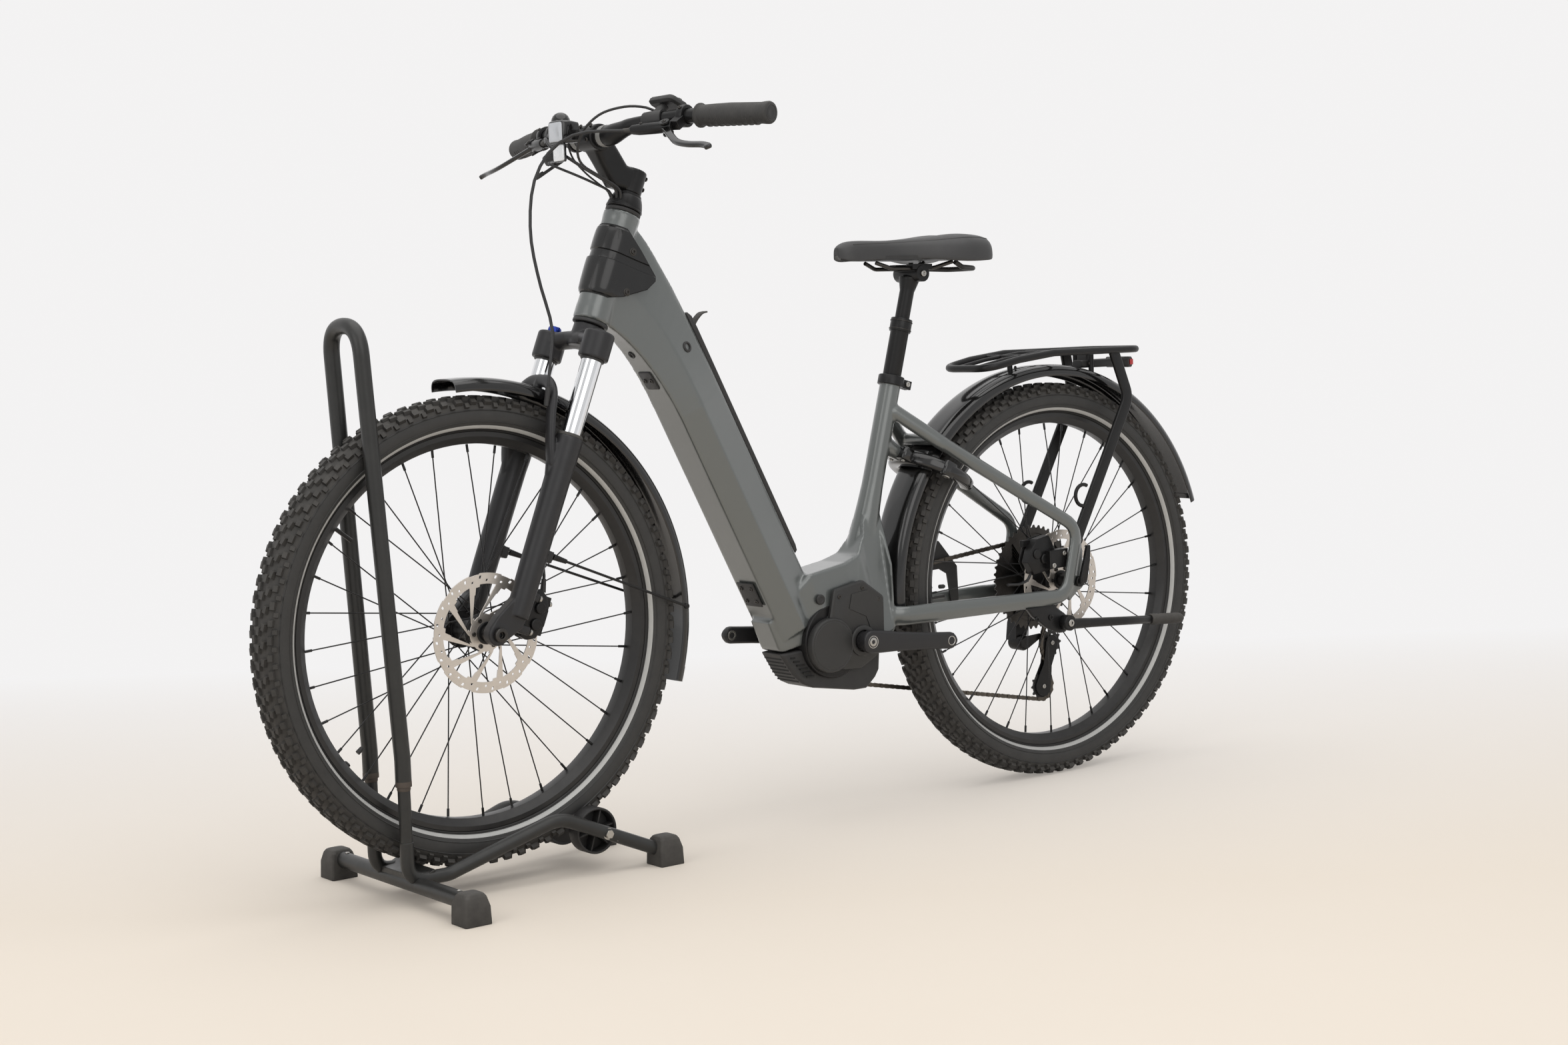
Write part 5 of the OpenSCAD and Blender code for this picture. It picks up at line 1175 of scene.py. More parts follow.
def build_wheels():
    for end, place in (("rear", AT_REAR), ("front", AT_FRONT)):
        build_tyre(end + "_tyre_tread", place, end + "_wheel", end + "_tyre")
        dress(end + "_rim", coat("rim black"), 0.7)
        dress(end + "_spokes", coat("spoke steel"))
        dress(end + "_hub", coat("black metal"), 0.6)
        s = Shape()
        add_disc(s, place)
        piece(end + "_brake_disc", s, end + "_wheel", "brushed disc", [end + "_disc"], bevel=0.2)
        s = Shape()
        s.turned(band(11, 26.5, 35.4, 37.2), place=place, closed=True)
        s.turned([(12, 38.8), (17, 38.8), (17, 41.4), (15.6, 42.2), (12, 42.2)], place=place, closed=True, steps=40)
        piece(end + "_disc_carrier", s, end + "_wheel", "black metal", bevel=0.3)
        s = Shape()
        for k in range(6):
            a = radians(60 * k)
            s.screw((22 * cos(a), 38.9, 22 * sin(a)), (0, 1, 0), 3.4, 2.2, place=place)
        piece(end + "_disc_bolts", s, end + "_wheel", "dark steel", bevel=0.3)
        # Valve cap and nut
        s = Shape()
        a = radians(38 if end == "front" else -2)
        out = Vector((cos(a), 0, -sin(a)))
        valve = axes_at(place @ Vector(), Vector((0, 1, 0)), -out)
        s.turned(band(3.3, 5.4, -279, -276.5), axis="Z", place=valve, closed=True, steps=6)
        s.turned([(0, -244), (2.8, -244.6), (3.7, -247), (3.7, -256), (0, -256)], axis="Z", place=valve, steps=16)
        piece(end + "_valve_cap", s, end + "_wheel", "matte plastic", bevel=0.3)
    # Nut and hollow end of the front axle, and the lever of the rear axle
    s = Shape()
    s.turned([(3.4, 76.6), (9, 76.6), (10.6, 78), (10.6, 83.4), (9, 84.4), (5.4, 84.4), (4.6, 83), (4.6, 79),
              (3.4, 79)], place=AT_FRONT, closed=True)
    piece("front_axle_end", s, "fork_lower", ("dark steel", "black_metal"), bevel=0.4)
    s = Shape(AT_REAR)
    s.turned([(0, 82.6), (9, 82.6), (9.4, 84), (9.4, 90), (0, 90)])
    blade = [(-9, -3), (6, -4), (6, 6), (-4, 36), (-12, 64), (-20, 64), (-18, 38), (-11, 6)]
    s.plate(blade, (-7, 26), ((90, 0.94), (91.5, 1), (95.5, 1), (97.2, 0.86)))
    s.turned(band(0, 6, -82, 84), steps=24)
    piece("rear_axle_lever", s, "rear_axle", "black metal", ["rear_axle"], bevel=0.9)


class BICYCLE_OT_wheels(bpy.types.Operator):
    """Build the knobbed tyres, and finish the rims, spokes, hubs and discs"""
    bl_idname = "bicycle.wheels"
    bl_label = "Wheels"

    def execute(self, context):
        build_wheels()
        return {"FINISHED"}


# ---- drive ----

def toothed(shape, pitch_radius, teeth, y0, y1, bore, place, paint=0, arms=0, arm_out=0.0, tooth=3.4, phase=0.0):
    """A sprocket: its rim with teeth, and arms out from its middle if there is room for them."""
    outer = []
    for k in range(teeth):
        for share, lift in ((0.0, -tooth), (0.22, -tooth * 0.6), (0.40, tooth * 0.62), (0.60, tooth * 0.62),
                            (0.78, -tooth * 0.6)):
            a = 2 * pi * (k + share - 0.5) / teeth + phase
            outer.append(((pitch_radius + lift) * cos(a), (pitch_radius + lift) * sin(a)))
    n = len(outer)
    hole = arm_out if arms else bore
    turns = [2 * pi * k / n - pi / teeth + phase for k in range(n)]
    shape.slab(outer, y0, y1, paint, place, hole=[(hole * cos(a), hole * sin(a)) for a in turns])
    if not arms:
        return
    for k in range(arms):
        a = 2 * pi * k / arms
        turn = place @ Matrix.Rotation(-a, 4, "Y")
        shape.slab([(bore - 1, -bore * 0.5), (arm_out * 0.55, -4.5), (arm_out + 2, -9), (arm_out + 2, 9),
                    (arm_out * 0.55, 4.5), (bore - 1, bore * 0.5)], y0 + 0.3, y1 - 0.3, paint, turn)
    ring = [(bore + 4, y0), (bore + 4, y1), (bore, y1), (bore, y0)]
    shape.turned(ring, paint, place, closed=True)


CRANK_TILT = radians(-5.5)
CRANK_LENGTH = 175
GUIDE = (-52, -127)
TENSION = (-28, -205)
CAGE_WAIST = 10
CHAIN_WRAPS = [((CRANK - REAR_AXLE).x, (CRANK - REAR_AXLE).z, 76.8, 1), (0, 0, 68.7, 1),
               (*GUIDE, 24.3, -1), (*TENSION, 24.3, 1)]


def chain_line():
    """The line through the chain's pins, round the ring, the sprocket and both pulleys."""
    def heading(a, b):
        dx, dz = b[0] - a[0], b[1] - a[1]
        return atan2(dz, dx) - asin((b[3] * b[2] - a[3] * a[2]) / hypot(dx, dz))

    points = []
    for i, c in enumerate(CHAIN_WRAPS):
        before = heading(CHAIN_WRAPS[i - 1], c)
        after = heading(c, CHAIN_WRAPS[(i + 1) % 4])
        start = before - pi / 2 * c[3]
        turn = ((after - before) * c[3]) % (2 * pi)
        count = max(3, ceil(turn / radians(3)))
        for k in range(count + 1):
            a = start + c[3] * turn * k / count
            points.append(Vector((c[0] + c[2] * cos(a), 0, c[1] + c[2] * sin(a))))
    points.append(points[0])
    return points


def link_outline(length, radius, waist):
    out = []
    for sign in (1, -1):
        for k in range(9):
            a = radians(-62 + 124 * k / 8)
            out.append((sign * (length / 2 + radius * cos(a)), sign * radius * sin(a)))
        out.append((0, sign * waist))
    return out


def cage_outline():
    """Side view of the derailleur cage: a lobe over each pulley and a waist between them."""
    lean = atan2(GUIDE[1] - TENSION[1], GUIDE[0] - TENSION[0])
    middle = (Vector(GUIDE) + Vector(TENSION)) / 2
    out = []
    for (x, z), radius, sign in ((GUIDE, 15, -1), (TENSION, 19, 1)):
        for k in range(13):
            a = lean + radians(-96 + 192 * k / 12) + (pi if sign > 0 else 0)
            out.append((x + radius * cos(a), z + radius * sin(a)))
        out.append((middle.x + sign * CAGE_WAIST * sin(lean), middle.y - sign * CAGE_WAIST * cos(lean)))
    return out


def crank_side(side):
    """Seat of one crank arm, which runs along X from the spindle: 1 is the left arm and -1 the right."""
    turn = CRANK_TILT if side > 0 else CRANK_TILT + pi
    return AT_CRANK @ Matrix.Rotation(turn, 4, "Y") @ Matrix.Diagonal((-1, side, 1, 1))


def build_drive():
    # Forged crank arms; each tapers to the pedal eye
    s = Shape()
    bolts = Shape()
    for side in (1, -1):
        place = crank_side(side)
        widths = [(0, 19.4), (22, 18.6), (60, 16.0), (130, 14.2), (160, 14.2), (175, 14.4)]
        rings = []
        stations = [-19, -18, -15.5, -12, -6, 0, 10, 22, 40, 60, 95, 130, 150, 165, 175, 181, 186, 188]
        for x in stations:
            half = lookup(x, widths)
            if x < 0:
                half *= sqrt(max(0.03, 1 - (x / 19.4) ** 2))
            if x > 175:
                half *= sqrt(max(0.03, 1 - ((x - 175) / 13.5) ** 2))
            thick = lookup(x, [(0, 7.4), (60, 6.6), (175, 6.4)])
            rings.append([Vector((x, 78.5 + y, z)) for y, z in rounded_ring(thick, half, 4.6)])
        s.loft(rings, place=place)
        inner = 57.5 if side > 0 else 48
        s.turned([(0, inner), (15.4, inner), (15.8, 66), (16.4, 74), (0, 74)], place=place)
        # Silver bolt cap, and the threaded pedal eye
        bolts.turned([(6, 84), (11.4, 84), (11.4, 85.4), (10.4, 86), (9.2, 85.9), (8.4, 85), (6, 85)], place=place,
                     closed=True)
        bolts.screw((0, 84.6, 0), (0, 1, 0), 7.8, 1.6, place=place)
        eye = moved(place, CRANK_LENGTH, 0, 0)
        bolts.turned([(5.2, 71.6), (8.2, 71.6), (8.2, 85.2), (7.2, 85.5), (6.2, 84.6), (5.2, 84.6)], place=eye,
                     closed=True)
    piece("crank_arms", s, "crankset", "fork black", ["cranks"], bevel=0.5, angle=50)
    piece("crank_bolts", bolts, "crankset", "bare steel", bevel=0.2)
    s = Shape()
    # A near-black plug in each pedal eye: painted shade for its threaded hole
    for side in (1, -1):
        eye = moved(crank_side(side), CRANK_LENGTH, 0, 0)
        s.turned(band(0, 5.4, 72.4, 84.2), place=eye, steps=24)
    piece("pedal_eye_hole_shade", s, "crankset", ("near black and painted shade", "black_metal"))

    # Chainring with a narrow guard ring
    s = Shape()
    toothed(s, 76.8, 38, -CHAIN_Y - 1.3, -CHAIN_Y + 1.3, 14, AT_CRANK, arms=5, arm_out=58)
    s.turned(band(40, 43, -50.6, -47), place=AT_CRANK, closed=True)
    piece("chainring_teeth", s, "crankset", ("dark steel", "black_steel"), ["chainring"], bevel=0.3)
    s = Shape()
    for k in range(5):
        a = 2 * pi * k / 5
        s.screw((52 * cos(a), -46.9, 52 * sin(a)), (0, -1, 0), 4.6, 2.4, place=AT_CRANK)
    piece("chainring_bolts", s, "crankset", "bare steel", bevel=0.3)

    # Cassette
    s = Shape()
    first = CHAIN_Y - 3 * 3.7
    for i, teeth in enumerate((46, 42, 38, 34, 30, 26, 22, 18, 15, 13, 11)):
        y = -(first + 3.7 * i)
        arms = 6 if teeth > 32 else 0
        toothed(s, 68.7 * teeth / 34 if teeth != 34 else 68.2, teeth, y - 0.9, y + 0.9, 18 if arms else 14, AT_REAR,
                arms=arms, arm_out=68.7 * teeth / 34 - 13, phase=0.05 * i)
    s.turned(band(10.2, 17.4, -71.6, -31), place=AT_REAR, closed=True)
    piece("cassette_sprockets", s, "cassette", ("dark steel", "black_steel"), ["cassette"], bevel=0.2)

    # Derailleur pulleys
    for name, at, node in (("guide", GUIDE, "guide_pulley"), ("tension", TENSION, "tension_pulley")):
        s = Shape()
        place = moved(AT_REAR, at[0], 0, at[1])
        toothed(s, 24.3, 12, -CHAIN_Y - 1.2, -CHAIN_Y + 1.2, 6, place, arms=5, arm_out=16.5)
        s.turned(band(3.2, 7, -CHAIN_Y - 2, -CHAIN_Y + 2), place=place, closed=True)
        piece(name + "_pulley_teeth", s, node, ("matte plastic", "black_steel"), [node], bevel=0.3)

    # Chain of inner and outer links on their pins
    line = chain_line()
    count = 2 * round(path_length(line) / 25.4)
    pins = evenly(line, count + 1)[:-1]
    s = Shape()
    inner, outer = link_outline(12.7, 4.4, 3.2), link_outline(12.7, 4.2, 3.0)
    for i, a in enumerate(pins):
        b = pins[(i + 1) % count]
        along = (b - a).normalized()
        reach = (b - a).length
        spot = Matrix((along, Vector((0, 1, 0)), along.cross(Vector((0, 1, 0))))).transposed().to_4x4()
        spot.translation = (a + b) / 2 - Vector((0, CHAIN_Y, 0))
        place = AT_REAR @ spot
        shape = [(x * reach / 12.7, z) for x, z in (inner if i % 2 else outer)]
        for side in (1, -1):
            y = (1.15 if i % 2 else 2.0) * side
            s.slab(shape, min(y, y + 0.7 * side), max(y, y + 0.7 * side), place=place)
        pin = AT_REAR @ Matrix.Translation(a - Vector((0, CHAIN_Y, 0)))
        s.turned(band(0, 1.7, -2.8, 2.8), place=pin, steps=8)
        s.turned(band(1.8, 3.4, -1.1, 1.1), place=pin, steps=10, closed=True)
    piece("chain_links", s, "frame", "chain steel", ["chain"])

    # Guard outside the chain, with a light edge
    dress("chain_guard", coat("matte plastic"), 1.0)

    # Derailleur: knuckle, sprung arm, cage plates and bolts
    s = Shape(AT_REAR)
    for y0, y1 in ((-CHAIN_Y + 3.8, -CHAIN_Y + 5.6), (-CHAIN_Y - 5.6, -CHAIN_Y - 3.9)):
        s.slab(cage_outline(), y0, y1)
    s.slab([(-50, -114), (-30, -118), (2, -134), (16, -128), (18, -116), (4, -110), (-30, -108)], -CHAIN_Y - 6.6,
           -CHAIN_Y - 3.9)
    s.turned([(0, -86), (11, -86), (14, -83), (14.6, -56), (13, -52.6), (0, -52.6)], place=moved(AT_REAR, 5, 0, -122))
    arm = [[(-14, -88), (-14, -72), (4, -72), (4, -88)], [(-16, -90), (-16, -64), (14, -64), (14, -90)],
           [(-8, -90), (-8, -62), (18, -62), (18, -90)]]
    s.loft([[Vector((x, y, z)) for x, y in ring] for z, ring in zip((-54, -86, -118), arm)])
    s.turned([(0, -92), (9.4, -92), (9.8, -90), (9.8, -78), (0, -78)], place=moved(AT_REAR, -9, 0, -56))
    s.slab([(-18, -4), (-4, -12), (0, -30), (0, -56), (-18, -58), (-22, -40)], -89, -82.8)
    s.rod((-20, -90, -70), (-34, -76, -80), 3.4, 2.6)
    piece("derailleur_body", s, "frame", "black metal", ["derailleur"], bevel=0.9)
    s = Shape(AT_REAR)
    for x, y, z, r in ((GUIDE[0], -CHAIN_Y - 5.5, GUIDE[1], 4.6), (TENSION[0], -CHAIN_Y - 5.5, TENSION[1], 4.6),
                       (5, -86, -122, 6), (-9, -92, -56, 6), (8, -90, -96, 3.4)):
        s.screw((x, y, z), (0, -1, 0), r, 2.2)
    for x, z in (GUIDE, TENSION):
        s.screw((x, -CHAIN_Y + 5.5, z), (0, 1, 0), 4.2, 1.8)
        s.rod((x, -CHAIN_Y - 5.4, z), (x, -CHAIN_Y + 5.4, z), 2.9)
    piece("derailleur_bolts", s, "frame", "bare steel", bevel=0.3)


class BICYCLE_OT_drive(bpy.types.Operator):
    """Build the cranks, toothed ring, cassette, pulleys, linked chain and derailleur"""
    bl_idname = "bicycle.drive"
    bl_label = "Drive"

    def execute(self, context):
        build_drive()
        return {"FINISHED"}


# ---- fork, stem and bar ----

CROWN = 18.5
LEG_Y = 66
CROWN_TOP = HEAD_START - 13


def build_fork():
    # Crown: two collars joined by a bowed bridge, with the steerer
    s = Shape(AT_STEER)
    low, high = CROWN_TOP - 55, CROWN_TOP - 11
    for side in (1, -1):
        s.turned([(0, low), (22.4, low), (23.6, low + 2), (23.6, high - 4), (21.6, high - 1), (0, high - 0.5)],
                 axis="Z", place=moved(AT_STEER, CROWN, side * LEG_Y, 0))
    bridge = [(-70, 20, 466), (-50, 17, 472), (-26, 8, 477), (0, 2, 478), (26, 8, 477), (50, 17, 472), (70, 20, 466)]

    def ring(i):
        y = bridge[i][0]
        return circle_ring(lookup(abs(y), [(0, 24), (40, 18), (70, 15)]), lookup(abs(y),
                [(0, 13), (40, 13), (70, 15)]), 20)

    s.sweep([(x, y, z) for y, x, z in bridge], ring)
    s.turned([(0, 466), (24.6, 466), (25, 478), (24, 502.4), (0, 502.4)], axis="Z")
    piece("fork_crown", s, "steering", "fork black", ["fork_upper"], remesh=sizes().casting_grid, relax=5)
    s = Shape()
    s.turned(band(0, 14.2, 480, 755), axis="Z", place=AT_STEER, steps=32)
    piece("steerer_tube", s, "steering", ("dark steel", "black_metal"))
    s = Shape()
    for side in (1, -1):
        leg = moved(AT_STEER, CROWN, side * LEG_Y, 0)
        s.turned(band(0, 15.9, 152, low + 3), axis="Z", place=leg, steps=64)
    piece("fork_chrome_tubes", s, "steering", "chrome")
    s = Shape()
    for side in (1, -1):
        leg = moved(AT_STEER, CROWN, side * LEG_Y, 0)
        s.turned([(15.95, low - 3), (18.2, low - 3), (18.8, low), (15.95, low)], axis="Z", place=leg, closed=True)
        if side > 0:
            s.turned([(0, high - 1), (11, high - 1), (11, high + 1), (9.6, high + 2.2), (0, high + 2.4)], axis="Z",
                     place=leg)
    piece("fork_top_cap", s, "steering", "matte plastic", bevel=0.4)
    s = Shape()
    s.turned([(0, 15), (10.6, 15), (10.8, 17), (10.4, 22), (9, 24.5), (0, 25)], axis="Z",
             place=moved(AT_STEER, CROWN, -LEG_Y, CROWN_TOP - 26), steps=40)
    s.block((2.2, 12.4, 3), (CROWN, -LEG_Y, CROWN_TOP - 4.6), place=AT_STEER, taper=0.9)
    piece("fork_blue_knob", s, "fork_knob", "blue knob", ["fork_knob"], bevel=0.8)

    # Lower legs: tapered tubes with lugs, joined by the arch
    s = Shape(AT_STEER)
    for side in (1, -1):
        place = AT_STEER @ (IDENTITY if side > 0 else MIRROR)
        stations = [(34, 17.5), (60, 18.5), (110, 19.2), (200, 19.6), (262, 20.2), (280, 21.2), (312, 21.4),
                    (317, 20.4)]
        s.sweep([(CROWN, LEG_Y, z) for z, _ in stations], lambda i: circle_ring(stations[i][1], count=32),
                place=place, up=(1, 0, 0))
        lug = [(CROWN - 15, 64), (CROWN - 11, 20), (36, -14), (50, -16), (60, -6), (61, 6), (54, 26),
               (CROWN + 15, 64)]
        s.plate(lug, (40, 20), ((55.6, 0.93), (58, 1), (73, 1), (75.6, 0.93)), place=place)
        s.turned([(0, 55.6), (16.6, 55.6), (16.8, 74), (15.6, 76.2), (0, 76.2)], place=moved(place, 44.5, 0, 0))
        s.block((6, 7.5, 9), (-4.5, LEG_Y - 2, 135), place=place)
        # Rib of the arch's foot
        s.rod((CROWN + 14, LEG_Y - 2, 250), (CROWN + 20, LEG_Y - 4, 300), 7, 11, place=place)
    arch = spline([(CROWN + 17, LEG_Y - 1, 268), (CROWN + 27, LEG_Y - 3, 296), (CROWN + 36, LEG_Y - 8, 334),
                   (CROWN + 39, 48, 372), (CROWN + 39, 26, 390), (CROWN + 39, 0, 393)], 6)
    full = arch[:-1] + [MIRROR @ p for p in arch[::-1]]
    s.sweep(full, circle_ring(10.2, 6.6, 18), up=(1, 0, 0))
    s.rod((CROWN + 39, 0, 380.4), (CROWN + 39, 0, 392), 7)
    for z in (20, 72):
        s.block((9, 6.5, 6.5), (-4, 56, z))
    piece("fork_lower_legs", s, "fork_lower", "fork black", ["fork_lower"], remesh=sizes().casting_grid, relax=4)
    s = Shape()
    for side in (1, -1):
        leg = moved(AT_STEER, CROWN, side * LEG_Y, 0)
        s.turned([(16.1, 316), (20.4, 316), (20.2, 319.5), (18.6, 321), (16.1, 321)], axis="Z", place=leg,
                 closed=True)
    piece("fork_dust_seals", s, "fork_lower", "soft rubber", bevel=0.4)
    s = Shape(AT_STEER)
    for side in (1, -1):
        s.screw((-11, side * (LEG_Y - 3), 138), (-1, 0, 0), 3.4, 2)
        s.screw((CROWN, side * LEG_Y, 34), (0, 0, -1), 6, 2)
    piece("fork_leg_screws", s, "fork_lower", "bare steel", bevel=0.3)

    # Calipers: a ribbed body, a bridge and bolts
    s = Shape(AT_STEER)
    outline = [(-7, 10), (-6, 50), (-8, 82), (-20, 88), (-34, 80), (-43, 60), (-43, 36), (-34, 14), (-20, 8)]
    for y0, y1 in ((29.2, 36), (40.2, 50)):
        s.plate(outline, (-25, 48), ((y0, 0.9), (y0 + 1.6, 1), (y1 - 1.6, 1), (y1, 0.9)))
    s.block((5, 9.4, 30), (-37, 39.5, 50))
    for z in (34, 60):
        s.turned([(0, 50), (9, 50), (9.4, 53), (8, 55), (0, 55)], place=moved(AT_STEER, -26, 0, z), steps=24)
    for z in (14, 66):
        s.rod((-16, 56, z + 6), (-3, 56, z + 6), 5.6)
    piece("front_caliper_body", s, "fork_lower", "black metal", ["front_caliper"], bevel=1.0, angle=30)
    s = Shape(AT_STEER)
    for z in (20, 72):
        s.screw((-16, 56, z), (-1, 0, 0), 5, 4)
    s.screw((-43, 44, 70), (-1, 0, 0.3), 4, 4)
    piece("front_caliper_bolts", s, "fork_lower", "bare steel", bevel=0.3)
    s = Shape(AT_REAR)
    outline = [(36, 24), (84, 18), (98, 40), (90, 62), (74, 80), (46, 85), (32, 60)]
    for y0, y1 in ((31.2, 36), (40.2, 60)):
        s.plate(outline, (64, 50), ((y0, 0.9), (y0 + 1.8, 1), (y1 - 1.8, 1), (y1, 0.88)))
    s.block((16, 4, 6), (78, 38, 72))
    s.plate([(16, 27), (58, 26), (58, 58), (13, 60)], (36, 43), ((56.5, 1), (72.5, 1), (74, 0.9)))
    for x, z in ((60, 44), (78, 54)):
        s.turned([(0, 60), (9, 60), (9.2, 62.6), (7.6, 64), (0, 64)], place=moved(AT_REAR, x, 0, z), steps=24)
    piece("rear_caliper_body", s, "frame", "black metal", ["rear_caliper"], bevel=1.0, angle=30)
    s = Shape()
    for x, z in ((24, 52), (50, 32)):
        s.screw((x, 73.6, z), (0, 1, 0), 4.6, 2.6, place=AT_REAR)
    piece("rear_caliper_bolts", s, "frame", "bare steel", bevel=0.3)


class BICYCLE_OT_fork(bpy.types.Operator):
    """Build the sprung fork: crown, chromed tubes, lower legs with their arch, and the blue knob"""
    bl_idname = "bicycle.fork"
    bl_label = "Fork"

    def execute(self, context):
        build_fork()
        return {"FINISHED"}


GRIP_REACH = (BAR_TIP - BAR_KNEE).length
LEVER_PIVOT = (34, 0)
CLAMP_X, CLAMP_Z = 89, 777
DISPLAY_AT = (-43, 140, 36)


def both_hands():
    return (AT_GRIP, "left"), (MIRROR @ AT_GRIP, "right")


def build_cockpit():
    top = HEAD_START + HEAD_LEN
    # Ringed cone over the headset, with cable ports, and the stem on it
    s = Shape()
    profile = [(14.5, top + 6.5), (27.6, top + 6.5), (28.8, top + 7.4), (28.8, top + 9.4), (28, top + 10),
               (28.2, top + 10.8), (27.4, top + 15), (25.6, top + 22), (23.6, top + 27), (22.6, top + 29),
               (21.8, top + 29.4), (22, top + 30.2), (21, top + 33.4), (14.5, top + 33.4)]
    s.turned(profile, axis="Z", place=AT_STEER, closed=True)
    piece("headset_cone", s, "steering", "black metal", ["spacer_stack"], bevel=0.3)
    low, high = top + 34, CLAMP_Z - 17
    s = Shape(AT_STEER)
    s.turned([(0, low), (19.2, low), (19.4, low + 2), (19.4, high - 3), (18.6, high - 0.4), (0, high)], axis="Z")
    rings = [((-8, low + 22), 17, 15), ((6, low + 20), 19, 16), ((30, 738), 22, 16), ((58, 758), 20, 17),
             ((76, 770), 18, 20), ((88, 777), 18, 21)]
    body = []
    for i, ((x, z), tall, wide) in enumerate(rings):
        a = rings[max(i - 1, 0)][0]
        b = rings[min(i + 1, len(rings) - 1)][0]
        d = Vector((b[0] - a[0], 0, b[1] - a[1])).normalized()
        n = Vector((-d.z, 0, d.x))
        body.append([Vector((x, 0, z)) + n * q + Vector((0, p, 0)) for p, q in rounded_ring(wide, tall, 9, 5)])
    s.loft(body)
    s.turned(collar(0, 19.4, 20.4, -22, 22), place=moved(AT_STEER, CLAMP_X, 0, CLAMP_Z))
    piece("stem_body", s, "steering", "black metal", ["stem"], remesh=sizes().casting_grid, relax=3)
    s = Shape(AT_STEER)
    for y in (-14, 14):
        for dz in (-12, 12):
            s.screw((CLAMP_X + 17.6, y, CLAMP_Z + dz), (1, 0, dz / 60), 3.4, 2.4)
    for z in (low + 14, low + 32):
        s.screw((-19.2, 5, z), (-1, 0, 0), 3.6, 2.2)
    piece("stem_bolts", s, "steering", "dark steel", bevel=0.3)

    # Handlebar on one smooth line, thick in the middle
    half = evenly(fillet([(0, 0, 0), (0, 50, 0), BAR_BEND, BAR_KNEE, BAR_TIP], [40, 60, 70], 10), 60)
    line = [MIRROR @ p for p in half[::-1]][:-1] + half

    def thick(i):
        return circle_ring(lookup(abs(line[i].y), [(50, 15.9), (88, 12.4), (104, 11.1)]), count=28)

    s = Shape()
    s.sweep(line, thick, place=AT_BAR)
    piece("bar_tube", s, "steering", "black metal", ["handlebar"])
    s = Shape()
    for side in (1, -1):
        s.turned([(16.2, side * 30), (16.5, side * 31), (16.5, side * 41), (16.2, side * 42)], place=AT_BAR)
    piece("bar_bands", s, "steering", "grey tape")

    # Grips: oval with a collar, a ribbed hand side and a ringed end
    s = Shape()
    ends = Shape()
    for place, hand in both_hands():
        start = GRIP_REACH - 131
        stations = [(0, 16.6), (1.5, 18.4), (4, 18.4), (5, 16.4), (8, 15.6), (30, 16.4), (62, 17), (96, 16.2),
                    (118, 15.8), (126, 16.6), (131, 16.8), (133.2, 15.8), (134.2, 13.6)]
        rings = []
        for y, r in stations:
            ring = []
            for k in range(32):
                a = 2 * pi * k / 32
                palm = 0.9 * max(0.0, cos(a - 0.6)) if 10 < y < 124 else 0
                ring.append(Vector(((r + palm * 0.6) * cos(a), start + y, (r - 0.2) * sin(a))))
            rings.append(ring)
        s.loft(rings, place=place)
        for k in range(9):
            y = start + 18 + 11 * k
            s.turned([(16.2, y), (17.3, y + 1.4), (17.3, y + 3.4), (16.2, y + 4.8)], place=place, start=-130, end=10,
                     steps=20)
        ends.turned([(0, start + 133.4), (11, start + 133.4), (12.6, start + 134.2), (11.6, start + 134.9),
                     (10.2, start + 134.2), (9, start + 134.7), (7.8, start + 134.5), (6.4, start + 134.9),
                     (5, start + 134.5), (0, start + 134.5)], place=place)
    piece("grip_sleeves", s, "steering", "grip rubber", ["grips"], angle=50)
    piece("grip_end_caps", ends, "steering", "matte plastic")

    # Brake bodies with their clamps, and the lever blades
    s = Shape()
    bolts = Shape()
    for place, hand in both_hands():
        s.turned(collar(11.3, 16.2, 16.8, 6, 18), place=place, closed=True)
        s.sweep([(37, -64, 0), (36.4, -50, 0), (34, -24, 0), (31, 0, 0), (29, 8, 0)],
                lambda i: circle_ring([6.6, 8.6, 8.8, 9.2, 7.6][i], [7, 8.4, 9.0, 8.8, 7][i], 20), place=place)
        s.sweep([(38, -64, 0), (35.6, -66.4, 0)], circle_ring(5, count=16), place=place, round_ends=2)
        s.block((9, 7.5, 7.4), (20, 12, 0), place=place)
        for z in (-9.6, 9.6):
            s.turned(band(0, 8.4, z - 1.6, z + 1.6), axis="Z", place=moved(place, *LEVER_PIVOT, 0), steps=24)
        bolts.screw((*LEVER_PIVOT, 11), (0, 0, 1), 3.6, 1.4, place=place)
        bolts.screw((4, 12, 16.6), (0.2, 0, 1), 3, 2, place=place)
        bolts.screw((33.4, -46, 8.6), (0, 0, 1), 2.4, 1.2, place=place)
    piece("brake_master_bodies", s, "steering", "black metal", ["brake_bodies"], bevel=0.7, angle=34)
    piece("brake_body_bolts", bolts, "steering", "dark steel", bevel=0.2)
    for place, hand in both_hands():
        s = Shape()
        blade = spline([(34, -3, 0), (44, 10, 0), (60, 28, 0), (78, 52, 0), (86, 78, 0), (88, 104, 0), (92, 118, 0),
                        (95, 122, 0)], 5)
        count = len(blade)

        def ring(i):
            t = i / (count - 1)
            return rounded_ring(lookup(t, [(0, 6.4), (0.4, 5.4), (0.85, 5.2), (1, 5.8)]),
                                lookup(t, [(0, 3.6), (0.5, 3.4), (1, 3.7)]), 2.8)

        s.sweep(blade, ring, place=place, round_ends=3)
        s.turned(band(0, 7.8, -3.6, 3.6), axis="Z", place=moved(place, *LEVER_PIVOT, 0), steps=28)
        piece("brake_blade_" + hand, s, "lever_" + hand, ("gloss plastic", "black_metal"), ["lever_" + hand],
              bevel=0.4, angle=44)

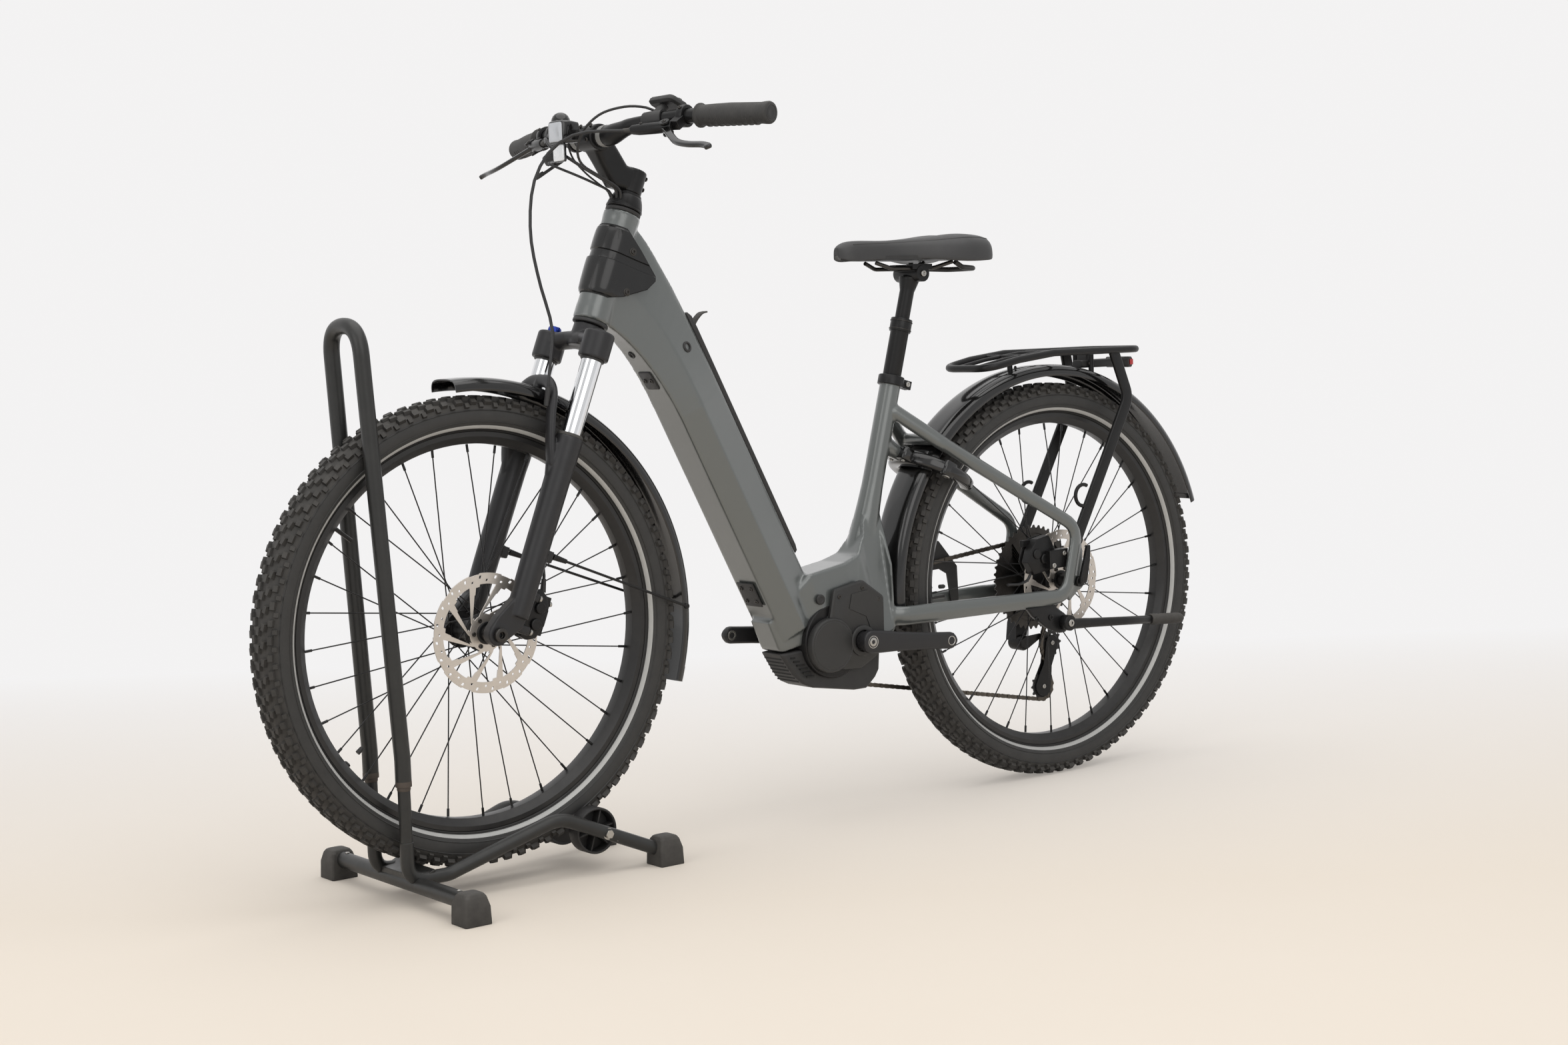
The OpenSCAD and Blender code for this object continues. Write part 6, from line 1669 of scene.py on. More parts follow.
    # Display: a wedge with keys on its clamp beside the left grip
    seat = moved(AT_BAR, *DISPLAY_AT) @ Matrix.Rotation(radians(-26), 4, "Y")
    s = Shape()
    shell = [(-1, 0.8, 0.9), (2.5, 1, 1), (7, 0.98, 0.98), (10.2, 0.86, 0.9)]
    s.loft([[Vector((x * a, y * b, z)) for x, y in rounded_ring(19, 30.6, 8, 5)] for z, a, b in shell], place=seat)
    arm = spline([(-18, 138, 14), (-26, 140, 26), (-38, 140, 36)], 4)
    s.sweep(arm, circle_ring(7.5, 9, 16), place=AT_BAR, up=(0, 1, 0))
    clamp_at = Vector((-20, 140, 14.5))
    clamp_place = axes_at(AT_BAR @ clamp_at, Vector((0, 0, 1)).cross(BAR_KNEE - BAR_BEND), BAR_KNEE - BAR_BEND)
    s.turned(collar(11.4, 14.4, 15, -17, 17), axis="Z", place=clamp_place, closed=True)
    piece("display_case", s, "steering", "matte plastic", ["display"], bevel=0.6)
    s = Shape()
    s.sweep([(0, 0, 10), (0, 0, 10.9)], rounded_ring(13.5, 21, 4), place=seat, up=(0, 1, 0))
    piece("display_screen", s, "steering", "screen", bevel=0.3)
    s = Shape()
    for x, y in ((-12, -24), (0, -24), (12, -24), (0, 26)):
        s.sweep([(x, y, 8), (x, y, 10.7)], rounded_ring(3.6, 3.2, 2), place=seat, up=(0, 1, 0))
    piece("display_keys", s, "steering", "key cap", bevel=0.4)

    # Headlight: housing, clear front, mirror, and the reflector under it
    s = Shape(AT_BAR)
    case = [(33, 13, 12), (36, 17, 15.4), (50, 20, 17), (66, 20.6, 17.4), (67.6, 19.6, 16.6)]
    s.sweep([(x, 0, 7) for x, _, _ in case], lambda i: rounded_ring(case[i][1], case[i][2], 5))
    s.block((5, 6, 6), (31, 0, 2))
    s.loft([[Vector((x, y, -24 + z)) for y, z in rounded_ring(15.8, 13.8, 3)] for x in (59.4, 62.4)])
    s.rod((61, -6, -12), (61, -6, -8), 3)
    s.rod((61, 6, -12), (61, 6, -8), 3)
    piece("headlight_case", s, "steering", "gloss plastic", ["headlight"], bevel=0.6)
    s = Shape()
    s.sweep([(66.8, 0, 7), (68.6, 0, 7), (70.2, 0, 7)], lambda i: rounded_ring([18.6, 18.2, 14][i], [15.4, 15, 11][i],
            4.4), place=AT_BAR)
    piece("headlight_lens", s, "steering", "clear lens")
    s = Shape()
    dish = [(67.62, 17.4, 14.2), (67.9, 17, 13.8), (67.95, 9, 7)]
    s.sweep([(x, 0, 7.5) for x, _, _ in dish], lambda i: rounded_ring(dish[i][1], dish[i][2], 3), place=AT_BAR)
    piece("headlight_mirror", s, "steering", "lamp mirror")
    s = Shape()
    s.loft([[Vector((x, y, -24 + z)) for y, z in rounded_ring(a, b, 3)] for x, a, b in ((62, 14.2, 12.2),
            (64, 14.2, 12.2), (64.8, 13.2, 11.2))], place=AT_BAR)
    piece("front_reflector", s, "steering", "reflector")

    # Bell: a turned dome with its striker
    s = Shape()
    bell = moved(AT_BAR, 14, -68, 28)
    s.turned([(0, 16.4), (4, 16), (8.4, 14.2), (12, 10.8), (14.4, 6), (15.4, 1.2), (15.5, 0), (14.2, 0), (13.8, 2),
              (0, 2)], axis="Z", place=bell, steps=48)
    piece("bell_dome", s, "steering", "gloss plastic", ["bell"])
    s = Shape(AT_BAR)
    s.turned(collar(16, 18.6, 18.9, -51, -44), closed=True)
    s.rod((10, -48, 18), (14, -68, 27), 4.4, 3.6)
    s.turned(band(0, 11.4, 0, 1.8), axis="Z", place=bell, steps=32)
    s.rod((14, -52, 29), (15, -58, 31), 2.4)
    piece("bell_base", s, "steering", "matte plastic", bevel=0.4)

    # Shifter pod under the right side, and its thumb lever
    hand = MIRROR @ AT_GRIP
    s = Shape()
    pod = moved(hand, 22, -30, -28)
    s.turned([(0, -9), (16, -9), (18.6, -6.4), (18.8, 4), (17, 7.4), (11, 9), (0, 9.2)], axis="Z", place=pod)
    s.block((9.6, 6.6, 12), (4, -29, -12), place=hand)
    s.turned(collar(11.5, 14.4, 14.8, -36, -24), place=hand, closed=True)
    s.rod((26, -46, -30), (30, -60, -32), 5, 3.6, place=hand)
    piece("shifter_pod", s, "steering", "matte plastic", ["shifter"], bevel=0.7)
    s = Shape()
    thumb = [(-2, 5), (10, 6), (26, 6.6), (36, 8.6), (42, 8.4), (46, 5)]
    s.loft([[Vector((x, y, z - 13.8)) for y, z in rounded_ring(half_y, 2.2, 1.6)] for x, half_y in thumb], place=pod)
    s.turned(band(0, 8.6, -16.2, -9.6), axis="Z", place=pod, steps=28)
    s.turned([(0, -16), (7.4, -16), (8.6, -13), (8, -9.4), (0, -8.8)], axis="Z", place=moved(pod, 38, 0, 0), steps=28)
    piece("shift_thumb_lever", s, "shift_lever", "matte plastic", ["shift_lever"], bevel=0.5)


class BICYCLE_OT_cockpit(bpy.types.Operator):
    """Build the stem, bar, grips, brake levers, display, headlight, bell and shifter"""
    bl_idname = "bicycle.cockpit"
    bl_label = "Cockpit"

    def execute(self, context):
        build_cockpit()
        return {"FINISHED"}


# ---- saddle ----

RAIL = SEAT_FOOT + SEAT_UP * 640
AT_RAIL = Matrix.Translation(RAIL)
AT_SADDLE = Matrix.Translation(RAIL + Vector((10, 0, 14)))
SIDE_POWER, CROWN_POWER = 0.56, 0.62
SEAM_SHARE = 0.80


def curved(x, table):
    """Value at x on a smooth curve through a list of pairs."""
    n = len(table)
    for i in range(n - 1):
        (a, va), (b, vb) = table[i], table[i + 1]
        if x <= b or i == n - 2:
            before, after = table[max(i - 1, 0)], table[min(i + 2, n - 1)]
            m0 = (vb - before[1]) / (b - before[0]) * (b - a)
            m1 = (after[1] - va) / (after[0] - a) * (b - a)
            t = min(1.0, max(0.0, (x - a) / (b - a)))
            return ((2 * t ** 3 - 3 * t ** 2 + 1) * va + (t ** 3 - 2 * t ** 2 + t) * m0
                    + (3 * t ** 2 - 2 * t ** 3) * vb + (t ** 3 - t ** 2) * m1)


def saddle_half(t):
    """Half width of the saddle at a share of its length from the tail."""
    end = sqrt(1 - 0.9 * max(0.0, (t - 0.9) / 0.1) ** 2) * sqrt(1 - 0.85 * max(0.0, 1 - t / 0.12) ** 2.4)
    return end * curved(t, [(0, 76), (0.12, 83), (0.24, 84), (0.38, 70), (0.52, 48), (0.66, 32), (0.8, 25),
                            (0.92, 22), (1.0, 20)])


def saddle_crown(t):
    return curved(t, [(0, 37), (0.1, 42), (0.24, 44.4), (0.45, 38.5), (0.7, 34.5), (0.9, 33.6), (1, 31)]) - 9 * max(
        0.0, (t - 0.9) / 0.1) ** 2 - 7 * max(0.0, 1 - t / 0.1) ** 2


def saddle_skirt(t):
    """Height of the lower edge of the cover's side."""
    return curved(t, [(0, 0), (0.12, -3), (0.28, -4), (0.5, 2), (0.75, 2.4), (0.9, 0), (1, -1)]) + 7 * max(
        0.0, (t - 0.9) / 0.1) ** 2 + 12 * max(0.0, 1 - t / 0.1) ** 2


def build_saddle():
    long, tail = 306.0, -152.0
    s = Shape()
    rings = []
    count = 30
    for i in range(count + 1):
        t = 0.5 - 0.5 * cos(pi * i / count)
        x = tail + long * t
        half = saddle_half(t)
        crown, skirt = saddle_crown(t), saddle_skirt(t)
        ring = []
        for k in range(33):
            a = pi * k / 32
            c, sn = cos(a), sin(a)
            y = half * copysign(abs(c) ** SIDE_POWER, c)
            z = skirt + (crown - skirt) * sn ** CROWN_POWER
            # Shallow channel along the middle, deepest at the tail
            dip = lookup(t, [(0, 4.4), (0.3, 3.6), (0.62, 2.2), (0.85, 0)])
            z -= dip * exp(-(y / 15) ** 2)
            ring.append(Vector((x, y, z)))
        # Turned-in hem and the hollow underside, round the shell
        for y, lift in ((-0.97, 0), (-0.93, 3.2), (-0.6, 5.5), (0.6, 5.5), (0.93, 3.2), (0.97, 0)):
            ring.append(Vector((x, half * y, skirt - 1.6 + lift)))
        rings.append(ring)
    s.loft(rings, place=AT_SADDLE)
    obj = piece("saddle_cushion", s, "seat", "leather cloth", ["saddle_pad"], smooth=1)

    # Stitched seams along both sides, and the rim of the cover
    seam = Shape()
    for side in (1, -1):
        run = []
        for i in range(46):
            t = 0.06 + 0.86 * i / 45
            crown, skirt = saddle_crown(t), saddle_skirt(t)
            c = SEAM_SHARE ** (1 / SIDE_POWER)
            rise = sqrt(1 - c * c) ** CROWN_POWER
            run.append(Vector((tail + long * t, side * saddle_half(t) * SEAM_SHARE,
                               skirt + (crown - skirt) * rise - 0.2)))
        seam.sweep(run, circle_ring(0.9, 0.7, 8), place=AT_SADDLE, up=(0, side, 0.4))
    piece("saddle_seams", seam, "seat", "saddle side")
    dress("saddle_base", coat("matte plastic"), 1.2)
    s = Shape()
    under = []
    for i in range(25):
        t = 0.02 + 0.955 * i / 24
        half = saddle_half(t) * 0.95
        x = tail + long * t
        base = lookup(t, [(0, 14), (0.12, 6), (0.4, 5.5), (0.8, 3), (1, 12)])
        under.append([Vector((x, half * c, base + z)) for c, z in ((-1, 3.5), (-0.97, 0.8), (-0.8, -0.4),
                (-0.4, -1.2), (0, -1.5), (0.4, -1.2), (0.8, -0.4), (0.97, 0.8), (1, 3.5))])
    s.loft(under, place=AT_SADDLE)
    piece("saddle_shell", s, "seat", "matte plastic", angle=60)

    # Rails, tail bumper and the yoke of the post
    s = Shape()
    for side in (1, -1):
        rail = fillet([(90, 14, 10.2), (62, 22, 0), (-32, 22, 0), (-62, 38, 10.2)], 24, 8)
        s.sweep([RAIL + Vector((p.x, side * p.y, p.z)) for p in rail], circle_ring(3.5, count=16))
    piece("saddle_rail_rods", s, "seat", ("dark steel", "black_metal"), ["saddle_rails"])
    s = Shape()
    loop = fillet([(-60, 46, 9.2), (-76, 46, 0), (-116, 34, -2), (-122, 0, -2), (-116, -34, -2), (-76, -46, 0),
                   (-60, -46, 9.2)], [14, 20, 30, 20, 14], 8)
    s.sweep([RAIL + p for p in loop], circle_ring(4.4, count=16))
    piece("saddle_tail_bumper", s, "seat", "matte plastic")
    dress("seatpost_inner", coat("black metal"), 0.7)
    s = Shape(AT_RAIL)
    for side in (1, -1):
        s.screw((0, side * 31.2, -9), (0, side, 0), 5.6, 3)
    s.screw((0, 0, -12.5), (0, 0, -1), 4.6, 3)
    piece("saddle_yoke_bolts", s, "seat", "bare steel", bevel=0.3)


class BICYCLE_OT_saddle(bpy.types.Operator):
    """Build the padded saddle with its seams, shell, rails and the top of its post"""
    bl_idname = "bicycle.saddle"
    bl_label = "Saddle"

    def execute(self, context):
        build_saddle()
        return {"FINISHED"}


# ---- mudguards, rack, lock and lights ----

def guard_section(r, half=37.0):
    """Thin bowed section of a mudguard of outer radius r, as (radius, across)."""
    outer = []
    for k in range(21):
        t = -1 + 2 * k / 20
        y = half * sin(t * pi / 2 * 0.995)
        drop = 19 * (abs(t) ** 3.2)
        outer.append((r - drop, y * (0.995 if abs(t) > 0.98 else 1)))
    inner = [(q - 2 if abs(y) < half * 0.8 else q - 0.6, y * (half - 2) / half) for q, y in outer[::-1]]
    lip = [(outer[-1][0] - 1.2, half - 0.9)]
    return outer + lip + inner + [(lip[0][0], -lip[0][1])]


def build_mudguards():
    rear = node_box("rear_mudguard")[1].z - REAR_AXLE.z
    s = Shape(AT_REAR)
    s.turned(guard_section(rear - 0.2), start=-4, end=162, steps=140, closed=True)
    s.turned([(rear - 0.3, -26), (rear, 0), (rear - 0.3, 26), (rear - 3.6, 26), (rear - 3.4, -26)],
             start=160.5, end=161.8, steps=3, closed=True)
    piece("rear_mudguard_shell", s, "frame", "gloss plastic", ["rear_mudguard"], angle=48)
    s = Shape(AT_FRONT)
    front = TYRE_R + 27
    s.turned(guard_section(front - 0.2), start=85, end=198, steps=110, closed=True)
    s.turned(guard_section(front + 0.3, 37.2), start=194.5, end=198.2, steps=5, closed=True)
    piece("front_mudguard_shell", s, "fork_lower", "gloss plastic", ["front_mudguard"], angle=48)
    s = Shape(AT_STEER)
    for side in (1, -1):
        wire = spline([(-9, side * 63, 138), (-24, side * 62, 138), (-160, side * 50, 139), (-294, side * 37.4, 140)],
                      10)
        s.sweep(wire, circle_ring(2.1, count=10))
        s.rod((-14, side * 62.6, 138), (-40, side * 61.2, 138), 5, 3.6)
        s.turned([(0, -2), (4.4, -2), (4.4, 0.8), (3, 2), (0, 2)], place=moved(AT_STEER, -294, side * 38.5, 140)
                 @ across_to(side), steps=16)
    piece("front_guard_stays", s, "fork_lower", "black metal")


class BICYCLE_OT_mudguards(bpy.types.Operator):
    """Build both glossy mudguards, their end flaps and the wire stays"""
    bl_idname = "bicycle.mudguards"
    bl_label = "Mudguards"

    def execute(self, context):
        build_mudguards()
        return {"FINISHED"}


RACK_Z = 760
RACK_HALF = 64
STRUT_Y = 70.2


def build_rack():
    base = Vector((REAR_AXLE.x, 0, 0))
    s = Shape()
    low = RACK_Z - 14
    left = [(-194, RACK_HALF, RACK_Z), (28, RACK_HALF, RACK_Z), (112, RACK_HALF - 1, RACK_Z - 9),
            (181, RACK_HALF - 4, low - 8)]
    corner = [(-194, 0, RACK_Z)] + left + [(x, -y, z) for x, y, z in left[::-1]] + [(-194, 0, RACK_Z)]
    hoop = fillet(corner, [34, 60, 60, 42, 42, 60, 60, 34], 9)[:-1]
    s.sweep([base + p for p in hoop], circle_ring(6.4, count=18), closed=True)
    for x in (-108, -20, 75):
        z = RACK_Z if x < 62 else RACK_Z - 4.5
        s.rod(base + Vector((x, -RACK_HALF, z)), base + Vector((x, RACK_HALF, z)), 3.6, count=14)
    for side in (1, -1):
        inner = fillet([(-192, 24, RACK_Z), (28, 24, RACK_Z), (112, 24, RACK_Z - 9), (180, 24, low - 7)], 60, 6)
        s.sweep([base + Vector((p.x, side * p.y, p.z)) for p in inner], circle_ring(3.5, count=14))
        # Flat strut from the dropout up to the deck, and the loop on it
        path = fillet([(-11, STRUT_Y, REAR_AXLE.z + 74), (-150, STRUT_Y, RACK_Z - 86),
                       (-124, RACK_HALF - 2, RACK_Z - 3)], 40, 8)
        s.sweep([base + Vector((p.x, side * p.y, p.z)) for p in path], rounded_ring(3.9, 11.6, 3), up=(1, 0, 0.6))
        eye = base + path[0]
        s.turned(collar(0, 12, 12.6, -4, 4), place=Matrix.Translation((eye.x, side * STRUT_Y, eye.z)), steps=28)
        ring = []
        for k in range(25):
            a = radians(-118 + 216 * k / 24)
            ring.append(Vector((base.x - 30 + 19 * cos(a), side * STRUT_Y, REAR_AXLE.z + 151 - 19 * sin(a))))
        s.sweep(ring, circle_ring(3.4, count=14), up=(0, 1, 0))
        s.rod(base + Vector((-108, side * 20, 719)), base + Vector((-108, side * 20, RACK_Z)), 4.8, count=16)
    s.rod(base + Vector((75, 0, 729)), base + Vector((75, 0, RACK_Z - 4)), 4.8, count=16)
    piece("rack_tubes", s, "frame", "black metal", ["rear_rack"], angle=40)
    s = Shape()
    for side in (1, -1):
        s.screw(base + Vector((-11, side * 74.4, REAR_AXLE.z + 74)), (0, side, 0), 5, 3)
        for x in (-104, 70):
            s.screw(base + Vector((x, side * (8 if x > 0 else 20), 736)), (0, side, 0), 3, 2)
    piece("rack_screws", s, "frame", "dark steel", bevel=0.3)

    # Tail light under the rear of the deck: black case, red lens, cable box
    s = Shape()
    back = base + Vector((0, 0, RACK_Z - 24))
    case = [(-208, 27, 8), (-204, 29.6, 9.8), (-196, 29.6, 9.8), (-192, 26, 8.4), (-188, 14, 7.4), (-96, 13.6, 7.2),
            (-92.4, 12, 6)]
    s.sweep([back + Vector((x, 0, 0)) for x, _, _ in case], lambda i: rounded_ring(case[i][1], case[i][2], 4))
    s.block((5, 11.5, 6), back + Vector((-108, 0, 11)))
    piece("tail_light_case", s, "frame", "matte plastic", ["tail_light"], bevel=0.7)
    s = Shape()
    lens = [(-207, 26, 7.4), (-211, 25.4, 6.8), (-211.8, 22, 4.6)]
    s.sweep([back + Vector((x, 0, 0)) for x, _, _ in lens], lambda i: rounded_ring(lens[i][1], lens[i][2], 4))
    s.block((4, 1.2, 5), back + Vector((-202, 29.8, 0)))
    s.block((4, 1.2, 5), back + Vector((-202, -29.8, 0)))
    piece("tail_light_lens", s, "frame", "red lens", bevel=0.5)


class BICYCLE_OT_rack(bpy.types.Operator):
    """Build the luggage rack with its struts, bag loops and tail light"""
    bl_idname = "bicycle.rack"
    bl_label = "Luggage rack"

    def execute(self, context):
        build_rack()
        return {"FINISHED"}


def lock_arc(radius, start, end, count=40):
    return [Vector((radius * cos(radians(start + (end - start) * k / count)),
                    radius * sin(radians(start + (end - start) * k / count)), 0)) for k in range(count + 1)]


def build_ring_lock():
    s = Shape(AT_LOCK)
    arc = lock_arc(65, 50, 310, 64)

    def ring(i):
        a = 50 + 260 * i / 64
        wide = 10.6 + 3.0 * exp(-((a - 180) / 46) ** 2)
        return rounded_ring(11.4, wide, 7.5, 5)

    s.sweep(arc, ring)
    s.loft([[Vector((-77 + x * k, y * k, z)) for x, y in rounded_ring(13.6, 26, 8, 5)]
            for z, k in ((-11, 0.93), (-9, 1), (9, 1), (11, 0.93))])
    s.loft([[Vector((-21 + x * k, 67 + y * k, z)) for x, y in rounded_ring(13, 6.6, 5, 5)]
            for z, k in ((-13, 0.9), (-11, 1), (11, 1), (13, 0.9))])
    piece("ring_lock_case", s, "frame", "gloss plastic", ["ring_lock"], bevel=0.8, angle=50)
    s = Shape()
    s.turned([(2.2, 13), (6.4, 13), (6.8, 14), (6, 15), (2.2, 15)], axis="Z", place=moved(AT_LOCK, -21, 67, 0),
             closed=True)
    for y in (-16, 16):
        s.screw((-80, y, 10.8), (0, 0, 1), 3.8, 2, place=AT_LOCK)
    for a in (50, 310):
        t = radians(a)
        s.turned(band(4.9, 8.6, -1.2, 1.2), place=AT_LOCK
                 @ Matrix.Translation((65 * cos(t), 65 * sin(t), 0)) @ Matrix.Rotation(t, 4, "Z"), closed=True)
    piece("ring_lock_metal", s, "frame", "bare steel", bevel=0.3)
    s = Shape()
    s.sweep(lock_arc(65, 41, 150, 48), circle_ring(4.4, count=16), place=AT_LOCK)
    piece("ring_lock_bolt", s, "lock_bolt", "bare steel", ["lock_bolt"])


class BICYCLE_OT_ring_lock(bpy.types.Operator):
    """Build the horseshoe lock round the rear wheel, with its bolt and screws"""
    bl_idname = "bicycle.ring_lock"
    bl_label = "Ring lock"

    def execute(self, context):
        build_ring_lock()
        return {"FINISHED"}


# ---- kickstand and floor stand ----

def build_kickstand():
    y = STAY_Y + 9.5
    s = Shape()
    s.turned([(0, 83.6), (13, 83.6), (13.8, 84.6), (13.8, 98), (12.6, 99.3), (0, 99.3)],
             place=moved(AT_REAR, 36, 0, -70))
    rod = [(34, 8.6, 9.4), (10, 8.4, 9), (-20, 7.6, 8.2), (-100, 7.2, 7.6), (-176, 7, 7.2)]
    s.sweep([(x, y + (0.4 if x > 0 else 0), -72 - (34 - x) * 14 / 210) for x, _, _ in rod],
            lambda i: rounded_ring(rod[i][1], rod[i][2], 5, 5), place=AT_REAR, round_ends=2)
    s.turned(band(0, 3.9, 73, 84), place=moved(AT_REAR, 36, 0, -70), steps=20)
    piece("kickstand_leg", s, "kickstand", "black metal", ["kickstand"], bevel=0.6, angle=44)
    s = Shape()
    foot = [(-172, 9.2), (-176, 10.2), (-190, 10.2), (-194, 9.4), (-198, 10.2), (-240, 10), (-250, 9), (-256, 6)]
    s.sweep([(x, y, -72 - (34 - x) * 14 / 210) for x, _ in foot],
            lambda i: circle_ring(foot[i][1], count=20), place=AT_REAR)
    piece("kickstand_foot", s, "kickstand", "soft rubber", angle=50)
    s = Shape()
    s.screw((36, 99.2, -70), (0, 1, 0), 6.4, 2.4, place=AT_REAR)
    piece("kickstand_bolt", s, "kickstand", "bare steel", bevel=0.3)


class BICYCLE_OT_kickstand(bpy.types.Operator):
    """Build the folding kickstand with its rubber foot"""
    bl_idname = "bicycle.kickstand"
    bl_label = "Kickstand"

    def execute(self, context):
        build_kickstand()
        return {"FINISHED"}


AT_STAND = Matrix.Translation((FRONT_AXLE.x, 0, 0))
CROSS_X = 140


def build_floor_stand():
    tubes, feet, metal = Shape(), Shape(), Shape()
    for side in (1, -1):
        path = fillet([(156, 50, 96), (156, 50, 38), (90, 52, 38), (-92, 73, 96), (-262, 94, 22)], [42, 42, 60], 10)
        tubes.sweep([(p.x, side * p.y, p.z) for p in path], circle_ring(10.4, count=20), place=AT_STAND, up=(1, 0, 0))
        tubes.rod((156, side * 50, 90), (156, side * 50, 200), 9.4, place=AT_STAND)
        # Rubber foot on the end of the side tube and on the end of the cross bar
        for x, y in ((-268, 94), (CROSS_X, 201)):
            levels = [(0, 21.6, 3), (1.5, 22, 4), (26, 21.2, 4), (40, 17.8, 5), (44.5, 15, 6), (45.8, 12, 6)]
            feet.loft([[Vector((x + px, side * y + py, z)) for px, py in rounded_ring(r, r, c, 4)]
                       for z, r, c in levels], place=AT_STAND)
        # Bolt through the tube and the cradle wheel
        metal.rod((-168, side * 36, 62), (-168, side * 92, 62), 3.9, place=AT_STAND)
        metal.turned(band(0, 7, 0, 5), place=moved(AT_STAND, -168, side * 90 if side > 0 else -95, 62), steps=6)
        metal.turned(band(4, 9, 0, 1.4), place=moved(AT_STAND, -168, side * 88.4 if side > 0 else -89.8, 62),
                     steps=28, closed=True)
        tubes.turned(band(4, 7.8, 0, 18), place=moved(AT_STAND, -168, side * 59.4 if side > 0 else -77.4, 62),
                     steps=28, closed=True)
    cross = [(y, 12.4) for y in (-192, -100, 0, 100, 192)]
    tubes.sweep([(CROSS_X, y, 30) for y, _ in cross], circle_ring(12.4, count=24), place=AT_STAND)
    # Bent plate on the cross bar that steadies the tyre
    under = FRONT_AXLE.z - sqrt(TYRE_R ** 2 - 116 ** 2) - 0.6
    plate = [(150, 31), (150, 45.2), (128, 45.2), (116, under), (113, under - 2), (126, 42.4), (132, 31)]
    rows = [[Vector((x, y, z)) for x, z in plate] for y in (-58, -57, 57, 58)]
    tubes.loft(rows, place=AT_STAND)
    piece("stand_tube_frame", tubes, "stand", "stand coat", ["stand_tubes"], bevel=0.7, angle=44)
    piece("stand_feet", feet, "stand", "soft rubber", bevel=1.0, angle=20)
    for side in (1, -1):
        for x, y in ((-178, 84), (-156, 80)):
            metal.screw((x - 6, side * (y + 7), 56 - (168 + x) * -0.42), (0, side, 0), 3.4, 1.6, place=AT_STAND)
        metal.screw((CROSS_X - 2, side * 52, 45), (0, 0, 1), 5, 3, place=AT_STAND)
        metal.screw((CROSS_X, side * 170, 42.2), (0, 0, 1), 3.4, 1.6, place=AT_STAND)
    piece("stand_bolts", metal, "stand", "bare steel", bevel=0.3)

    # Hoop: flattened arch whose ends slide over the side tubes
    s = Shape()
    arch = fillet([(156, 50, 178), (156, 50, 218), (190, 45, 846), (190, -45, 846), (156, -50, 218), (156, -50, 178)],
                  [60, 44.5, 44.5, 60], 12)
    s.sweep(arch, circle_ring(11.9, count=22), place=AT_STAND, up=(1, 0, 0))
    piece("stand_arch", s, "stand", "stand coat", ["stand_hoop"], angle=50)
    s = Shape()
    for side in (1, -1):
        at = moved(AT_STAND, 156, side * 50, 0)
        s.turned([(9.5, 172), (10.1, 174), (10.1, 178), (9.5, 179)], axis="Z", place=at, steps=40)
        s.turned([(11.95, 178), (12.05, 179), (12.05, 184), (11.95, 186)], axis="Z", place=at, steps=40)
    piece("stand_worn_joints", s, "stand", "worn sleeve")

    # Cradle wheels: a rim, a hub and six ribs
    s = Shape()
    inner = TYRE_W / 2 + 0.3
    for side in (1, -1):
        place = moved(AT_STAND, -168, 0, 62) @ across_to(side)
        s.turned([(31, inner + 2), (35, inner), (36, inner + 1.4), (36, inner + 24.6), (35, inner + 26),
                  (33, inner + 26), (32, inner + 25), (31.4, inner + 9)], place=place, closed=True)
        s.turned(band(4.2, 31.6, inner + 2, inner + 7), place=place, closed=True)
        s.turned([(4.2, inner + 6), (10, inner + 6), (10, inner + 23), (9, inner + 24), (4.2, inner + 24)],
                 place=place, closed=True)
        for k in range(6):
            turn = place @ Matrix.Rotation(radians(60 * k + 12), 4, "Y")
            s.block((11.5, 8.4, 1.3), (20.6, inner + 14, 0), place=turn)
    piece("cradle_wheels", s, "cradle_discs", "matte plastic", ["cradle_discs"], bevel=0.5)


class BICYCLE_OT_floor_stand(bpy.types.Operator):
    """Build the floor stand: bent side tubes, cross bar, feet, hoop and cradle wheels"""
    bl_idname = "bicycle.floor_stand"
    bl_label = "Floor stand"

    def execute(self, context):
        build_floor_stand()
        return {"FINISHED"}


# ---- hoses and cables ----

def add_cord(name, route, diameter, body, replaces=()):
    """A tube along a smooth line of 15 to 40 points."""
    path = evenly(route, 36)
    s = Shape()
    s.sweep(path, circle_ring(diameter / 2 / MM, count=12), up=(0.3, 0.2, 0.93))
    obj = piece(name, s, body, "hose black", replaces, angle=60)


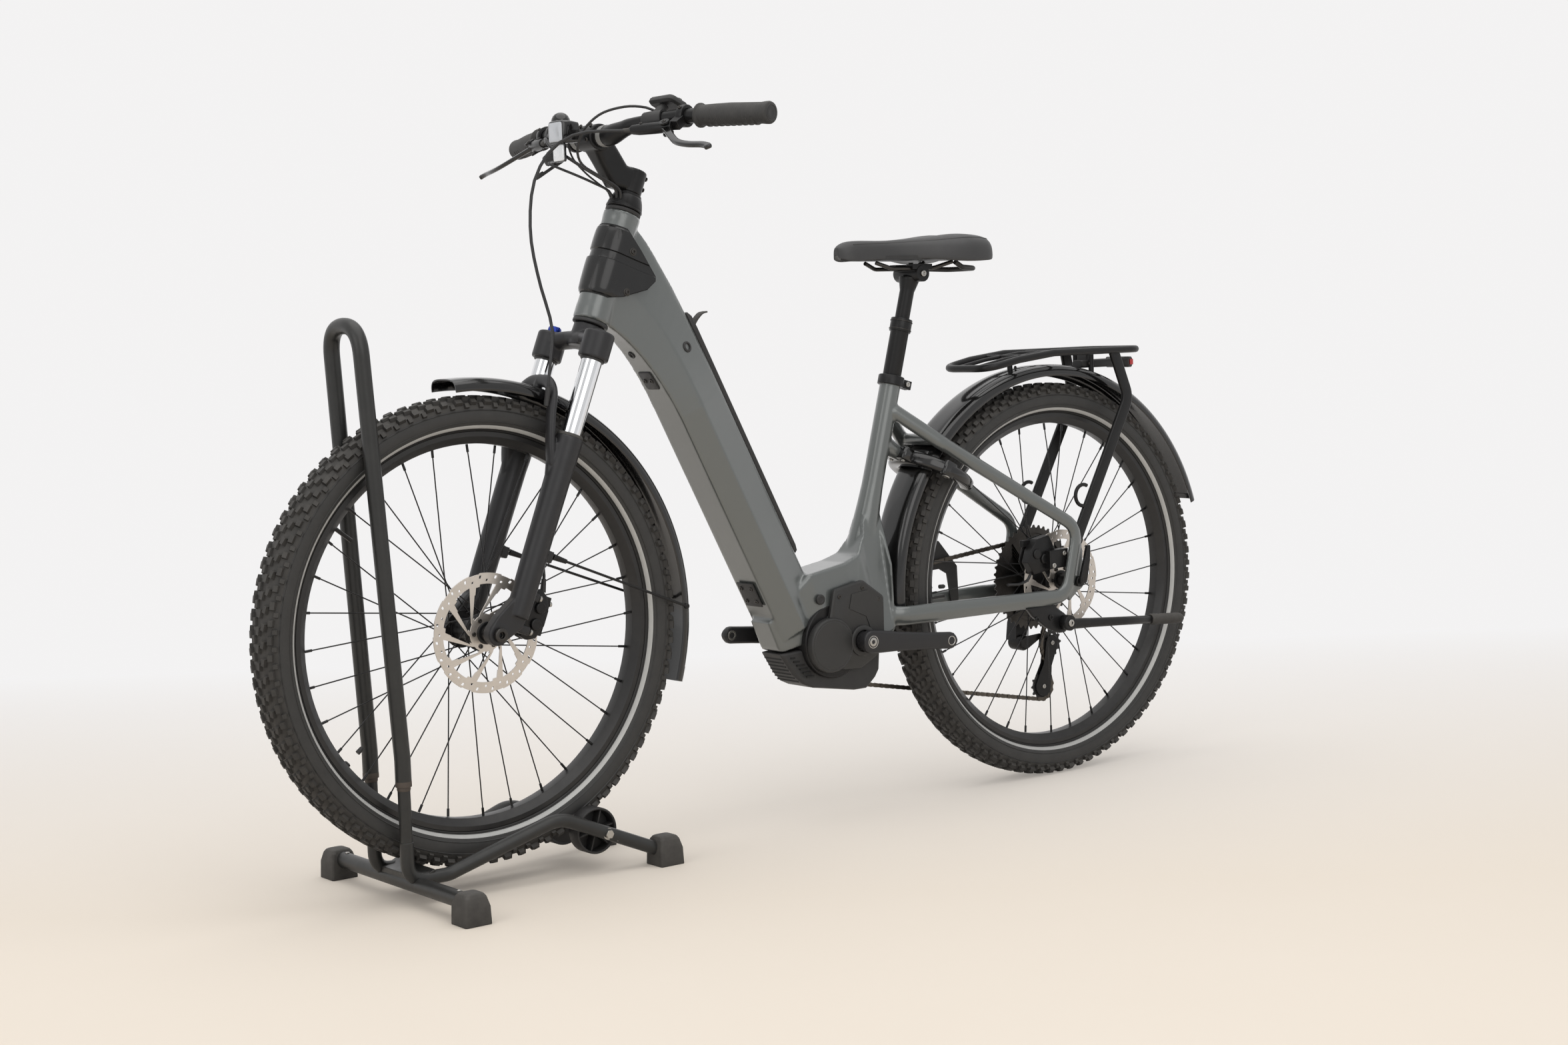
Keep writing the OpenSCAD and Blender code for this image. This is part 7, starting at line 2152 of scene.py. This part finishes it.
def build_cables():
    left, right = AT_GRIP, MIRROR @ AT_GRIP

    def steer(x, y, z):
        return AT_STEER @ Vector((x, y, z))

    def bar(x, y, z):
        return BAR_CENTRE + Vector((x, y, z))

    # Front brake hose: a wide loop ahead of the head tube, down to the left fork leg and the caliper
    route = spline([left @ Vector((38, -67, 0)), left @ Vector((40, -84, 1)), bar(58, 62, 2), bar(84, 34, -12),
                    bar(106, 20, -40), bar(124, 16, -84), bar(132, 20, -150), bar(126, 28, -215), bar(112, 38, -290),
                    steer(CROWN + 60, 52, 412), steer(CROWN + 50, 53, 366), steer(CROWN + 30, 46.5, 334),
                    steer(CROWN + 8, 42.5, 284), steer(CROWN - 8, 42, 220), steer(CROWN - 22, 43, 150),
                    steer(-20, 45, 108), steer(-26, 45, 86)], 12)
    where = ("steering", "fork_lower", steer(0, 0, 590), steer(0, 0, 372))
    add_cord("front_brake_hose", route, sizes().hose, where)
    # Rear brake hose, gear cable, display lead and lamp lead, all into ports of the headset cone
    add_cord("rear_brake_hose_front", spline([right @ Vector((38, -67, 0)), right @ Vector((40, -84, 1)),
                                              bar(48, -60, 2), bar(56, -34, -12), bar(46, -8, -28), bar(24, 6, -46),
                                              bar(-4, 11, -62), steer(33, 11, 717), steer(20, 8, 700)], 12),
             sizes().hose, "steering")
    add_cord("gear_cable", spline([right @ Vector((30, -60, -32)), right @ Vector((34, -74, -35)), bar(54, -44, -36),
                                   bar(50, -26, -44), bar(30, -8, -56), bar(4, 0, -68), steer(35, 1, 711),
                                   steer(20, 0, 697)], 12), sizes().cable, "steering")
    add_cord("display_lead", spline([bar(-26, 134, 29), bar(-14, 122, 36), bar(8, 104, 38), bar(34, 80, 30),
                                     bar(50, 60, 12), bar(54, 44, -8), bar(50, 32, -28), bar(36, 24, -44),
                                     bar(8, 21, -58), steer(31, 19, 716), steer(18, 14, 701)], 12), sizes().cable,
             "steering")
    add_cord("lamp_lead", spline([bar(38, -8, -8), bar(38, -10, -16), bar(28, -12, -34), bar(6, -13, -54),
                                  bar(-14, -13, -68), steer(30, -12, 714), steer(18, -10, 700)], 12), 0.003,
             "steering")
    # Rear hose, from the left chainstay into the caliper
    add_cord("rear_brake_hose_end", [AT_REAR @ p for p in fillet(
        [(150, 60, 6), (120, 58, 4), (96, 54, 8), (80, 50, 26), (74, 48, 44)], 18, 8)],
        sizes().hose, "frame", ["rear_brake_hose"])
    # Clips, sleeves and strain reliefs on the hoses
    s = Shape()
    for place in (left, right):
        s.sweep([(37.6, -62, 0), (38.4, -72, 0), (39.4, -80, 0.8)], lambda i: circle_ring([4.6, 3.9, 3.1][i],
                count=14), place=place)
    piece("hose_nuts", s, "steering", "soft rubber", bevel=0.3)
    s = Shape()
    s.rod(steer(CROWN + 46, 52.4, 350), steer(CROWN + 53, 53.6, 378), 4.2)
    s.rod(steer(CROWN + 34, 51, 352), steer(CROWN + 50, 53, 364), 3.2)
    s.rod(steer(-21, 45, 104), steer(-26, 45, 84), 3.6, 4.6)
    piece("hose_guide", s, "fork_lower", "matte plastic", bevel=0.3)


class BICYCLE_OT_cables(bpy.types.Operator):
    """Lay the brake hoses and cables from the bar to the fork and into the headset"""
    bl_idname = "bicycle.cables"
    bl_label = "Cables"

    def execute(self, context):
        build_cables()
        return {"FINISHED"}


# ---- floor, light and camera ----

def build_stage():
    scene = bpy.context.scene
    c = colours()
    scene.view_settings.view_transform = "Standard"
    facing, right, up = Vector((-0.60911, -0.78851, -0.08513)), Vector((-0.78916, 0.61326,
            -0.03378)), Vector((-0.07884, -0.04660, 0.99580))

    # Floor that curves up into the wall far behind the bicycle
    flat = Vector((facing.x, facing.y, 0)).normalized()
    across = Vector((flat.y, -flat.x, 0))
    profile = [(-9.0, 0.0), (4.2, 0.0)]
    profile += [(4.2 + 1.4 * sin(a), 1.4 - 1.4 * cos(a)) for a in [radians(9 * k) for k in range(1, 11)]]
    profile.append((5.6, 9.0))
    data = bpy.data.meshes.new("studio_floor")
    points = [flat * d + across * w + Vector((0, 0, z)) for d, z in profile for w in (-14, 14)]
    data.from_pydata(points, [], [(2 * i, 2 * i + 1, 2 * i + 3, 2 * i + 2) for i in range(len(profile) - 1)])
    data.shade_smooth()
    floor = bpy.data.objects.new("studio_floor", data)
    scene.collection.objects.link(floor)
    material = bpy.data.materials.new("studio floor")
    material.use_nodes = True
    tree = material.node_tree
    tree.nodes.clear()
    place = add_node(tree, "NewGeometry").outputs["Position"]
    spot = add_node(tree, "SeparateXYZ", None, Vector=place).outputs
    behind = maths(tree, "ADD", maths(tree, "MULTIPLY", spot[0], flat.x), maths(tree, "MULTIPLY", spot[1], flat.y))
    reach = add_node(tree, "VectorMath", {"operation": "LENGTH"}, i0=place).outputs["Value"]
    fade = maths(tree, "MAXIMUM", maths(tree, "MULTIPLY", maths(tree, "ADD", behind, 0.5), 0.4, True),
                 maths(tree, "MULTIPLY", maths(tree, "SUBTRACT", reach, 2.2), 0.5, True))
    rise = maths(tree, "MULTIPLY", spot[2], 1.2, True)
    both = maths(tree, "MAXIMUM", fade, rise)
    cloud = noise(tree, 1.3, 4, 0.6, place)
    warm = mixed(tree, maths(tree, "MULTIPLY", cloud, 0.5), (*c.floor, 1), (*srgb(231, 222, 211), 1))
    shade = mixed(tree, both, warm, (*c.wall, 1))
    cloth = add_node(tree, "BsdfPrincipled", None, Base_Color=shade, Roughness=0.75, Specular_IOR_Level=0.2)
    glow = add_node(tree, "Emission", None, Color=shade, Strength=0.985)
    rays = add_node(tree, "LightPath").outputs
    seen = maths(tree, "MAXIMUM", maths(tree, "MAXIMUM", rays["Is Camera Ray"], rays["Is Glossy Ray"]),
                 rays["Is Transmission Ray"])
    part = maths(tree, "MULTIPLY", seen, maths(tree, "MAXIMUM", both, 0.0, True))
    blend = add_node(tree, "MixShader", None, Fac=part, i1=cloth.outputs[0], i2=glow.outputs[0])
    add_node(tree, "OutputMaterial", None, Surface=blend.outputs[0])
    data.materials.append(material)

    # Room light from all sides, and a white background
    world = bpy.data.worlds.new("studio")
    scene.world = world
    world.use_nodes = True
    tree = world.node_tree
    tree.nodes.clear()
    room = add_node(tree, "Background", None, Color=(1, 1, 1, 1), Strength=sizes().sky)
    white = add_node(tree, "Background", None, Color=(*srgb(243, 242, 242), 1), Strength=1.0)
    rays = add_node(tree, "LightPath").outputs
    seen = maths(tree, "MAXIMUM", rays["Is Camera Ray"], rays["Is Transmission Ray"])
    blend = add_node(tree, "MixShader", None, Fac=seen, i1=room.outputs[0], i2=white.outputs[0])
    add_node(tree, "OutputWorld", None, Surface=blend.outputs[0])

    for name, at, size, share in (("soft_top", (0.3, 0.4, 3.6), 4.5, 1.0), ("soft_side", (1.2, 3.8, 2.4), 3.0, 0.5),
                                  ("soft_front", (3.9, 0.6, 2.0), 2.4, 0.3)):
        lamp = bpy.data.lights.new(name, "AREA")
        lamp.shape = "DISK"
        lamp.size = size
        lamp.energy = sizes().lamp_watts * share
        lamp.color = (1.0, 0.985, 0.965)
        obj = bpy.data.objects.new(name, lamp)
        obj.location = at
        obj.rotation_euler = (Vector((0, 0, 0.5)) - Vector(at)).to_track_quat("-Z", "Y").to_euler()
        scene.collection.objects.link(obj)

    view = bpy.data.cameras.new("studio_camera")
    view.sensor_width = 36
    view.lens = 54.12
    view.clip_end = 60
    camera = bpy.data.objects.new("studio_camera", view)
    rows = Matrix((right, up, -facing)).transposed().to_4x4()
    rows.translation = (2.37334, 3.06491, 0.83178)
    camera.matrix_world = rows
    scene.collection.objects.link(camera)
    scene.camera = camera


class BICYCLE_OT_stage(bpy.types.Operator):
    """Set up the pale floor, the backdrop, the soft light and the camera"""
    bl_idname = "bicycle.stage"
    bl_label = "Stage"

    def execute(self, context):
        build_stage()
        return {"FINISHED"}


class BICYCLE_OT_effects(bpy.types.Operator):
    """Make the shared effects and every finish"""
    bl_idname = "bicycle.effects"
    bl_label = "Finishes"

    def execute(self, context):
        make_effects()
        make_finishes()
        return {"FINISHED"}


OPERATORS = (BICYCLE_OT_effects, BICYCLE_OT_stage, BICYCLE_OT_cables, BICYCLE_OT_frame, BICYCLE_OT_frame_covers,
             BICYCLE_OT_motor, BICYCLE_OT_wheels, BICYCLE_OT_drive, BICYCLE_OT_fork, BICYCLE_OT_cockpit,
             BICYCLE_OT_saddle, BICYCLE_OT_mudguards, BICYCLE_OT_rack, BICYCLE_OT_ring_lock, BICYCLE_OT_kickstand,
             BICYCLE_OT_floor_stand, )


class BICYCLE_PT_panel(bpy.types.Panel):
    """Lists the sizes, the colours and the build steps"""
    bl_idname = "BICYCLE_PT_panel"
    bl_label = "Bicycle on Stand"
    bl_space_type = "VIEW_3D"
    bl_region_type = "UI"
    bl_category = "Bicycle"

    def draw(self, context):
        layout = self.layout
        for group in (context.scene.bicycle_sizes, context.scene.bicycle_colours):
            box = layout.box()
            for name in group.__annotations__:
                box.prop(group, name)
        for step in OPERATORS:
            layout.operator(step.bl_idname)


CLASSES = (BicycleColours, BicycleSizes, *OPERATORS, BICYCLE_PT_panel)


def register():
    for item in CLASSES:
        bpy.utils.register_class(item)
    bpy.types.Scene.bicycle_colours = bpy.props.PointerProperty(type=BicycleColours)
    bpy.types.Scene.bicycle_sizes = bpy.props.PointerProperty(type=BicycleSizes)


def unregister():
    del bpy.types.Scene.bicycle_sizes
    del bpy.types.Scene.bicycle_colours
    for item in reversed(CLASSES):
        bpy.utils.unregister_class(item)


def main():
    register()
    for step in OPERATORS:
        group, name = step.bl_idname.split(".")
        getattr(getattr(bpy.ops, group), name)()


if __name__ == "__main__":
    main()
